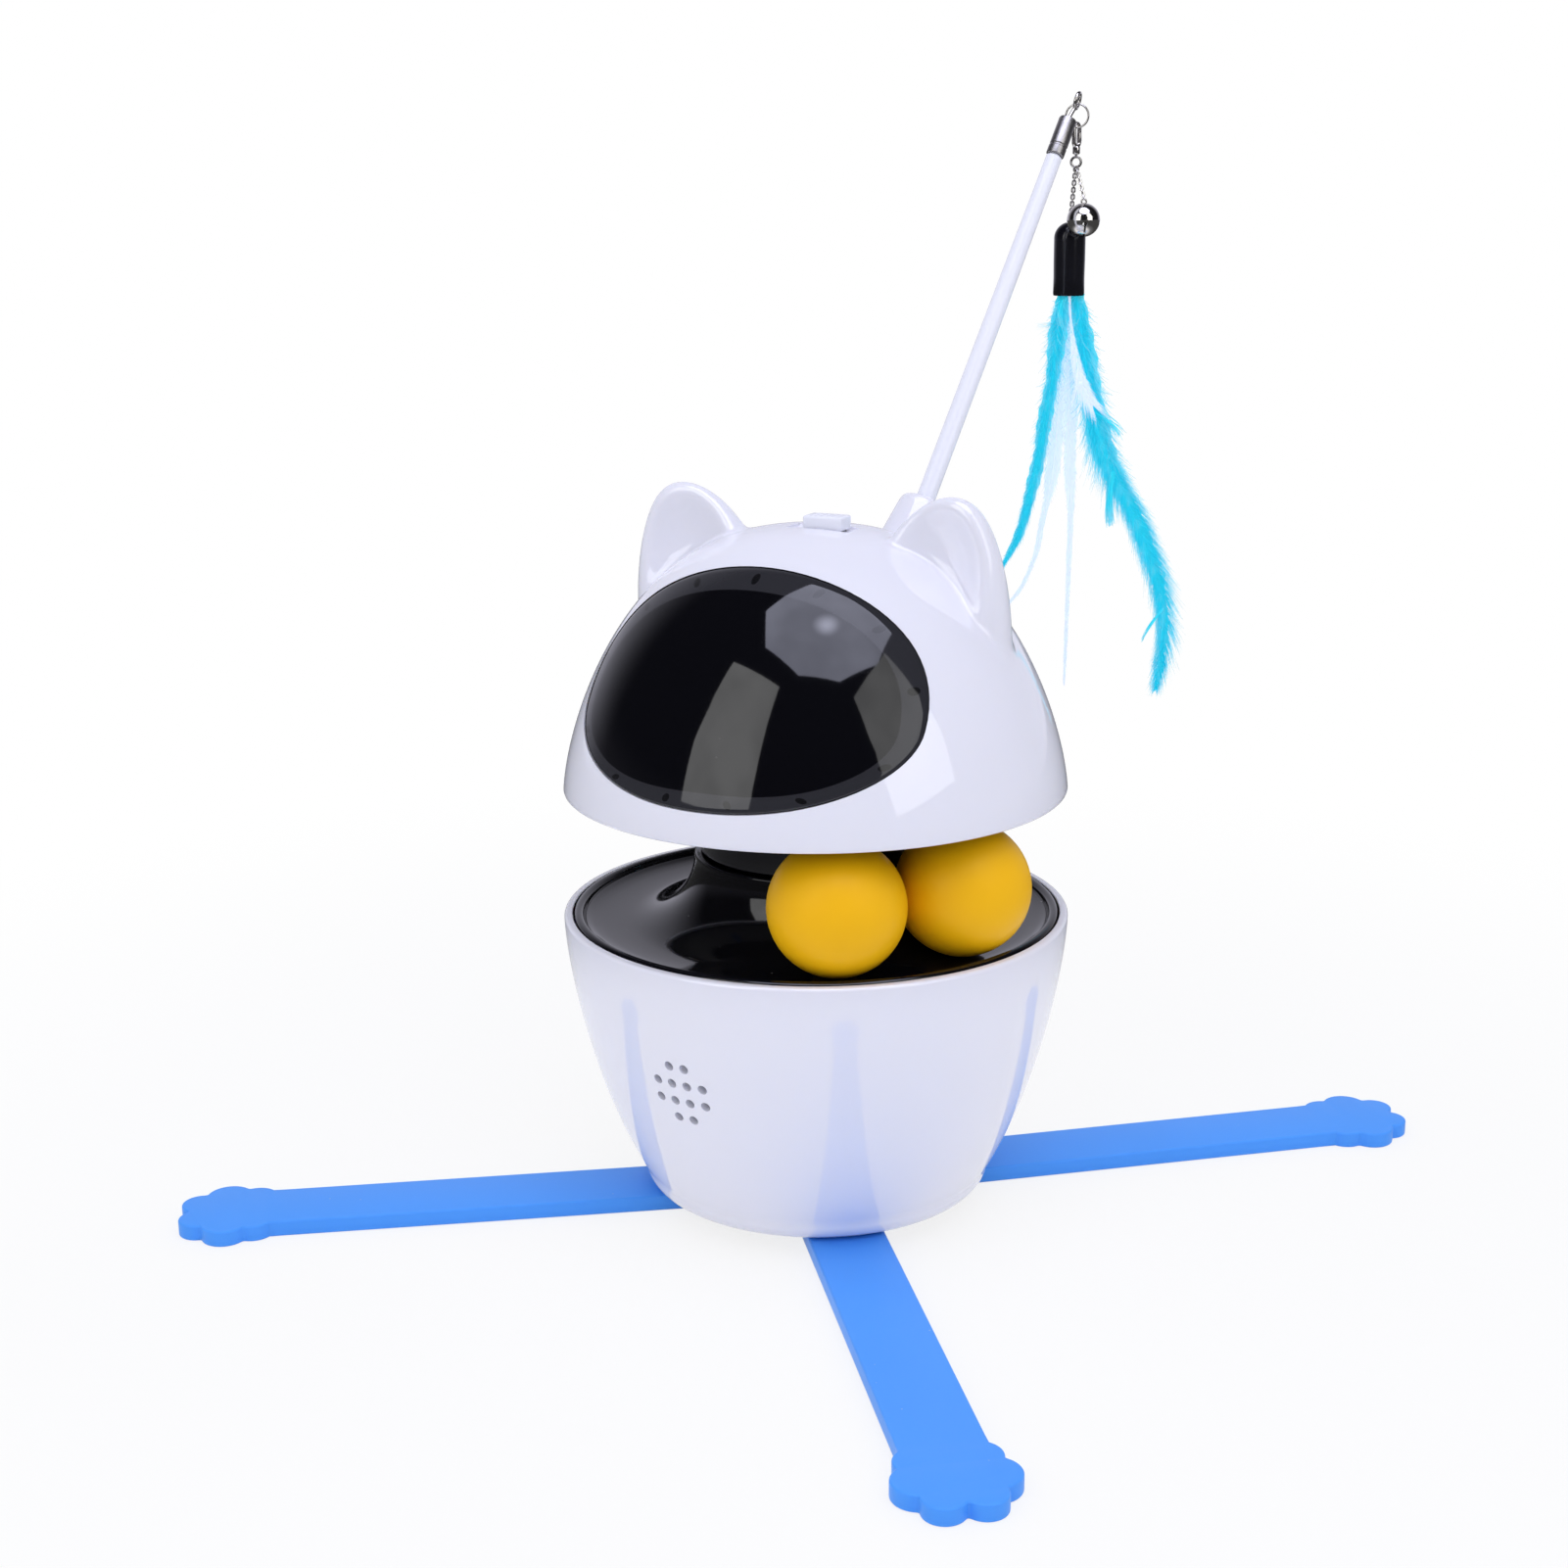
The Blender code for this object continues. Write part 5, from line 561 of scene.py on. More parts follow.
def edge_band():
    """Mask of a band along a window's edge with small round stakes in it. U is the distance from the edge in
    band widths, V the run along the edge in stake spacings."""
    tree, given, made = new_group("Edge band", {"UV": None, "Stake Radius": 0.22}, ("Band", "Stakes"))
    inwards, run, _ = node(tree, "SeparateXYZ", {0: given["UV"]})
    along = times(tree, minus(tree, compute(tree, "FRACT", run), 0.5), 4.3)
    across = minus(tree, inwards, 0.48)
    reach = compute(tree, "SQRT", plus(tree, times(tree, along, along), times(tree, across, across)))
    edge = plus(tree, given["Stake Radius"], 0.05)
    feed(tree, made, {"Band": remap(tree, inwards, 0.97, 1.03, 1.0, 0.0),
                      "Stakes": remap(tree, reach, given["Stake Radius"], edge, 1.0, 0.0)})
    return tree


def shaded(value, factor=1.0):
    """Colour times a factor, as an RGBA value."""
    return (*(min(1.0, part * factor) for part in value[:3]), 1.0)


def new_material(title):
    """Material with its tree and its usual shader."""
    material = bpy.data.materials.new(title)
    material.use_nodes = True
    return material, material.node_tree, material.node_tree.nodes["Principled BSDF"]


def new_finish(title, groups, value, rough, metal=0.0, grain=1500.0, cloud=35.0, tint=0.25, tint_factor=0.93,
               uneven=0.06, bump=0.00002, marks=0.25, dust=0.2, lines=None, subsurface=0.0, specular=0.5):
    """Material of one finish from the shared groups."""
    material, tree, shader = new_material(title)
    where = node(tree, "TexCoord")
    given = {"Vector": where["Object"], "Colour": shaded(value), "Roughness": rough}
    if lines:
        surface = node(tree, "Group", {**given, "Stain": shaded(value, 0.6), "Stain Amount": tint,
                                       "Line Scale": lines}, node_tree=groups["metal"])
    else:
        surface = node(tree, "Group", {**given, "Tint": shaded(value, tint_factor), "Tint Amount": tint,
                                       "Unevenness": uneven, "Cloud Scale": cloud, "Grain Scale": grain},
                       node_tree=groups["moulded"])
    worn = node(tree, "Group", {
        "Vector": where["Object"], "Colour": surface["Colour"], "Mark Colour": shaded(value, 0.75),
        "Amount": marks, "Roughness": surface["Roughness"]}, node_tree=groups["marks"])
    dusty = node(tree, "Group", {
        "Vector": where["Object"], "Normal": where["Normal"], "Colour": worn["Colour"], "Amount": dust,
        "Roughness": worn["Roughness"]}, node_tree=groups["dust"])
    feed(tree, shader.inputs, {
        "Normal": ripple(tree, surface["Height"], bump, 0.6), "Base Color": dusty["Colour"],
        "Roughness": dusty["Roughness"], "Metallic": metal, "Specular IOR Level": specular})
    if subsurface:
        feed(tree, shader.inputs, {"Subsurface Weight": subsurface, "Subsurface Radius": (1.0, 0.8, 0.6),
                                   "Subsurface Scale": 0.0015})
    material.diffuse_color = shaded(value)
    return material


def visor_finish(groups, colours):
    """Opaque smoke window. Its near-black colour is the tint together with painted shade of the unlit head behind
    it, and a painted view of its frame and stakes runs along the edge.
    """
    material = new_finish("smoke tinted window", groups, colours.smoke_visor, 0.045, grain=900.0, tint=0.1,
                          uneven=0.01, bump=0.000002, marks=0.12, dust=0.25, specular=0.55)
    tree = material.node_tree
    surface = tree.nodes["Principled BSDF"].inputs["Base Color"]
    # Painted view through the window's edge: the frame behind it as a lighter band, with its stakes darker in it.
    band = node(tree, "Group", {"UV": node(tree, "UVMap", uv_map="edge")["UV"]}, node_tree=groups["band"])
    rim = blend_colour(tree, band["Stakes"], shaded(colours.visor_frame), shaded(colours.visor_frame, 0.25))
    window = surface.links[0].from_socket
    tree.links.new(blend_colour(tree, band["Band"], window, rim), surface)
    return material


def feather_finish(title, groups, value, tip, tip_amount, streaks, glow):
    """Feather material that follows the barbs, with a painted glow in the barbs' colour that stands in for light
    passing through the thin barbs.
    """
    material, tree, shader = new_material(title)
    barbs = node(tree, "Group", {
        "UV": node(tree, "UVMap", uv_map="barbs")["UV"], "Vector": node(tree, "TexCoord")["Object"],
        "Colour": shaded(value), "Tip Colour": tip, "Tip Amount": tip_amount, "Streaks": streaks},
        node_tree=groups["barbs"])
    # Emission in the barbs' own colour is painted light: a glow standing for light that passes through the thin
    # barbs.
    feed(tree, shader.inputs, {
        "Normal": ripple(tree, barbs["Height"], 0.00003), "Base Color": barbs["Colour"],
        "Roughness": barbs["Roughness"], "Alpha": barbs["Alpha"], "Emission Color": barbs["Colour"],
        "Emission Strength": glow, "Subsurface Weight": 0.35, "Subsurface Radius": (0.4, 1.0, 1.0),
        "Subsurface Scale": 0.0012, "Specular IOR Level": 0.15})
    return material


def make_finishes(colours):
    """Every finish, under the name of its material slot."""
    groups = {"moulded": moulded_surface(), "marks": handling_marks(), "dust": settled_dust(),
              "metal": drawn_metal(), "barbs": feather_barbs(), "band": edge_band()}

    def finish(key, title, rough, value=None, **settings):
        """Adds a finish in a colour of its own or in the one of its name."""
        FINISHES[key] = new_finish(title, groups, value or getattr(colours, key), rough, **settings)

    finish("white_shell", "glossy white moulding", 0.05, cloud=14.0, tint=0.35, tint_factor=0.975, uneven=0.012,
           bump=0.000003, marks=0.10, dust=0.10, subsurface=0.08, grain=500.0, specular=0.85)
    finish("black_track", "polished black moulding", 0.07, cloud=20.0, uneven=0.02, bump=0.000004, marks=0.30,
           dust=0.35, grain=600.0)
    finish("dark_plastic", "matt dark moulding", 0.5, (0.05, 0.05, 0.06), bump=0.00004)
    finish("blue_silicone", "satin silicone", 0.42, cloud=18.0, tint=0.5, tint_factor=0.94, marks=0.08, dust=0.45,
           subsurface=0.12, specular=0.3)
    finish("yellow_plastic", "satin ball moulding", 0.40, cloud=60.0, tint=0.4, tint_factor=0.95, bump=0.000012,
           marks=0.12, dust=0.15, subsurface=0.15, grain=900.0, specular=0.2)
    finish("white_rod", "drawn white rod", 0.24, cloud=60.0, tint=0.1, bump=0.000003, marks=0.05)
    finish("grey_plastic", "matt grey moulding", 0.55, (0.30, 0.31, 0.33), bump=0.00004)
    finish("nylon", "natural gear nylon", 0.48, (0.78, 0.76, 0.68), subsurface=0.1)
    finish("steel", "drawn steel", 0.38, metal=1.0, lines=1400.0)
    finish("nickel", "bright nickel plating", 0.13, metal=1.0, lines=900.0, tint=0.12, bump=0.000004, marks=0.15,
           dust=0.05)
    finish("bronze", "sintered bronze", 0.40, (0.50, 0.34, 0.16), metal=1.0, lines=2200.0)
    finish("brass", "turned brass", 0.24, (0.72, 0.52, 0.20), metal=1.0, lines=1600.0)
    finish("green_board", "coated circuit board", 0.38, (0.02, 0.20, 0.09), grain=2500.0, tint=0.6,
           tint_factor=0.6)
    finish("cell_wrap", "blue shrink wrap", 0.30, (0.06, 0.20, 0.45), cloud=80.0, bump=0.00005)
    finish("black_rubber", "glossy black sleeve", 0.16, cloud=200.0, bump=0.00001, marks=0.3)
    FINISHES["smoke_visor"] = visor_finish(groups, colours)
    # The last number of each feather finish is the strength of its painted glow, standing for light through the
    # barbs.
    FINISHES["blue_feather"] = feather_finish("dyed blue feather", groups, colours.blue_feather,
                                              (0.45, 0.86, 0.97, 1.0), 0.8, 0.9, 0.14)
    FINISHES["white_feather"] = feather_finish("pale feather", groups, colours.white_feather,
                                               (0.86, 0.91, 1.0, 1.0), 0.6, 0.5, 0.20)
    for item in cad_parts.values():
        for holder in item.material_slots:
            holder.material = FINISHES[holder.material.name.split(".")[0]]


# Base


STRAP_LAYS = {"front": (280.7, 162.2), "right": (13.5, 166.4), "rear": (101.0, 163.4), "left": (188.7, 163.9)}
PLUG_REACH = 20.0 * MM
PAW_PADS = ((0.19, 0.165, 0.190), (0.45, 0.31, 0.225), (0.72, 0.25, 0.205), (0.55, 0.0, 0.40))
BALL_RADIUS = 16.6 * MM
BALL_HEIGHT = 92.0 * MM
BALL_AZIMUTHS = {"1": 5.9, "2": 47.4}
GRILLE_HEIGHT, GRILLE_TURN = 46.0 * MM, -33.3


def bowl_curve(sizes, z, inset=0.0):
    """Outer radius of the bowl at a height, less an inset."""
    drop = min(max(sizes.bowl_wide_z - z, 0.0) / sizes.bowl_drop, 1.0)
    return sizes.bowl_radius * (1.0 - drop**1.485) ** (1.0 / 2.497) - inset


def grille_frame(sizes):
    """Frame on the bowl's wall in the middle of the speaker holes, Z outwards."""
    z, step = GRILLE_HEIGHT, 4.9 * MM
    slope = (bowl_curve(sizes, z + step) - bowl_curve(sizes, z - step)) / (2 * step)
    lean = Matrix.Rotation(math.pi / 2 + math.atan(slope), 4, "X")
    return turned(GRILLE_TURN) @ at((0.0, -bowl_curve(sizes, z), z)) @ lean


def build_bowl(sizes):
    """Bowl with its rounded foot and rim, the speaker holes and the charging mouth."""
    foot, wide, rise = sizes.foot_z, sizes.bowl_wide_z, 0.9 * MM
    ledge, base_top = wide - 6.7 * MM, foot + 5.0 * MM
    corner = (bowl_curve(sizes, foot + sizes.foot_round) - sizes.foot_round, foot + sizes.foot_round)
    heights = [corner[1] + (wide - corner[1]) * index / 40 for index in range(1, 41)]
    down = [ledge + (base_top - ledge) * index / 24 for index in range(25)]
    seat = sizes.lip_radius + 0.3 * MM
    profile = arc(corner, sizes.foot_round, -90.0, 0.0, 10)
    profile += [(bowl_curve(sizes, z), z) for z in heights]
    profile += arc((sizes.bowl_radius - rise, wide), rise, 10.0, 90.0, 6)
    profile += near(seat, wide + rise, (0.2, 0.0), (0.0, -0.2)) + [(seat, wide)]
    profile.append((bowl_curve(sizes, ledge, sizes.bowl_wall), ledge))
    profile += [(bowl_curve(sizes, z, sizes.bowl_wall + 0.01 * MM), z) for z in down]
    profile += near(0.0, foot, (30.0, 4.7), (30.0, 2.7), (36.0, 2.7), (36.0, 0.3), (36.3, 0.0))
    bowl = revolve("bowl", profile, 160)
    holes = []
    for row, count in enumerate((2, 4, 4, 2)):
        for column in range(count):
            place = ((column - (count - 1) / 2) * sizes.hole_pitch_x, (1.5 - row) * sizes.hole_pitch_z, 0.0)
            hole = primitive("cylinder", "hole", vertices=28, radius=sizes.hole_radius, depth=9.0 * MM,
                             location=place)
            holes.append(settle(hole, grille_frame(sizes)))
    cut(bowl, join(*holes))
    low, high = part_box("charge_socket")
    mouth_z = (low.z + high.z) / 2
    cut(bowl, block("mouth", spot(9.6, 12.0, 3.9), (0.0, bowl_curve(sizes, mouth_z), mouth_z), 1.2 * MM, 4))
    complete(bowl, "base", "white_shell", "lower_shell", 38.0)


def build_tray(sizes):
    """Polished track with its bead, floor, flare, collar and hub."""
    flare_z, lip_top, track = sizes.track_low + sizes.track_arc, sizes.lip_top, sizes.track_radius
    collar, roof = track - sizes.track_arc, flare_z + 0.6 * MM
    bead, inner = sizes.lip_width / 2, sizes.lip_radius - sizes.lip_width
    low = sizes.bowl_wide_z - 6.4 * MM
    skirt = bowl_curve(sizes, low, 2.5 * MM)
    profile = [(skirt, low), (sizes.lip_radius, sizes.bowl_wide_z - 0.2 * MM)]
    profile += arc((sizes.lip_radius - bead, lip_top - bead), bead, 0.0, 175.0, 14)
    profile += near(inner, lip_top, (-0.05, -1.5), (-0.25, -1.75), (-0.55, -1.62), (-0.9, -1.75))
    profile += near(inner, sizes.track_low, (-1.4, 1.0), (-2.6, 0.62), (-5.0, 0.25))
    profile += near(track, sizes.track_low, (2.0, 0.0))
    profile += arc((track, flare_z), sizes.track_arc, 270.0, 180.0, 36)
    profile += near(collar, roof, (-0.05, -0.3), (-0.35, 0.0)) + near(0.0, roof, (9.5, 0.0), (9.5, -2.2))
    profile += near(collar, roof, (-2.2, -2.2))
    profile += arc((track, flare_z), sizes.track_arc + 2.2 * MM, 180.0, 270.0, 18)
    profile += [(skirt - 2.0 * MM, sizes.track_low - 2.0 * MM), (skirt - 2.0 * MM, low)]
    hub = revolve("hub", near(0.0, roof, (7.3, -25.0), (10.0, -25.0), (10.0, -0.5), (7.3, -0.5)), 48)
    complete(join(revolve("ball_track", profile, 192), hub), "base", "black_track", "track_tray", 40.0)


def paw_outline(sizes, reach):
    """Outline of a strap along +X with the scalloped paw at its tip."""
    pads = [(reach - back * sizes.paw_size, sign * side * sizes.paw_size, radius * sizes.paw_size)
            for back, side, radius in PAW_PADS for sign in ((-1, 1) if side else (1,))]
    palm = reach - 0.55 * sizes.paw_size
    half = sizes.strap_width / 2
    rim = []
    for index in range(241):
        turn = math.radians(-150.0 + 300.0 * index / 240)
        ray = (math.cos(turn), math.sin(turn))
        best = 0.0
        for x, y, radius in pads:
            along = (x - palm) * ray[0] + y * ray[1]
            inside = radius**2 - (x - palm) ** 2 - y**2 + along**2
            if inside > 0.0:
                best = max(best, along + math.sqrt(inside))
        rim.append((palm + ray[0] * best, ray[1] * best))
    line = np.array([point for point in rim if abs(point[1]) > half or point[0] > palm])
    for _ in range(3):
        line[1:-1] = (line[:-2] + 2 * line[1:-1] + line[2:]) / 4
    start, end = line[0][0], line[-1][0]
    before = near(start, -half, (-5.0, 0.0), (-2.5, -0.02))
    after = near(end, half, (-2.5, 0.02), (-5.0, 0.0))
    return [*near(0.0, -half, (13.6, 0.0)), *before, *map(tuple, line), *after, *near(0.0, half, (13.6, 0.0))]


def build_straps(sizes):
    """Four silicone straps with rounded edges, scalloped paws and the plugs under the base plate."""
    top = sizes.strap_thickness

    def outer(a, b):
        """Whether an edge runs round the top or the bottom."""
        return abs(a.z - b.z) < 1e-6 and (a.z < 1e-6 or a.z > top - 1e-6)

    for side, (turn, reach) in STRAP_LAYS.items():
        strap = prism(f"silicone_strap_{side}", paw_outline(sizes, reach * MM), 0.0, top)
        round_edges(strap, sizes.strap_edge, 4, outer, True)
        plug = [(0.0, top / 2), (3.5 * MM, top / 2)] + near(0.0, 0.0, (3.5, 7.15), (4.8, 7.15))
        plug += arc((4.2 * MM, 8.05 * MM), 0.6 * MM, 0.0, 90.0, 4) + near(0.0, 0.0, (0.0, 8.65))
        join(strap, revolve("plug", plug, 32, at((PLUG_REACH, 0.0, 0.0))))
        settle(strap, turned(turn))
        complete(strap, "base", "blue_silicone", f"strap_{side}", 50.0)


def build_balls(sizes):
    """Two track balls, each blown out from a cube, with a faint moulding line."""
    for name, azimuth in BALL_AZIMUTHS.items():
        centre = turned(azimuth - 90.0) @ Vector((sizes.track_radius, 0.0, BALL_HEIGHT))
        ball = primitive("cube", f"track_ball_{name}", size=2.0)
        modify(ball, "SUBSURF", subdivision_type="SIMPLE", levels=6, render_levels=6)
        tilt = turned(24.0, "X") @ turned(azimuth, "Y")

        def rounded(point):
            """Place on the sphere, a hair lower along the moulding line."""
            out = Vector(math.sin(part * math.pi / 4) / math.sin(math.pi / 4) for part in point).normalized()
            line = math.exp(-((out.z / 0.012) ** 2)) * 0.03 * MM
            return centre + tilt @ (out * (BALL_RADIUS - line))

        complete(reshape(ball, rounded), f"rolling_ball_{name}", "yellow_plastic", f"ball_{name}", 80.0)


# Head


SCOOP_RADII = (17.0 * MM, 12.5 * MM, 24.0 * MM)
DOME_POWERS = (2.58, 1.47)
EAR_POWERS = (2.3, 2.1, 2.6)
EAR_SET_BACK = 2.6 * MM
PROBE = 2e-5
BAND_WIDTH = 4.2 * MM
STAKE_SPACING = 18.0 * MM
WAND_LEAN = turned(45.0) @ turned(30.0, "Y")
WAND_FRAME = at(spot(28.496, 28.496, 177.0)) @ WAND_LEAN


def face_turn(sizes):
    """Turn from the face's frame, which looks along -Y, to the toy's frame."""
    return Matrix.Rotation(sizes.face_turn, 4, "Z")


def dome_share(height_share):
    """Radius of the dome as a share of its full radius, at a share of its height."""
    return (1.0 - min(max(height_share, 0.0), 1.0) ** DOME_POWERS[1]) ** (1.0 / DOME_POWERS[0])


def dome_profile(sizes, inset, levels):
    """Profile of the dome below its surface by an inset, from the axis outwards and down to the rim."""
    radius, height = sizes.radius - inset, sizes.height - inset
    points = [(0.0, sizes.head_z + height)]
    for index in range(1, levels + 1):
        share = math.cos(math.pi / 2 * index / levels)
        points.append((radius * dome_share(share), sizes.head_z + height * share))
    return points


def slopes(field, points, value):
    """Slope of a field along each axis, one column an axis."""
    return np.stack([(field(points + PROBE * axis) - value) / PROBE for axis in np.eye(3)], 1)


def as_distance(field, points):
    """Field turned into a distance near its surface."""
    value = field(points)
    return value / np.maximum(np.sqrt((slopes(field, points, value) ** 2).sum(1)), 1e-3)


def soft_least(distances, blend):
    """Smooth union of several distances."""
    stack = np.stack(distances)
    least = stack.min(0)
    return least - blend * np.log(np.exp(-(stack - least) / blend).sum(0))


def into(place, points):
    """Points seen from a frame."""
    turn = np.array(place.inverted())
    return points @ turn[:3, :3].T + turn[:3, 3]


def scoop_frame(side):
    """Frame of the egg that hollows an ear's front, in the face frame: tipped back, its foot outwards."""
    return at(spot(side * 34.8, -14.0, 163.0)) @ turned(-17.0, "X") @ turned(-12.0 * side, "Y")


def head_distance(sizes):
    """Distance to the head's outer form in the face frame: dome, ears with their scoops, and the wand's boss."""
    boss_frame = face_turn(sizes).inverted() @ WAND_FRAME
    out, up, back = EAR_POWERS

    def dome(p):
        reach = np.hypot(p[:, 0], p[:, 1]) / sizes.radius
        rise = np.maximum(p[:, 2] - sizes.head_z, 0.0) / sizes.height
        return reach ** DOME_POWERS[0] + rise ** DOME_POWERS[1] - 1.0

    def ear(side):
        def field(p):
            s = np.clip((p[:, 2] - sizes.ear_base) / sizes.ear_height, 0.0, 1.4)
            middle = sizes.ear_centre + sizes.ear_lean * s**3
            wide = np.abs(side * p[:, 0] - middle) / sizes.ear_half_width
            ratio = np.sqrt(np.maximum(1.0 - s**back, 1e-3) / np.maximum(1.0 - s**up, 1e-3 * up / back))
            ratio = np.where(s < 0.98, ratio, 1.1)
            deep = np.abs(p[:, 1] - EAR_SET_BACK * (1.0 - s)) / (sizes.ear_half_depth * ratio)
            return (wide**out + deep**out) ** (2.0 / out) + s**up - 1.0
        return field

    def scoop(side, p):
        q = into(scoop_frame(side), p)
        radii = np.array(SCOOP_RADII)
        first = np.sqrt(((q / radii) ** 2).sum(1))
        return first * (first - 1.0) / np.sqrt(((q / radii**2) ** 2).sum(1))

    def boss(p):
        q = into(boss_frame, p)
        radius = 6.2 * MM - (q[:, 2] + 1.6 * MM) * (2.0 / 13.4)
        side = (np.hypot(q[:, 0], q[:, 1]) - radius) * 0.989
        return -soft_least([-side, -q[:, 2]], 0.8 * MM)

    def whole(p):
        ears = [-soft_least([-as_distance(ear(side), p), scoop(side, p)], 1.2 * MM) for side in (-1, 1)]
        return soft_least([as_distance(dome, p), *ears, boss(p)], sizes.blend)

    return whole


def ear_blank(sizes, side):
    """Ear lobe shaped from a sphere, with its dish scooped out of the front."""
    out, up, back = EAR_POWERS
    bend = 2.0 / out

    def shape(point):
        share = max(point.z, 0.0)
        flat = math.hypot(point.x, point.y) or 1e-9
        x, y = point.x / flat, point.y / flat
        x = math.copysign(abs(x) ** bend, x) * sizes.ear_half_width * math.sqrt(1.0 - share**up)
        y = math.copysign(abs(y) ** bend, y) * sizes.ear_half_depth * math.sqrt(1.0 - share**back)
        fade = flat if point.z < 0.0 else 1.0
        centre = sizes.ear_centre + sizes.ear_lean * share**3
        low = sizes.ear_base + sizes.ear_height * share + min(point.z, 0.0) * 20.0 * MM
        return Vector((side * centre + x * fade, EAR_SET_BACK * (1.0 - share) + y * fade, low))

    ear = tidy(reshape(primitive("uv_sphere", "ear", segments=40, ring_count=24, radius=1.0), shape))
    dish = primitive("uv_sphere", "dish", segments=32, ring_count=20, radius=1.0)
    dish.scale = SCOOP_RADII
    return cut(ear, settle(dish, scoop_frame(side)))


def visor_outline(sizes, grow, count=96):
    """Oval of the visor in the face frame as (side, height) points, grown by an amount."""
    points = []
    for index in range(count):
        turn = math.tau * index / count
        side, rise = math.cos(turn), math.sin(turn)
        if rise < 0.0:
            side, rise = math.copysign(abs(side) ** (2.0 / 2.2), side), -abs(rise) ** (2.0 / 2.2)
        reach = (sizes.visor_up if rise > 0.0 else sizes.visor_down) + grow
        points.append(((sizes.visor_half_width + grow) * side, sizes.visor_z + reach * rise))
    return points


def draw_to(mesh, field, low):
    """Draws every vertex above a height onto a field's surface."""
    points = np.empty(len(mesh.vertices) * 3)
    mesh.vertices.foreach_get("co", points)
    points = points.reshape(-1, 3)
    above = points[:, 2] > low
    moving = points[above]
    for _ in range(4):
        gap = field(moving)
        slope = slopes(field, moving, gap)
        steep = np.maximum((slope**2).sum(1), 0.05)
        moving -= np.clip(gap / steep, -1.5 * MM, 1.5 * MM)[:, None] * slope
    points[above] = moving
    mesh.vertices.foreach_set("co", points.ravel())
    mesh.update()


def build_head(sizes):
    """White head in one blended form, then hollowed, with the visor's opening, the switch pocket and the bore."""
    face = face_turn(sizes)
    to_boss = face.inverted() @ WAND_FRAME
    rim, z, top = sizes.radius, sizes.head_z, sizes.head_z + sizes.height
    outer = dome_profile(sizes, 0.0, 40) + near(rim, z, (0.0, -5.0)) + near(0.0, z, (0.0, -5.0))
    head = revolve("head", outer, 128)
    boss = near(0.0, 0.0, (0.0, -15.0), (8.2, -15.0)) + arc((4.6 * MM, -1.6 * MM), 1.6 * MM, 0.0, 90.0, 6)
    stand = revolve("boss", boss + [(0.0, 0.0)], 48, to_boss)
    join(head, ear_blank(sizes, -1), ear_blank(sizes, 1), stand)
    modify(head, "REMESH", mode="VOXEL", voxel_size=0.8 * MM, adaptivity=0.0)
    draw_to(head.data, head_distance(sizes), z - 4.0 * MM)
    inner = dome_profile(sizes, sizes.wall, 36)[:-1]
    inner += near(rim, z, (-2.2, 0.5), (-2.05, 0.15), (-1.7, 0.0), (-0.9, 0.0), (-0.45, 0.12), (-0.15, 0.4),
                  (0.0, 0.8), (3.0, 0.85), (3.0, -8.0)) + near(0.0, z, (0.0, -8.0))
    cut(head, revolve("hollow", inner, 128))
    window = prism("window", visor_outline(sizes, 0.0), 3.0 * MM, sizes.radius + 5.0 * MM)
    cut(head, tidy(settle(window, turned(90.0, "X"))))
    floor = top - 0.9 * MM
    cut(head, block("pocket", spot(17.0, 7.6, 6.0), (2.4 * MM, 0.0, floor + 3.0 * MM), 0.5 * MM))
    cut(head, block("slot", spot(12.5, 3.6, 8.0), (2.4 * MM, 0.0, floor), 0.4 * MM))
    bore = near(0.0, 0.0, (0.0, -17.0), (2.75, -17.0), (2.75, -0.5), (3.3, 0.3), (3.3, 3.0), (0.0, 3.0))
    cut(head, revolve("bore", bore, 32, to_boss))
    complete(settle(head, face), "head", "white_shell", "head_shell", 34.0)


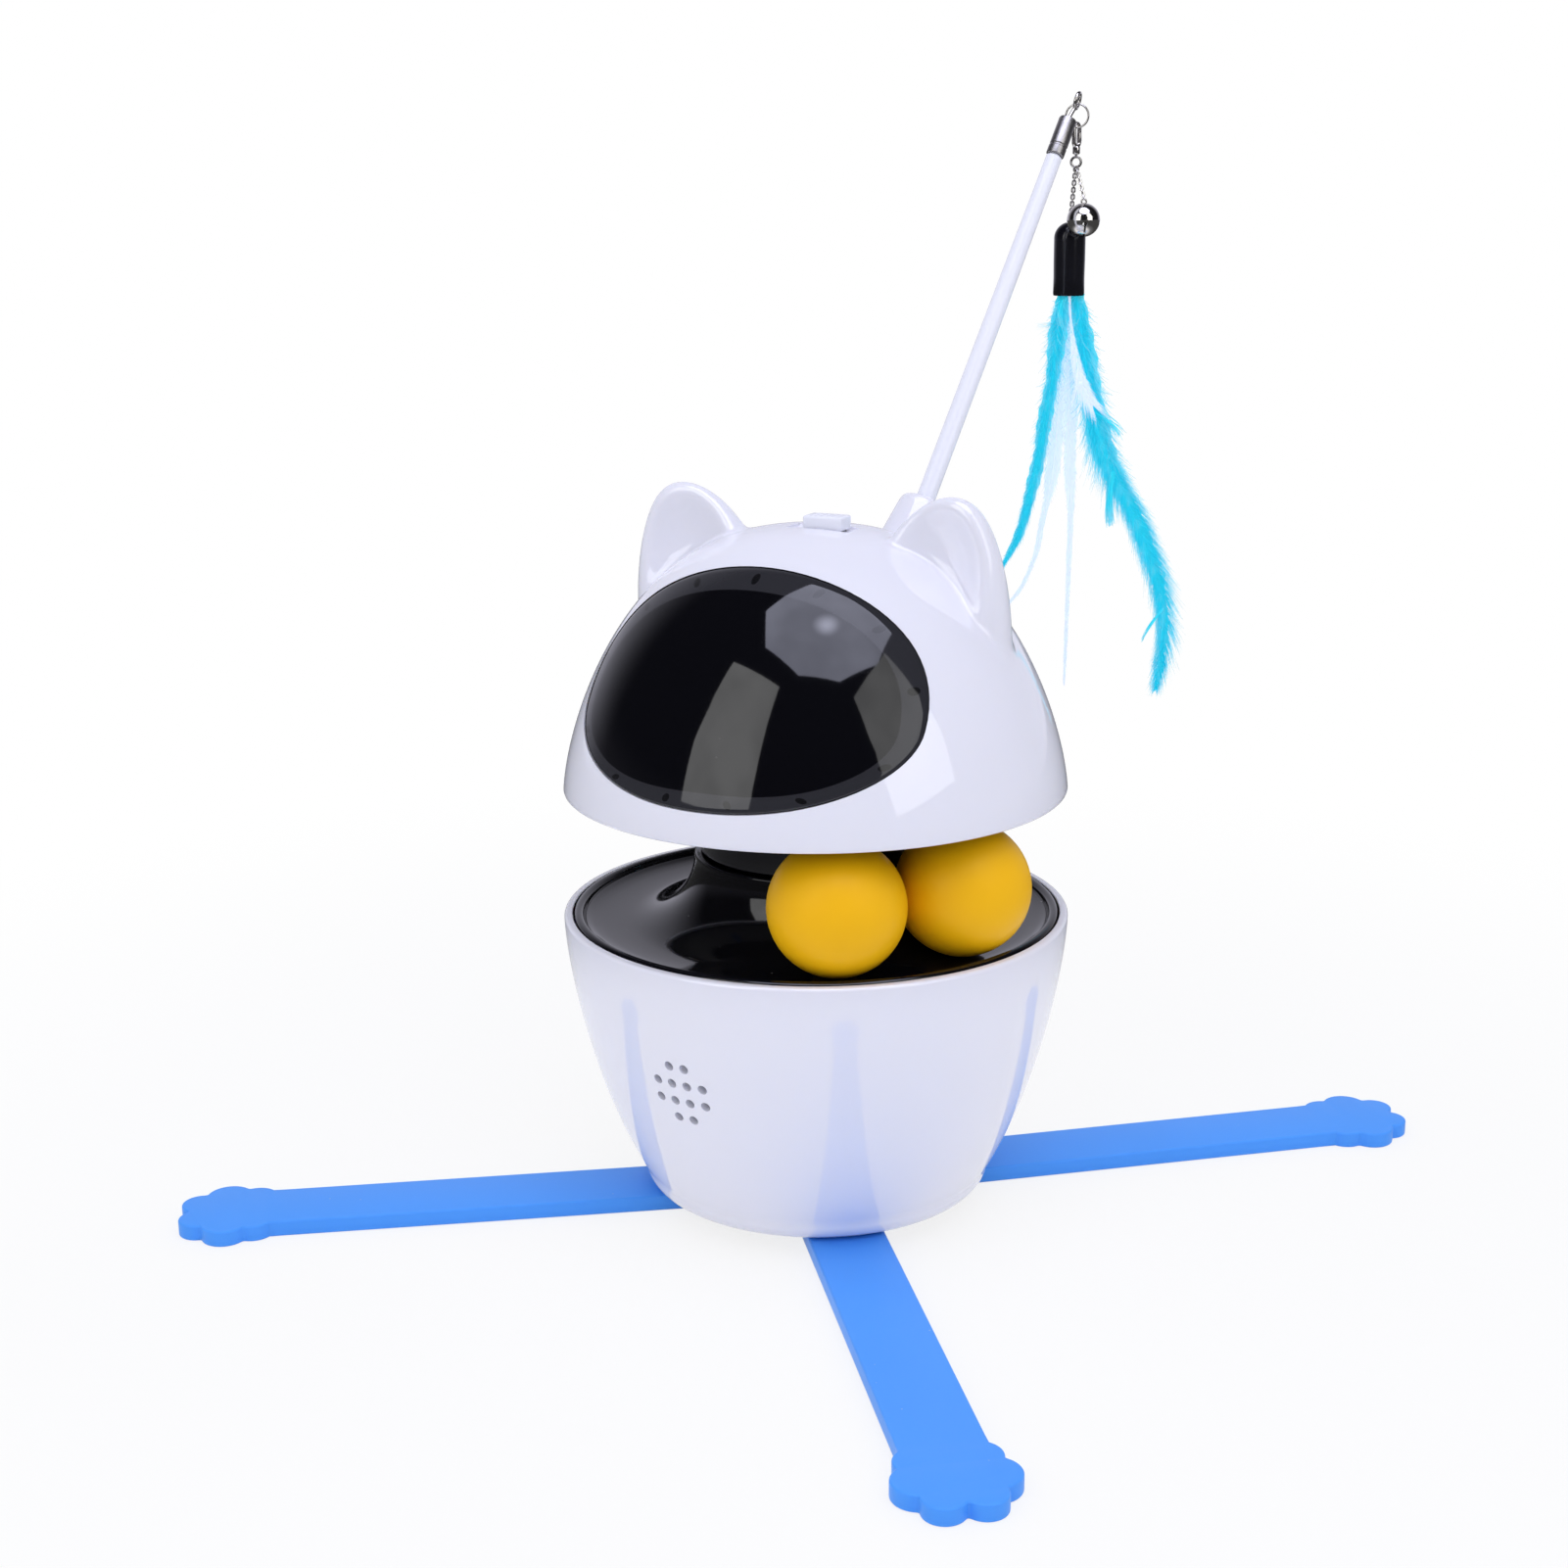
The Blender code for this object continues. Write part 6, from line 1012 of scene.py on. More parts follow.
def build_visor(sizes):
    """Window draped over the dome from rings of a disc, with a rounded edge and its thickness."""
    count = 144
    outline = np.array(visor_outline(sizes, -sizes.visor_gap, count))
    centre = np.array((0.0, sizes.visor_z + 6.0 * MM))
    arms = outline - centre
    spans = np.linalg.norm(np.roll(outline, -1, 0) - outline, axis=1)
    runs = np.concatenate(([0.0], np.cumsum(spans)))
    stakes = round(runs[-1] / STAKE_SPACING)
    rings = [1.0, 0.994, 0.985, 0.97, 0.95, 0.93, 0.91, 0.89] + [0.86 - 0.06 * step for step in range(14)]
    visor = primitive("circle", "visor_window", vertices=count, radius=1.0, fill_type="NOTHING")
    bpy.ops.object.mode_set(mode="EDIT")
    for before, after in zip(rings, rings[1:]):
        bpy.ops.mesh.extrude_edges_move()
        bpy.ops.transform.resize(value=(after / before,) * 3, center_override=(0.0, 0.0, 0.0))
    bpy.ops.mesh.edge_face_add()
    bpy.ops.object.mode_set(mode="OBJECT")
    spots = []

    def drape(point):
        """Place on the dome of a point of the disc; its place in the edge band goes into spots."""
        share = math.hypot(point.x, point.y)
        turn = math.atan2(point.x, point.y) / math.tau % 1.0
        index = (0.25 - turn) % 1.0 * count
        first = int(index) % count
        part = index - int(index)
        arm = arms[first] * (1.0 - part) + arms[(first + 1) % count] * part
        side, height = centre + arm * share
        edge = (1.0 - share) * float(np.linalg.norm(arm))
        sunk = 0.35 * MM * max(0.0, 1.0 - edge / (0.5 * MM)) ** 2
        radius = sizes.radius * dome_share((height - sizes.head_z) / sizes.height) - sunk
        run = (runs[first] * (1.0 - part) + runs[first + 1] * part) / runs[-1] * stakes
        spots.append((edge / BAND_WIDTH, run))
        return Vector((side, -math.sqrt(max(radius**2 - side**2, 0.0)), height))

    mesh = reshape(visor, drape).data
    layer = mesh.uv_layers.new(name="edge")
    for polygon in mesh.polygons:
        corners = [spots[mesh.loops[index].vertex_index] for index in polygon.loop_indices]
        wrap = max(corner[1] for corner in corners) > stakes - 1.0
        for index, (inwards, run) in zip(polygon.loop_indices, corners):
            layer.data[index].uv = (inwards, run + (stakes if wrap and run < 1.0 else 0.0))
    for extra in [item for item in mesh.uv_layers if item.name != "edge"]:
        mesh.uv_layers.remove(extra)
    tidy(visor, 1e-7)
    if sum(polygon.normal.y for polygon in visor.data.polygons) > 0.0:
        edit_all(visor, (bpy.ops.mesh.flip_normals, {}))
    modify(visor, "SOLIDIFY", thickness=sizes.visor_thickness, offset=-1.0)
    complete(settle(visor, face_turn(sizes)), "head", "smoke_visor", "visor", 50.0)


def build_neck(sizes):
    """Black disc under the head with the neck ring that turns round the track's collar."""
    low, base = sizes.head_z + 1.6 * MM, 93.4 * MM
    rim = sizes.radius - sizes.wall - 0.6 * MM
    profile = near(rim, low, (-0.4, 0.0)) + arc((rim - 0.4 * MM, low + 0.4 * MM), 0.4 * MM, -60.0, 0.0, 3)
    profile += [(rim - 0.2 * MM, sizes.head_z + 3.6 * MM)] + near(0.0, sizes.head_z, (5.3, 3.6))
    profile += near(0.0, 0.0, (5.3, 95.0), (9.5, 95.0)) + near(0.0, low, (9.5, 0.0), (27.2, 0.0))
    profile += near(0.0, base, (27.2, 0.0), (28.8, 0.0))
    profile += arc((28.8 * MM, base + 0.4 * MM), 0.4 * MM, -60.0, 0.0, 4)
    profile += near(0.0, low, (29.2, -3.0)) + arc((32.2 * MM, low - 3.0 * MM), 3.0 * MM, 170.0, 90.0, 10)
    complete(revolve("neck_disc", profile, 144), "head", "black_track", "head_base", 35.0)


def build_knob(sizes):
    """Slide knob with faint grip ridges and its stem."""
    floor, tall = sizes.head_z + sizes.height - 0.6 * MM, 3.48
    knob = block("slide_knob", spot(10.4, 6.2, tall), spot(0.0, 0.0, tall / 2), 0.6 * MM, 4)
    for index in range(5):
        place = spot((index - 2) * 1.44, 0.0, tall - 0.1)
        join(knob, block("ridge", spot(0.6, 4.4, 0.4), place, 0.12 * MM))
    join(knob, block("stem", spot(8.4, 2.8, 6.0), spot(0.0, 0.0, -2.5), 0.3 * MM))
    settle(knob, face_turn(sizes) @ at((3.5 * MM, 0.0, floor)))
    complete(knob, "switch", "white_rod", "switch_knob", 40.0)


# Wand and lure


EYE = spot(69.61, 69.61, 276.16)
RING = spot(69.61, 69.61, 272.36)
CLASP = spot(69.61, 69.61, 267.56)
BARREL = spot(69.61, 69.61, 264.46)
SWIVEL = spot(69.61, 69.61, 260.61)
SLEEVE_LOOP = spot(68.71, 72.01, 244.95)
SLEEVE = spot(68.71, 72.01, 244.91)
BELL_LOOP = spot(71.41, 65.01, 251.2)
BELL = spot(71.41, 65.01, 245.81)
MOUTH = (68.71, 72.01, 226.01)


def circle(radius, count, matrix):
    """Points of a ring in the XZ plane of a frame."""
    turns = [math.tau * (index + 0.5) / count for index in range(count)]
    return [matrix @ Vector((radius * math.cos(turn), 0.0, radius * math.sin(turn))) for turn in turns]


def build_wand(sizes):
    """Tapered rod, crimped ferrule and wire eye along the wand's own axis."""
    end, foot, tip = sizes.rod_length + 1.2 * MM, sizes.rod_radius, sizes.rod_tip
    profile = near(0.0, 0.0, (0.0, -17.0)) + near(foot, 0.0, (-0.5, -17.0), (0.0, -16.5), (0.0, 0.0))
    profile += [(tip + 0.22 * MM, end * 0.55)] + near(tip, end, (0.0, -0.3), (-0.3, 0.0))
    profile += near(0.0, end, (1.4, 0.0), (1.4, 5.0), (0.0, 5.0))
    complete(revolve("wand_stick", profile, 48, WAND_FRAME), "wand", "white_rod", "wand_rod", 30.0)
    low, high, radius = end + 0.3 * MM, end + 10.9 * MM, sizes.ferrule_radius
    profile = near(0.0, low, (1.7, 0.0)) + near(radius, low, (-0.2, 0.0))
    profile += arc((radius - 0.2 * MM, low + 0.2 * MM), 0.2 * MM, -60.0, 0.0, 3)
    profile += near(radius, low, (0.0, 2.2), (-0.16, 2.45), (-0.16, 2.75), (0.0, 3.0))
    profile += near(radius, high, (0.0, -0.5), (-0.15, -0.15), (-0.5, 0.0)) + near(0.0, high, (0.95, 0.0))
    profile += near(0.0, low, (0.95, 5.6), (1.7, 5.3))
    complete(revolve("wand_cap", profile, 48, WAND_FRAME), "wand", "steel", "wand_ferrule", 30.0)
    lean = WAND_LEAN @ turned(28.0)
    root = WAND_FRAME @ Vector((0.0, 0.0, high - 2.5 * MM))
    bend = WAND_FRAME @ Vector((0.0, 0.0, high + 0.3 * MM))
    start = EYE + lean @ spot(0.0, 0.0, -2.0)
    stem = [root + (bend - root) * step / 6 for step in range(6)]
    stem += [bend + (start - bend) * step / 4 for step in range(5)]
    ring = wire("wand_loop", circle(2.0 * MM, 40, at(EYE) @ lean), 0.5 * MM, True)
    complete(join(ring, wire("stem", stem, 0.5 * MM)), "wand", "nickel", "wand_eye")


def build_split_ring(sizes):
    """Split ring wound as two flat turns with cut ends."""
    points = []
    for index in range(105):
        turn = math.tau * 2.02 * index / 104 + 0.7
        shift = 0.22 * MM * math.tanh((index / 104 - 0.5) * 6.0)
        point = Vector((sizes.ring_radius * math.cos(turn), shift, sizes.ring_radius * math.sin(turn)))
        points.append(at(RING) @ turned(163.0) @ point)
    complete(wire("key_ring", points, 0.24 * MM, sides=3), "ring", "nickel", "split_ring")


def build_clasp(sizes):
    """Lobster clasp: a swelling hook, its sprung gate with a thumb nub, and the swivel's barrel."""
    place = at(CLASP) @ turned(45.0)
    turns = [math.tau * (index + 0.5) / 48 for index in range(48)]
    loop = [(1.1 * math.cos(turn), 1.1 * math.sin(turn) + math.copysign(1.8, math.sin(turn))) for turn in turns]
    swell = [1.15 if math.sin(turn) < 0.2 else 0.9 for turn in turns]
    wires = (("snap_clasp", loop, 0.50, True, swell),
             ("gate", [(1.08, z) for z in (-2.2, -1.2, 0.0, 1.2, 2.1)], 0.58, False, [1.0, 1.15, 1.05, 0.9, 0.75]),
             ("nub", [(x, -1.4) for x in (1.2, 1.75, 2.0)], 0.3, False, [1.0, 0.9, 0.5]))
    hook, gate, nub = (wire(name, [place @ spot(x, 0.0, z) for x, z in points], radius * MM, cyclic, 4, radii)
                       for name, points, radius, cyclic, radii in wires)
    profile = near(0.0, 0.0, (0.0, 0.35), (0.5, 0.35), (0.9, 0.1), (1.0, -0.15), (1.0, -1.5), (0.92, -1.7),
                   (0.65, -1.9), (0.65, -0.5), (0.0, -0.5))
    barrel = revolve("barrel", profile, 32, at(BARREL))
    complete(join(hook, gate, nub, barrel), "clasp_body", "nickel", "clasp", 50.0)


def chain(name, start, end):
    """Fine cable chain: one oval link, copied along the run with every other one turned on its side."""
    first = primitive("torus", name, major_segments=14, minor_segments=6, major_radius=0.46 * MM,
                      minor_radius=0.19 * MM)
    reshape(first, lambda point: Vector((point.x, point.z, point.y + math.copysign(0.22 * MM, point.y))))
    run = end - start
    count = max(3, round(run.length / (0.92 * MM)))
    lay = run.to_track_quat("Z", "Y").to_matrix().to_4x4()
    links = []
    for index in range(count):
        copy = put(name, first.data.copy())
        middle = start + run * ((index + 0.5) / count)
        links.append(settle(copy, at(middle) @ lay @ turned(90.0 * (index % 2) + 45.0)))
    bpy.data.objects.remove(first)
    item = join(*links)
    item.name = name
    return tidy(item, 1e-8)


def build_swivel(sizes):
    """Swivel pin with the small ring, and the two chains that hang on it."""
    ring = wire("swivel_loop", circle(1.3 * MM, 28, at(SWIVEL)), 0.35 * MM, True, 3)
    pin = wire("pin", [SWIVEL + spot(0.0, 0.0, z) for z in (1.3, 2.0, 3.0)], 0.38 * MM, sides=3)
    complete(join(ring, pin), "lure", "nickel", "swivel_ring")
    for name, shift, end, body, solid in (("sleeve_chain", 0.9, SLEEVE_LOOP, "lure", "chain_sleeve"),
                                          ("bell_chain", -0.9, BELL_LOOP, "bell_body", "chain_bell")):
        complete(chain(name, SWIVEL + spot(0.0, shift, -1.3), end), body, "nickel", solid)


def build_bell(sizes):
    """Jingle bell of two pressed halves with a crossed slit below, its loop and the pea inside."""
    radius, wall = sizes.bell_radius, 0.5 * MM

    def shell(reach, start, end, steps):
        """Part of a ball's profile, never past its axis."""
        return [(abs(x), z) for x, z in arc((0.0, 0.0), reach, start, end, steps)]

    def closed(profile):
        """Profile with both ends on the axis."""
        return [(0.0, profile[0][1])] + profile[1:-1] + [(0.0, profile[-1][1])]

    seam = near(radius, 0.0, (0.05, -0.12), (0.05, 0.12))
    outer = shell(radius, -90.0, -4.0, 22) + seam + shell(radius, 4.0, 90.0, 22)
    bell = revolve("jingle_bell", closed(outer), 56)
    cut(bell, revolve("hollow", closed(shell(radius - wall, -90.0, 90.0, 24)), 40))
    for turn in (0.0, 90.0):
        slot = block("slot", (2 * radius * 0.94, 0.55 * MM, radius), (0.0, 0.0, -radius / 2 - 0.9 * MM))
        cut(bell, settle(slot, turned(turn)))
        for side in (-1.0, 1.0):
            hole = primitive("cylinder", "hole", vertices=24, radius=0.62 * MM, depth=3.0 * MM)
            end = at((side * (radius - 0.4 * MM), 0.0, -1.0 * MM))
            cut(bell, settle(hole, turned(turn) @ end @ turned(90.0, "Y")))
    loop = wire("loop", circle(0.62 * MM, 20, at((0.0, 0.0, radius + 0.42 * MM))), 0.24 * MM, True, 3)
    pea = primitive("uv_sphere", "pea", segments=24, ring_count=14, radius=1.1 * MM,
                    location=(0.4 * MM, 0.2 * MM, -radius + wall + 1.15 * MM))
    complete(settle(join(bell, loop, settle(pea)), at(BELL)), "bell_body", "nickel", "bell", 40.0)


def build_sleeve(sizes):
    """Glossy sleeve with a domed top and a thin mouth over the quills."""
    radius, run = sizes.sleeve_radius, sizes.sleeve_length
    profile = near(0.0, 0.0, (0.0, 0.0), (0.45, -0.02)) + arc((0.0, -radius * 0.93), radius, 78.0, 4.0, 18)
    profile += [(radius, -radius), (radius, -run * 0.5), (radius - 0.06 * MM, -run * 0.75)]
    profile += near(radius, -run, (0.0, 0.5), (-0.15, 0.0))
    profile += near(0.0, -run, (3.75, 0.0), (3.7, 0.4), (3.7, 6.5), (0.0, 6.5))
    complete(revolve("quill_sleeve", profile, 56, at(SLEEVE)), "lure", "black_rubber", "feather_sleeve", 40.0)


class Strands:
    """Collects thin vanes and tapered strands into one mesh with a UV map."""

    def __init__(self):
        self.points, self.faces, self.uvs = [], [], []

    def tube(self, base, ring, rings):
        """Faces between rings of points, numbered on from a first point."""
        wide = max(ring) + 1
        for step in range(rings - 1):
            low, high = base + wide * step, base + wide * (step + 1)
            for first, second in zip(ring, ring[1:] + ring[:1]):
                self.faces.append((low + first, low + second, high + second, high + first))

    def add(self, line, across, lift, along, place):
        """Strand round a line, with half widths and half thicknesses, as a flat three-sided needle."""
        base, tip = len(self.uvs), len(self.uvs) + 3 * (len(line) - 1)
        self.points.append(np.stack([line - across, line + across, line + lift], 1).reshape(-1, 3))
        self.faces += [(base, base + 2, base + 1), (tip, tip + 1, tip + 2)]
        self.tube(base, [0, 1, 2], len(line))
        self.uvs += [(share, place) for share in along for _ in range(3)]

    def sheet(self, line, across, depth, cup):
        """Thin closed vane along a line, cupped a little, from its half widths as vectors."""
        base, count = len(self.uvs), len(line)
        columns = np.linspace(-1.0, 1.0, 9)
        wide = len(columns)
        front = line[:, None] + across[:, None] * columns[None, :, None]
        front = front + depth * (cup * (1.0 - columns**2))[None, :, None]
        self.points.append(np.concatenate([front, front + depth * 0.08 * MM], 1).reshape(-1, 3))
        self.tube(base, [*range(wide), *range(2 * wide - 1, wide - 1, -1)], count)
        for end in (base, base + 2 * wide * (count - 1)):
            for index in range(end, end + wide - 1):
                self.faces.append((index, index + 1, wide + index + 1, wide + index))
        self.uvs += [(abs(column) * 0.5, step / count) for step in range(count) for column in (*columns, *columns)]

    def build(self, name):
        """Mesh object of all vanes and strands."""
        mesh = bpy.data.meshes.new(name)
        mesh.from_pydata(np.concatenate(self.points).tolist(), [], self.faces)
        layer = mesh.uv_layers.new(name="barbs")
        for loop in mesh.loops:
            layer.data[loop.index].uv = self.uvs[loop.vertex_index]
        return put(name, mesh)


STATIONS = 90
DEPTH = np.array((0.0, 1.0, 0.0))
BARB_STEPS = 7
BARB_LIFT = -0.12 * MM


def barb_route(chance, base, down, out, share, half, downy):
    """Points of one barb: it leaves the shaft at a lean, curls and sways, the more the downier it is."""
    lean = math.radians(chance.normal(36.0 - 16.0 * share, 4.0 + 13.0 * downy))
    lean = min(max(lean, 0.12), 1.25)
    reach = half / max(math.sin(lean), 0.30) * chance.uniform(0.78, 1.04 + 0.16 * downy)
    sway = chance.normal(0.0, 0.08 + 0.20 * downy)
    curl = chance.normal(0.0, 0.18 + 0.45 * downy)
    route = [base]
    for step in range(BARB_STEPS):
        part = step / BARB_STEPS
        bend = lean * (1.0 - 0.55 * step / BARB_STEPS) + curl * part**2
        heading = down * math.cos(bend) + out * math.sin(bend) + DEPTH * sway * (0.4 + part)
        route.append(route[-1] + heading / np.linalg.norm(heading) * reach / BARB_STEPS)
    return np.array(route)


def tuft(strands, chance, root, width, start, stop, swing, hairs, spread):
    """Loose hairs from one place on the shaft to about another, bowed to a side."""
    t = np.linspace(0.0, 1.0, 9)[:, None]
    thin = 1.0 - 0.8 * t[:, 0]
    for _ in range(hairs):
        base = root + chance.normal(0.0, 0.5 * spread * MM, 3)
        tip = root + np.array((stop[0], 0.0, stop[1])) * MM + chance.normal(0.0, spread * MM, 3)
        bow = np.array((swing * MM, chance.normal(0.0, 0.8 * MM), 0.0))
        strands.add(base + (tip - base) * t + bow * (t * (1.0 - t) * 4.0), np.outer(thin * width, (1.0, 0.0, 0.3)),
                    np.outer(thin * BARB_LIFT, DEPTH), t[:, 0] * 0.8, start)


def feather(sizes, name, solid, layer, points, widths, finish, barbs, fluff, seed, vane, tufts=(), slim=0.0):
    """Feather of single barbs and a thin vane along a curved shaft, downy near its root.

    Points and widths are shares of the feather's length; fluff is the share of it that is downy, vane the share
    of the barbs' reach that the vane takes, slim how much of that it loses towards the tip."""
    chance = np.random.default_rng(seed)
    mouth = np.array(MOUTH) * MM
    mouth[1] += 1.2 * layer * MM
    flat = through([(x, -z) for x, z in points], STATIONS) * sizes.feather_length
    line = np.stack([mouth[0] + flat[:, 0], np.full(STATIONS, mouth[1]), mouth[2] + flat[:, 1]], 1)
    line[:, 1] += 0.5 * MM * np.sin(np.linspace(0.0, 5.0, STATIONS) + seed)
    half = np.maximum(through(widths, STATIONS), 0.002) * sizes.feather_length
    run = np.gradient(line, axis=0)
    run /= np.linalg.norm(run, axis=1)[:, None]
    flank = np.cross(run, DEPTH)
    shares = np.linspace(0.0, 1.0, STATIONS)
    strands = Strands()
    shaft = flank * (0.30 * (1.0 - shares) + 0.08)[:, None] * MM
    quill = np.concatenate([[line[0] + (0.0, 0.0, 4.5 * MM)], line])
    lift = np.outer(np.concatenate([[0.4], 0.4 * (1.0 - shares) + 0.08]) * -MM, DEPTH)
    strands.add(quill, np.concatenate([shaft[:1], shaft]), lift, np.zeros(STATIONS + 1), 0.5)
    ragged = 1.0 + 0.22 * np.sin(shares * 41.0 + seed) * np.sin(shares * 67.0)
    strands.sheet(line, flank * (half * vane * ragged * (1.0 - slim * shares))[:, None], DEPTH, 0.5 * MM)
    steps = np.linspace(0.0, 1.0, BARB_STEPS + 1)
    thin = 1.0 - 0.80 * steps
    for side in (-1.0, 1.0):
        for index in range(barbs):
            share = (index + chance.random()) / barbs * 0.985
            reach = share * (STATIONS - 1)
            here = int(reach)
            base = line[here] + (line[min(here + 1, STATIONS - 1)] - line[here]) * (reach - here)
            downy = max(0.0, 1.0 - share / fluff)
            route = barb_route(chance, base, run[here], flank[here] * side, share, half[here], downy)
            twist = chance.normal(0.0, 0.5)
            wide = run[here] * math.cos(twist) + DEPTH * math.sin(twist)
            across = np.outer(thin * sizes.barb_width / 2 * chance.uniform(0.7, 1.2), wide)
            strands.add(route, across, np.outer(thin * BARB_LIFT, DEPTH), steps, share)
    for start, stop, swing, hairs, spread in tufts:
        root = line[int(start * (STATIONS - 1))]
        tuft(strands, chance, root, sizes.barb_width / 2, start, stop, swing, hairs, spread)
    complete(strands.build(name), "lure", finish, solid)


def build_feathers(sizes):
    """Two dyed plumes and three pale feathers, each of its own barbs."""
    feather(sizes, "blue_plume_left", "feather_blue_left", -1,
            [(-0.012, 0.0), (-0.024, 0.08), (-0.035, 0.19), (-0.052, 0.30), (-0.063, 0.383), (-0.081, 0.467),
             (-0.109, 0.573), (-0.159, 0.673)],
            [0.026, 0.030, 0.024, 0.023, 0.022, 0.020, 0.015, 0.003],
            "blue_feather", barbs=900, fluff=0.60, seed=11, vane=0.7,
            tufts=[(0.12, (-5.5, -2.0), 0.6, 40, 0.8), (0.02, (-1.0, -7.0), -1.0, 30, 0.8)])
    feather(sizes, "blue_plume_right", "feather_blue_right", 0,
            [(0.018, 0.0), (0.032, 0.08), (0.046, 0.17), (0.064, 0.26), (0.086, 0.35), (0.120, 0.43),
             (0.158, 0.50), (0.195, 0.58), (0.233, 0.68), (0.256, 0.79), (0.252, 0.89), (0.240, 0.975)],
            [0.030, 0.038, 0.044, 0.052, 0.054, 0.046, 0.044, 0.048, 0.044, 0.038, 0.026, 0.004],
            "blue_feather", barbs=1300, fluff=0.50, seed=23, vane=0.7,
            tufts=[(0.46, (-0.4, -14.0), -0.6, 70, 0.6), (0.30, (7.5, -6.0), 1.0, 16, 0.8),
                   (0.80, (-5.6, -9.0), -0.6, 14, 0.3)], slim=0.75)
    feather(sizes, "pale_feather_centre", "feather_white_centre", 1,
            [(0.004, 0.0), (0.010, 0.18), (0.013, 0.32), (0.015, 0.42), (0.019, 0.52), (0.017, 0.68),
             (0.014, 0.84), (0.012, 0.96)],
            [0.014, 0.020, 0.021, 0.018, 0.011, 0.007, 0.006, 0.002],
            "white_feather", barbs=420, fluff=0.3, seed=31, vane=0.8)
    feather(sizes, "pale_feather_left", "feather_white_left", 2,
            [(-0.006, 0.0), (-0.012, 0.18), (-0.020, 0.32), (-0.026, 0.414), (-0.035, 0.478), (-0.050, 0.552),
             (-0.063, 0.626), (-0.097, 0.71), (-0.138, 0.762)],
            [0.016, 0.024, 0.027, 0.023, 0.013, 0.009, 0.008, 0.006, 0.003],
            "white_feather", barbs=420, fluff=0.3, seed=43, vane=0.8)
    feather(sizes, "pale_feather_front", "feather_white_front", -2,
            [(0.000, 0.0), (0.005, 0.06), (0.018, 0.15), (0.037, 0.214), (0.062, 0.26)],
            [0.002, 0.005, 0.022, 0.030, 0.016],
            "white_feather", barbs=320, fluff=0.3, seed=57, vane=0.45,
            tufts=[(0.7, (-7.5, -3.0), 1.5, 8, 0.5), (0.5, (-1.0, -14.0), 1.0, 10, 0.7)])


# Studio


SOFTBOXES = {
    "octagon": ([(-0.022, 0.165, 1.267), (0.279, 0.083, 1.217), (0.625, -0.19, 1.104), (0.514, -0.534, 1.011),
                 (0.217, -0.737, 0.977), (-0.14, -0.716, 1.014), (-0.414, -0.458, 1.114),
                 (-0.377, -0.109, 1.215)], 3.8, 1.8, (0.78, 0.80, 1.0, 1.0)),
    "strip": ([(-0.655, -0.406, 0.98), (-0.314, -0.765, 0.976), (-0.402, -0.848, 0.725), (-0.472, -0.92, 0.515),
               (-0.549, -0.99, 0.293), (-0.82, -0.736, 0.252), (-0.985, -0.556, 0.261), (-0.929, -0.522, 0.398),
               (-0.869, -0.483, 0.547), (-0.778, -0.466, 0.71)], 2.1, 0.0, WHITE),
    "panel": ([(0.563, -0.405, 1.024), (0.735, -0.429, 0.778), (0.902, -0.414, 0.577), (1.02, -0.476, 0.35),
               (0.672, -0.955, 0.248), (0.488, -0.879, 0.577), (0.335, -0.779, 0.891)], 1.6, 0.0, WHITE)}


def build_camera(studio):
    """Camera at the toy's front, looking a little down."""
    pitch, yaw, roll = studio.pitch, studio.yaw, studio.roll
    ahead = Vector((math.sin(yaw) * math.cos(pitch), math.cos(yaw) * math.cos(pitch), -math.sin(pitch)))
    right = Vector((math.cos(yaw), -math.sin(yaw), 0.0))
    up = right.cross(ahead)
    side = math.cos(roll) * right + math.sin(roll) * up
    rise = math.cos(roll) * up - math.sin(roll) * right
    data = bpy.data.cameras.new("camera")
    data.lens, data.sensor_width = studio.lens, 36.0
    data.clip_start, data.clip_end = 0.01, 50.0
    camera = put("camera", data)
    turn = Matrix((side, rise, -ahead)).transposed().to_4x4()
    camera.matrix_world = at((0.0, -studio.distance, studio.height)) @ turn
    bpy.context.scene.camera = camera


def rays(tree, *kinds):
    """Mask of the rays of some kinds."""
    path = node(tree, "LightPath")
    mask = path[f"Is {kinds[0]} Ray"]
    for kind in kinds[1:]:
        mask = compute(tree, "MAXIMUM", mask, path[f"Is {kind} Ray"])
    return mask


def mix_shaders(tree, share, first, second):
    """Mix of two shaders."""
    return node(tree, "MixShader", enumerate((share, first, second)))[0]


def stage(item, hidden=()):
    """Hides a studio piece from some rays."""
    for kind in hidden:
        setattr(item, f"visible_{kind}", False)


def bare_material(item, title):
    """Gives a piece an empty material: its tree, the sockets of its output and the place in the object."""
    material, tree, shader = new_material(title)
    tree.nodes.remove(shader)
    item.data.materials.append(material)
    return tree, tree.nodes["Material Output"].inputs, node(tree, "TexCoord")["Object"]


def distance(tree, where, place=(0.0, 0.0, 0.0)):
    """Distance from a place."""
    return node(tree, "VectorMath", {0: where, 1: place}, operation="DISTANCE")["Value"]


def build_floor():
    """Pale floor that keeps the toy's soft shadow, reads as white and glows less in gloss further off."""
    floor = primitive("plane", "studio_floor", size=12.0)
    tree, output, where = bare_material(floor, "white studio floor")
    shade = remap(tree, noise(tree, where, 3.0), 0.3, 0.7, 0.86, 0.90)
    away = distance(tree, where)
    far = remap(tree, away, 0.13, 0.27, 1.0, 0.06)
    level = compute(tree, "MAXIMUM", rays(tree, "Camera", "Transmission"), far)
    share = times(tree, rays(tree, "Camera", "Glossy", "Transmission"), remap(tree, away, 0.15, 0.45, 0.80, 1.0))
    matt = node(tree, "BsdfDiffuse", {"Color": shade})[0]
    glow = node(tree, "Emission", {"Color": WHITE, "Strength": level})[0]
    feed(tree, output, {"Surface": mix_shaders(tree, share, matt, glow)})
    stage(floor)


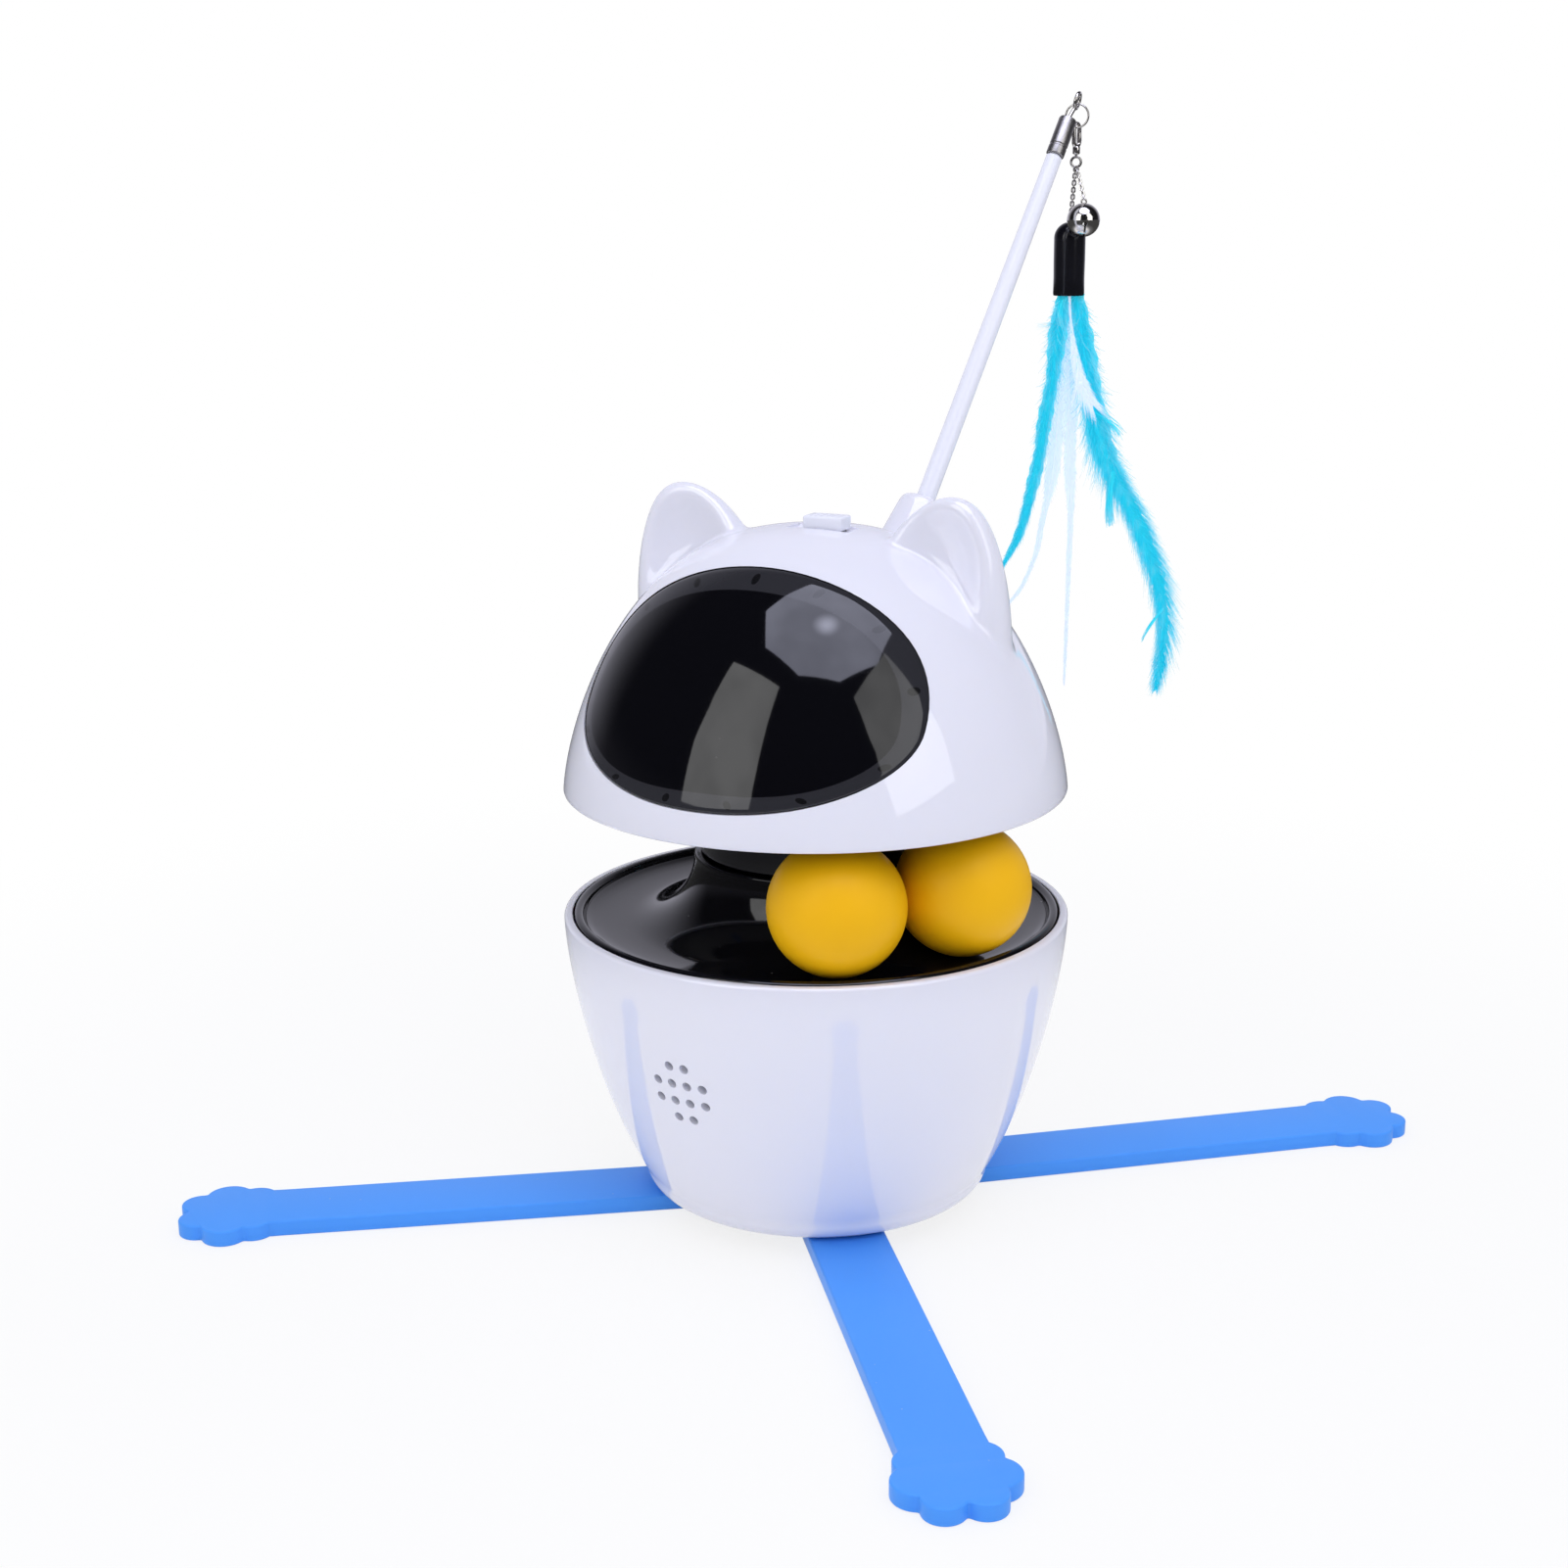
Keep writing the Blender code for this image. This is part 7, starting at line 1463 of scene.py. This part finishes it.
def build_sky(studio):
    """Even light from all round, white where it is seen."""
    world = bpy.data.worlds.new("studio")
    bpy.context.scene.world = world
    world.use_nodes = True
    tree = world.node_tree
    soft, white = (node(tree, "Background", {"Color": tone, "Strength": strength})[0]
                   for tone, strength in (((0.97, 0.98, 1.0, 1.0), studio.sky), (WHITE, 1.0)))
    seen = rays(tree, "Camera", "Glossy", "Transmission")
    feed(tree, tree.nodes["World Output"].inputs, {"Surface": mix_shaders(tree, seen, soft, white)})


def build_softbox(name, points, strength, gloss, heart, tone):
    """Glowing panel that lights the toy and shows only in its gloss, there stronger and with a bright heart."""
    mesh = bpy.data.meshes.new(name)
    mesh.from_pydata(points, [], [tuple(range(len(points)))])
    item = put(name, mesh)
    tree, output, where = bare_material(item, name)
    middle = sum((Vector(point) for point in points), Vector()) / len(points)
    core = remap(tree, distance(tree, where, middle), 0.0, 0.12, 1.0 + heart, 1.0)
    folds = remap(tree, noise(tree, where, 2.5), 0.3, 0.7, 0.82, 1.08)
    level = remap(tree, rays(tree, "Glossy"), 0.0, 1.0, strength, gloss)
    glow = node(tree, "Emission", {"Color": tone, "Strength": times(tree, times(tree, core, folds), level)})
    feed(tree, output, {"Surface": glow[0]})
    stage(item, ("camera", "shadow"))


def build_vault():
    """Dark vault of the studio that only gloss sees, paler behind the toy and near the floor."""
    vault = primitive("uv_sphere", "dark_studio_vault", segments=48, ring_count=24, radius=2.6)
    pick(vault, "FACE", lambda centre: centre.z < 0.0)
    bpy.ops.mesh.delete(type="FACE")
    bpy.ops.object.mode_set(mode="OBJECT")
    tree, output, where = bare_material(vault, "dark studio cloth")
    _, back, up = node(tree, "SeparateXYZ", {0: where})
    level = plus(tree, remap(tree, back, 0.9, 2.6, 0.012, 0.66), remap(tree, up, 0.05, 0.7, 0.10, 0.0))
    feed(tree, output, {"Surface": node(tree, "Emission", {"Color": (0.87, 0.86, 1.0, 1.0), "Strength": level})[0]})
    stage(vault, ("camera", "diffuse", "transmission", "shadow"))


def build_lights(studio):
    """Three softboxes and the studio's vault."""
    for key, (points, *settings) in SOFTBOXES.items():
        build_softbox(f"{key}_softbox", points, getattr(studio, key), *settings)
    build_vault()


# Operators


class CATTOY_OT_finishes(bpy.types.Operator):
    """Make every finish and give the CAD nodes theirs"""

    bl_idname = "cattoy.finishes"
    bl_label = "Finishes"

    def execute(self, context):
        make_finishes(context.scene.cat_toy_finishes)
        return {"FINISHED"}


class CATTOY_OT_bowl(bpy.types.Operator):
    """Model the bowl"""

    bl_idname = "cattoy.bowl"
    bl_label = "Bowl"

    def execute(self, context):
        build_bowl(context.scene.cat_toy_base)
        return {"FINISHED"}


class CATTOY_OT_track(bpy.types.Operator):
    """Model the ball track"""

    bl_idname = "cattoy.track"
    bl_label = "Ball track"

    def execute(self, context):
        build_tray(context.scene.cat_toy_base)
        return {"FINISHED"}


class CATTOY_OT_straps(bpy.types.Operator):
    """Model the four straps"""

    bl_idname = "cattoy.straps"
    bl_label = "Straps"

    def execute(self, context):
        build_straps(context.scene.cat_toy_base)
        return {"FINISHED"}


class CATTOY_OT_balls(bpy.types.Operator):
    """Model the two balls"""

    bl_idname = "cattoy.balls"
    bl_label = "Balls"

    def execute(self, context):
        build_balls(context.scene.cat_toy_base)
        return {"FINISHED"}


class CATTOY_OT_head(bpy.types.Operator):
    """Model the head with its ears"""

    bl_idname = "cattoy.head"
    bl_label = "Head"

    def execute(self, context):
        build_head(context.scene.cat_toy_head)
        return {"FINISHED"}


class CATTOY_OT_visor(bpy.types.Operator):
    """Model the visor"""

    bl_idname = "cattoy.visor"
    bl_label = "Visor"

    def execute(self, context):
        build_visor(context.scene.cat_toy_head)
        return {"FINISHED"}


class CATTOY_OT_neck(bpy.types.Operator):
    """Model the neck disc and the slide knob"""

    bl_idname = "cattoy.neck"
    bl_label = "Neck and knob"

    def execute(self, context):
        build_neck(context.scene.cat_toy_head)
        build_knob(context.scene.cat_toy_head)
        return {"FINISHED"}


class CATTOY_OT_wand(bpy.types.Operator):
    """Model the wand"""

    bl_idname = "cattoy.wand"
    bl_label = "Wand"

    def execute(self, context):
        build_wand(context.scene.cat_toy_lure)
        return {"FINISHED"}


class CATTOY_OT_hardware(bpy.types.Operator):
    """Model the rings, clasp, chains, bell and sleeve"""

    bl_idname = "cattoy.hardware"
    bl_label = "Lure hardware"

    def execute(self, context):
        sizes = context.scene.cat_toy_lure
        for build in (build_split_ring, build_clasp, build_swivel, build_bell, build_sleeve):
            build(sizes)
        return {"FINISHED"}


class CATTOY_OT_feathers(bpy.types.Operator):
    """Model the feathers"""

    bl_idname = "cattoy.feathers"
    bl_label = "Feathers"

    def execute(self, context):
        build_feathers(context.scene.cat_toy_lure)
        return {"FINISHED"}


class CATTOY_OT_studio(bpy.types.Operator):
    """Set up the floor, the light and the camera"""

    bl_idname = "cattoy.studio"
    bl_label = "Studio"

    def execute(self, context):
        studio = context.scene.cat_toy_studio
        build_camera(studio)
        build_floor()
        build_sky(studio)
        build_lights(studio)
        context.scene.view_settings.view_transform = "Standard"
        return {"FINISHED"}


OPERATORS = (CATTOY_OT_finishes, CATTOY_OT_bowl, CATTOY_OT_track, CATTOY_OT_straps, CATTOY_OT_balls,
             CATTOY_OT_head, CATTOY_OT_visor, CATTOY_OT_neck, CATTOY_OT_wand, CATTOY_OT_hardware,
             CATTOY_OT_feathers, CATTOY_OT_studio)


class CATTOY_PT_sidebar(bpy.types.Panel):
    """Lists the sizes, colours and steps"""

    bl_label = "Automatic cat toy"
    bl_idname = "CATTOY_PT_sidebar"
    bl_space_type = "VIEW_3D"
    bl_region_type = "UI"
    bl_category = "Cat toy"

    def draw(self, context):
        for operator in OPERATORS:
            self.layout.operator(operator.bl_idname)
        for key, group in GROUPS.items():
            box = self.layout.box()
            values = getattr(context.scene, key)
            for name in group.__annotations__:
                box.prop(values, name)


def register():
    """Registers the properties, the operators and the panel."""
    for key, group in GROUPS.items():
        bpy.utils.register_class(group)
        setattr(bpy.types.Scene, key, bpy.props.PointerProperty(type=group))
    for item in (*OPERATORS, CATTOY_PT_sidebar):
        bpy.utils.register_class(item)


def unregister():
    """Takes them away again."""
    for item in (CATTOY_PT_sidebar, *reversed(OPERATORS)):
        bpy.utils.unregister_class(item)
    for key, group in GROUPS.items():
        delattr(bpy.types.Scene, key)
        bpy.utils.unregister_class(group)


def main():
    """Builds the toy and its studio step by step."""
    register()
    for operator in OPERATORS:
        family, step = operator.bl_idname.split(".")
        getattr(getattr(bpy.ops, family), step)()


if __name__ == "__main__":
    main()
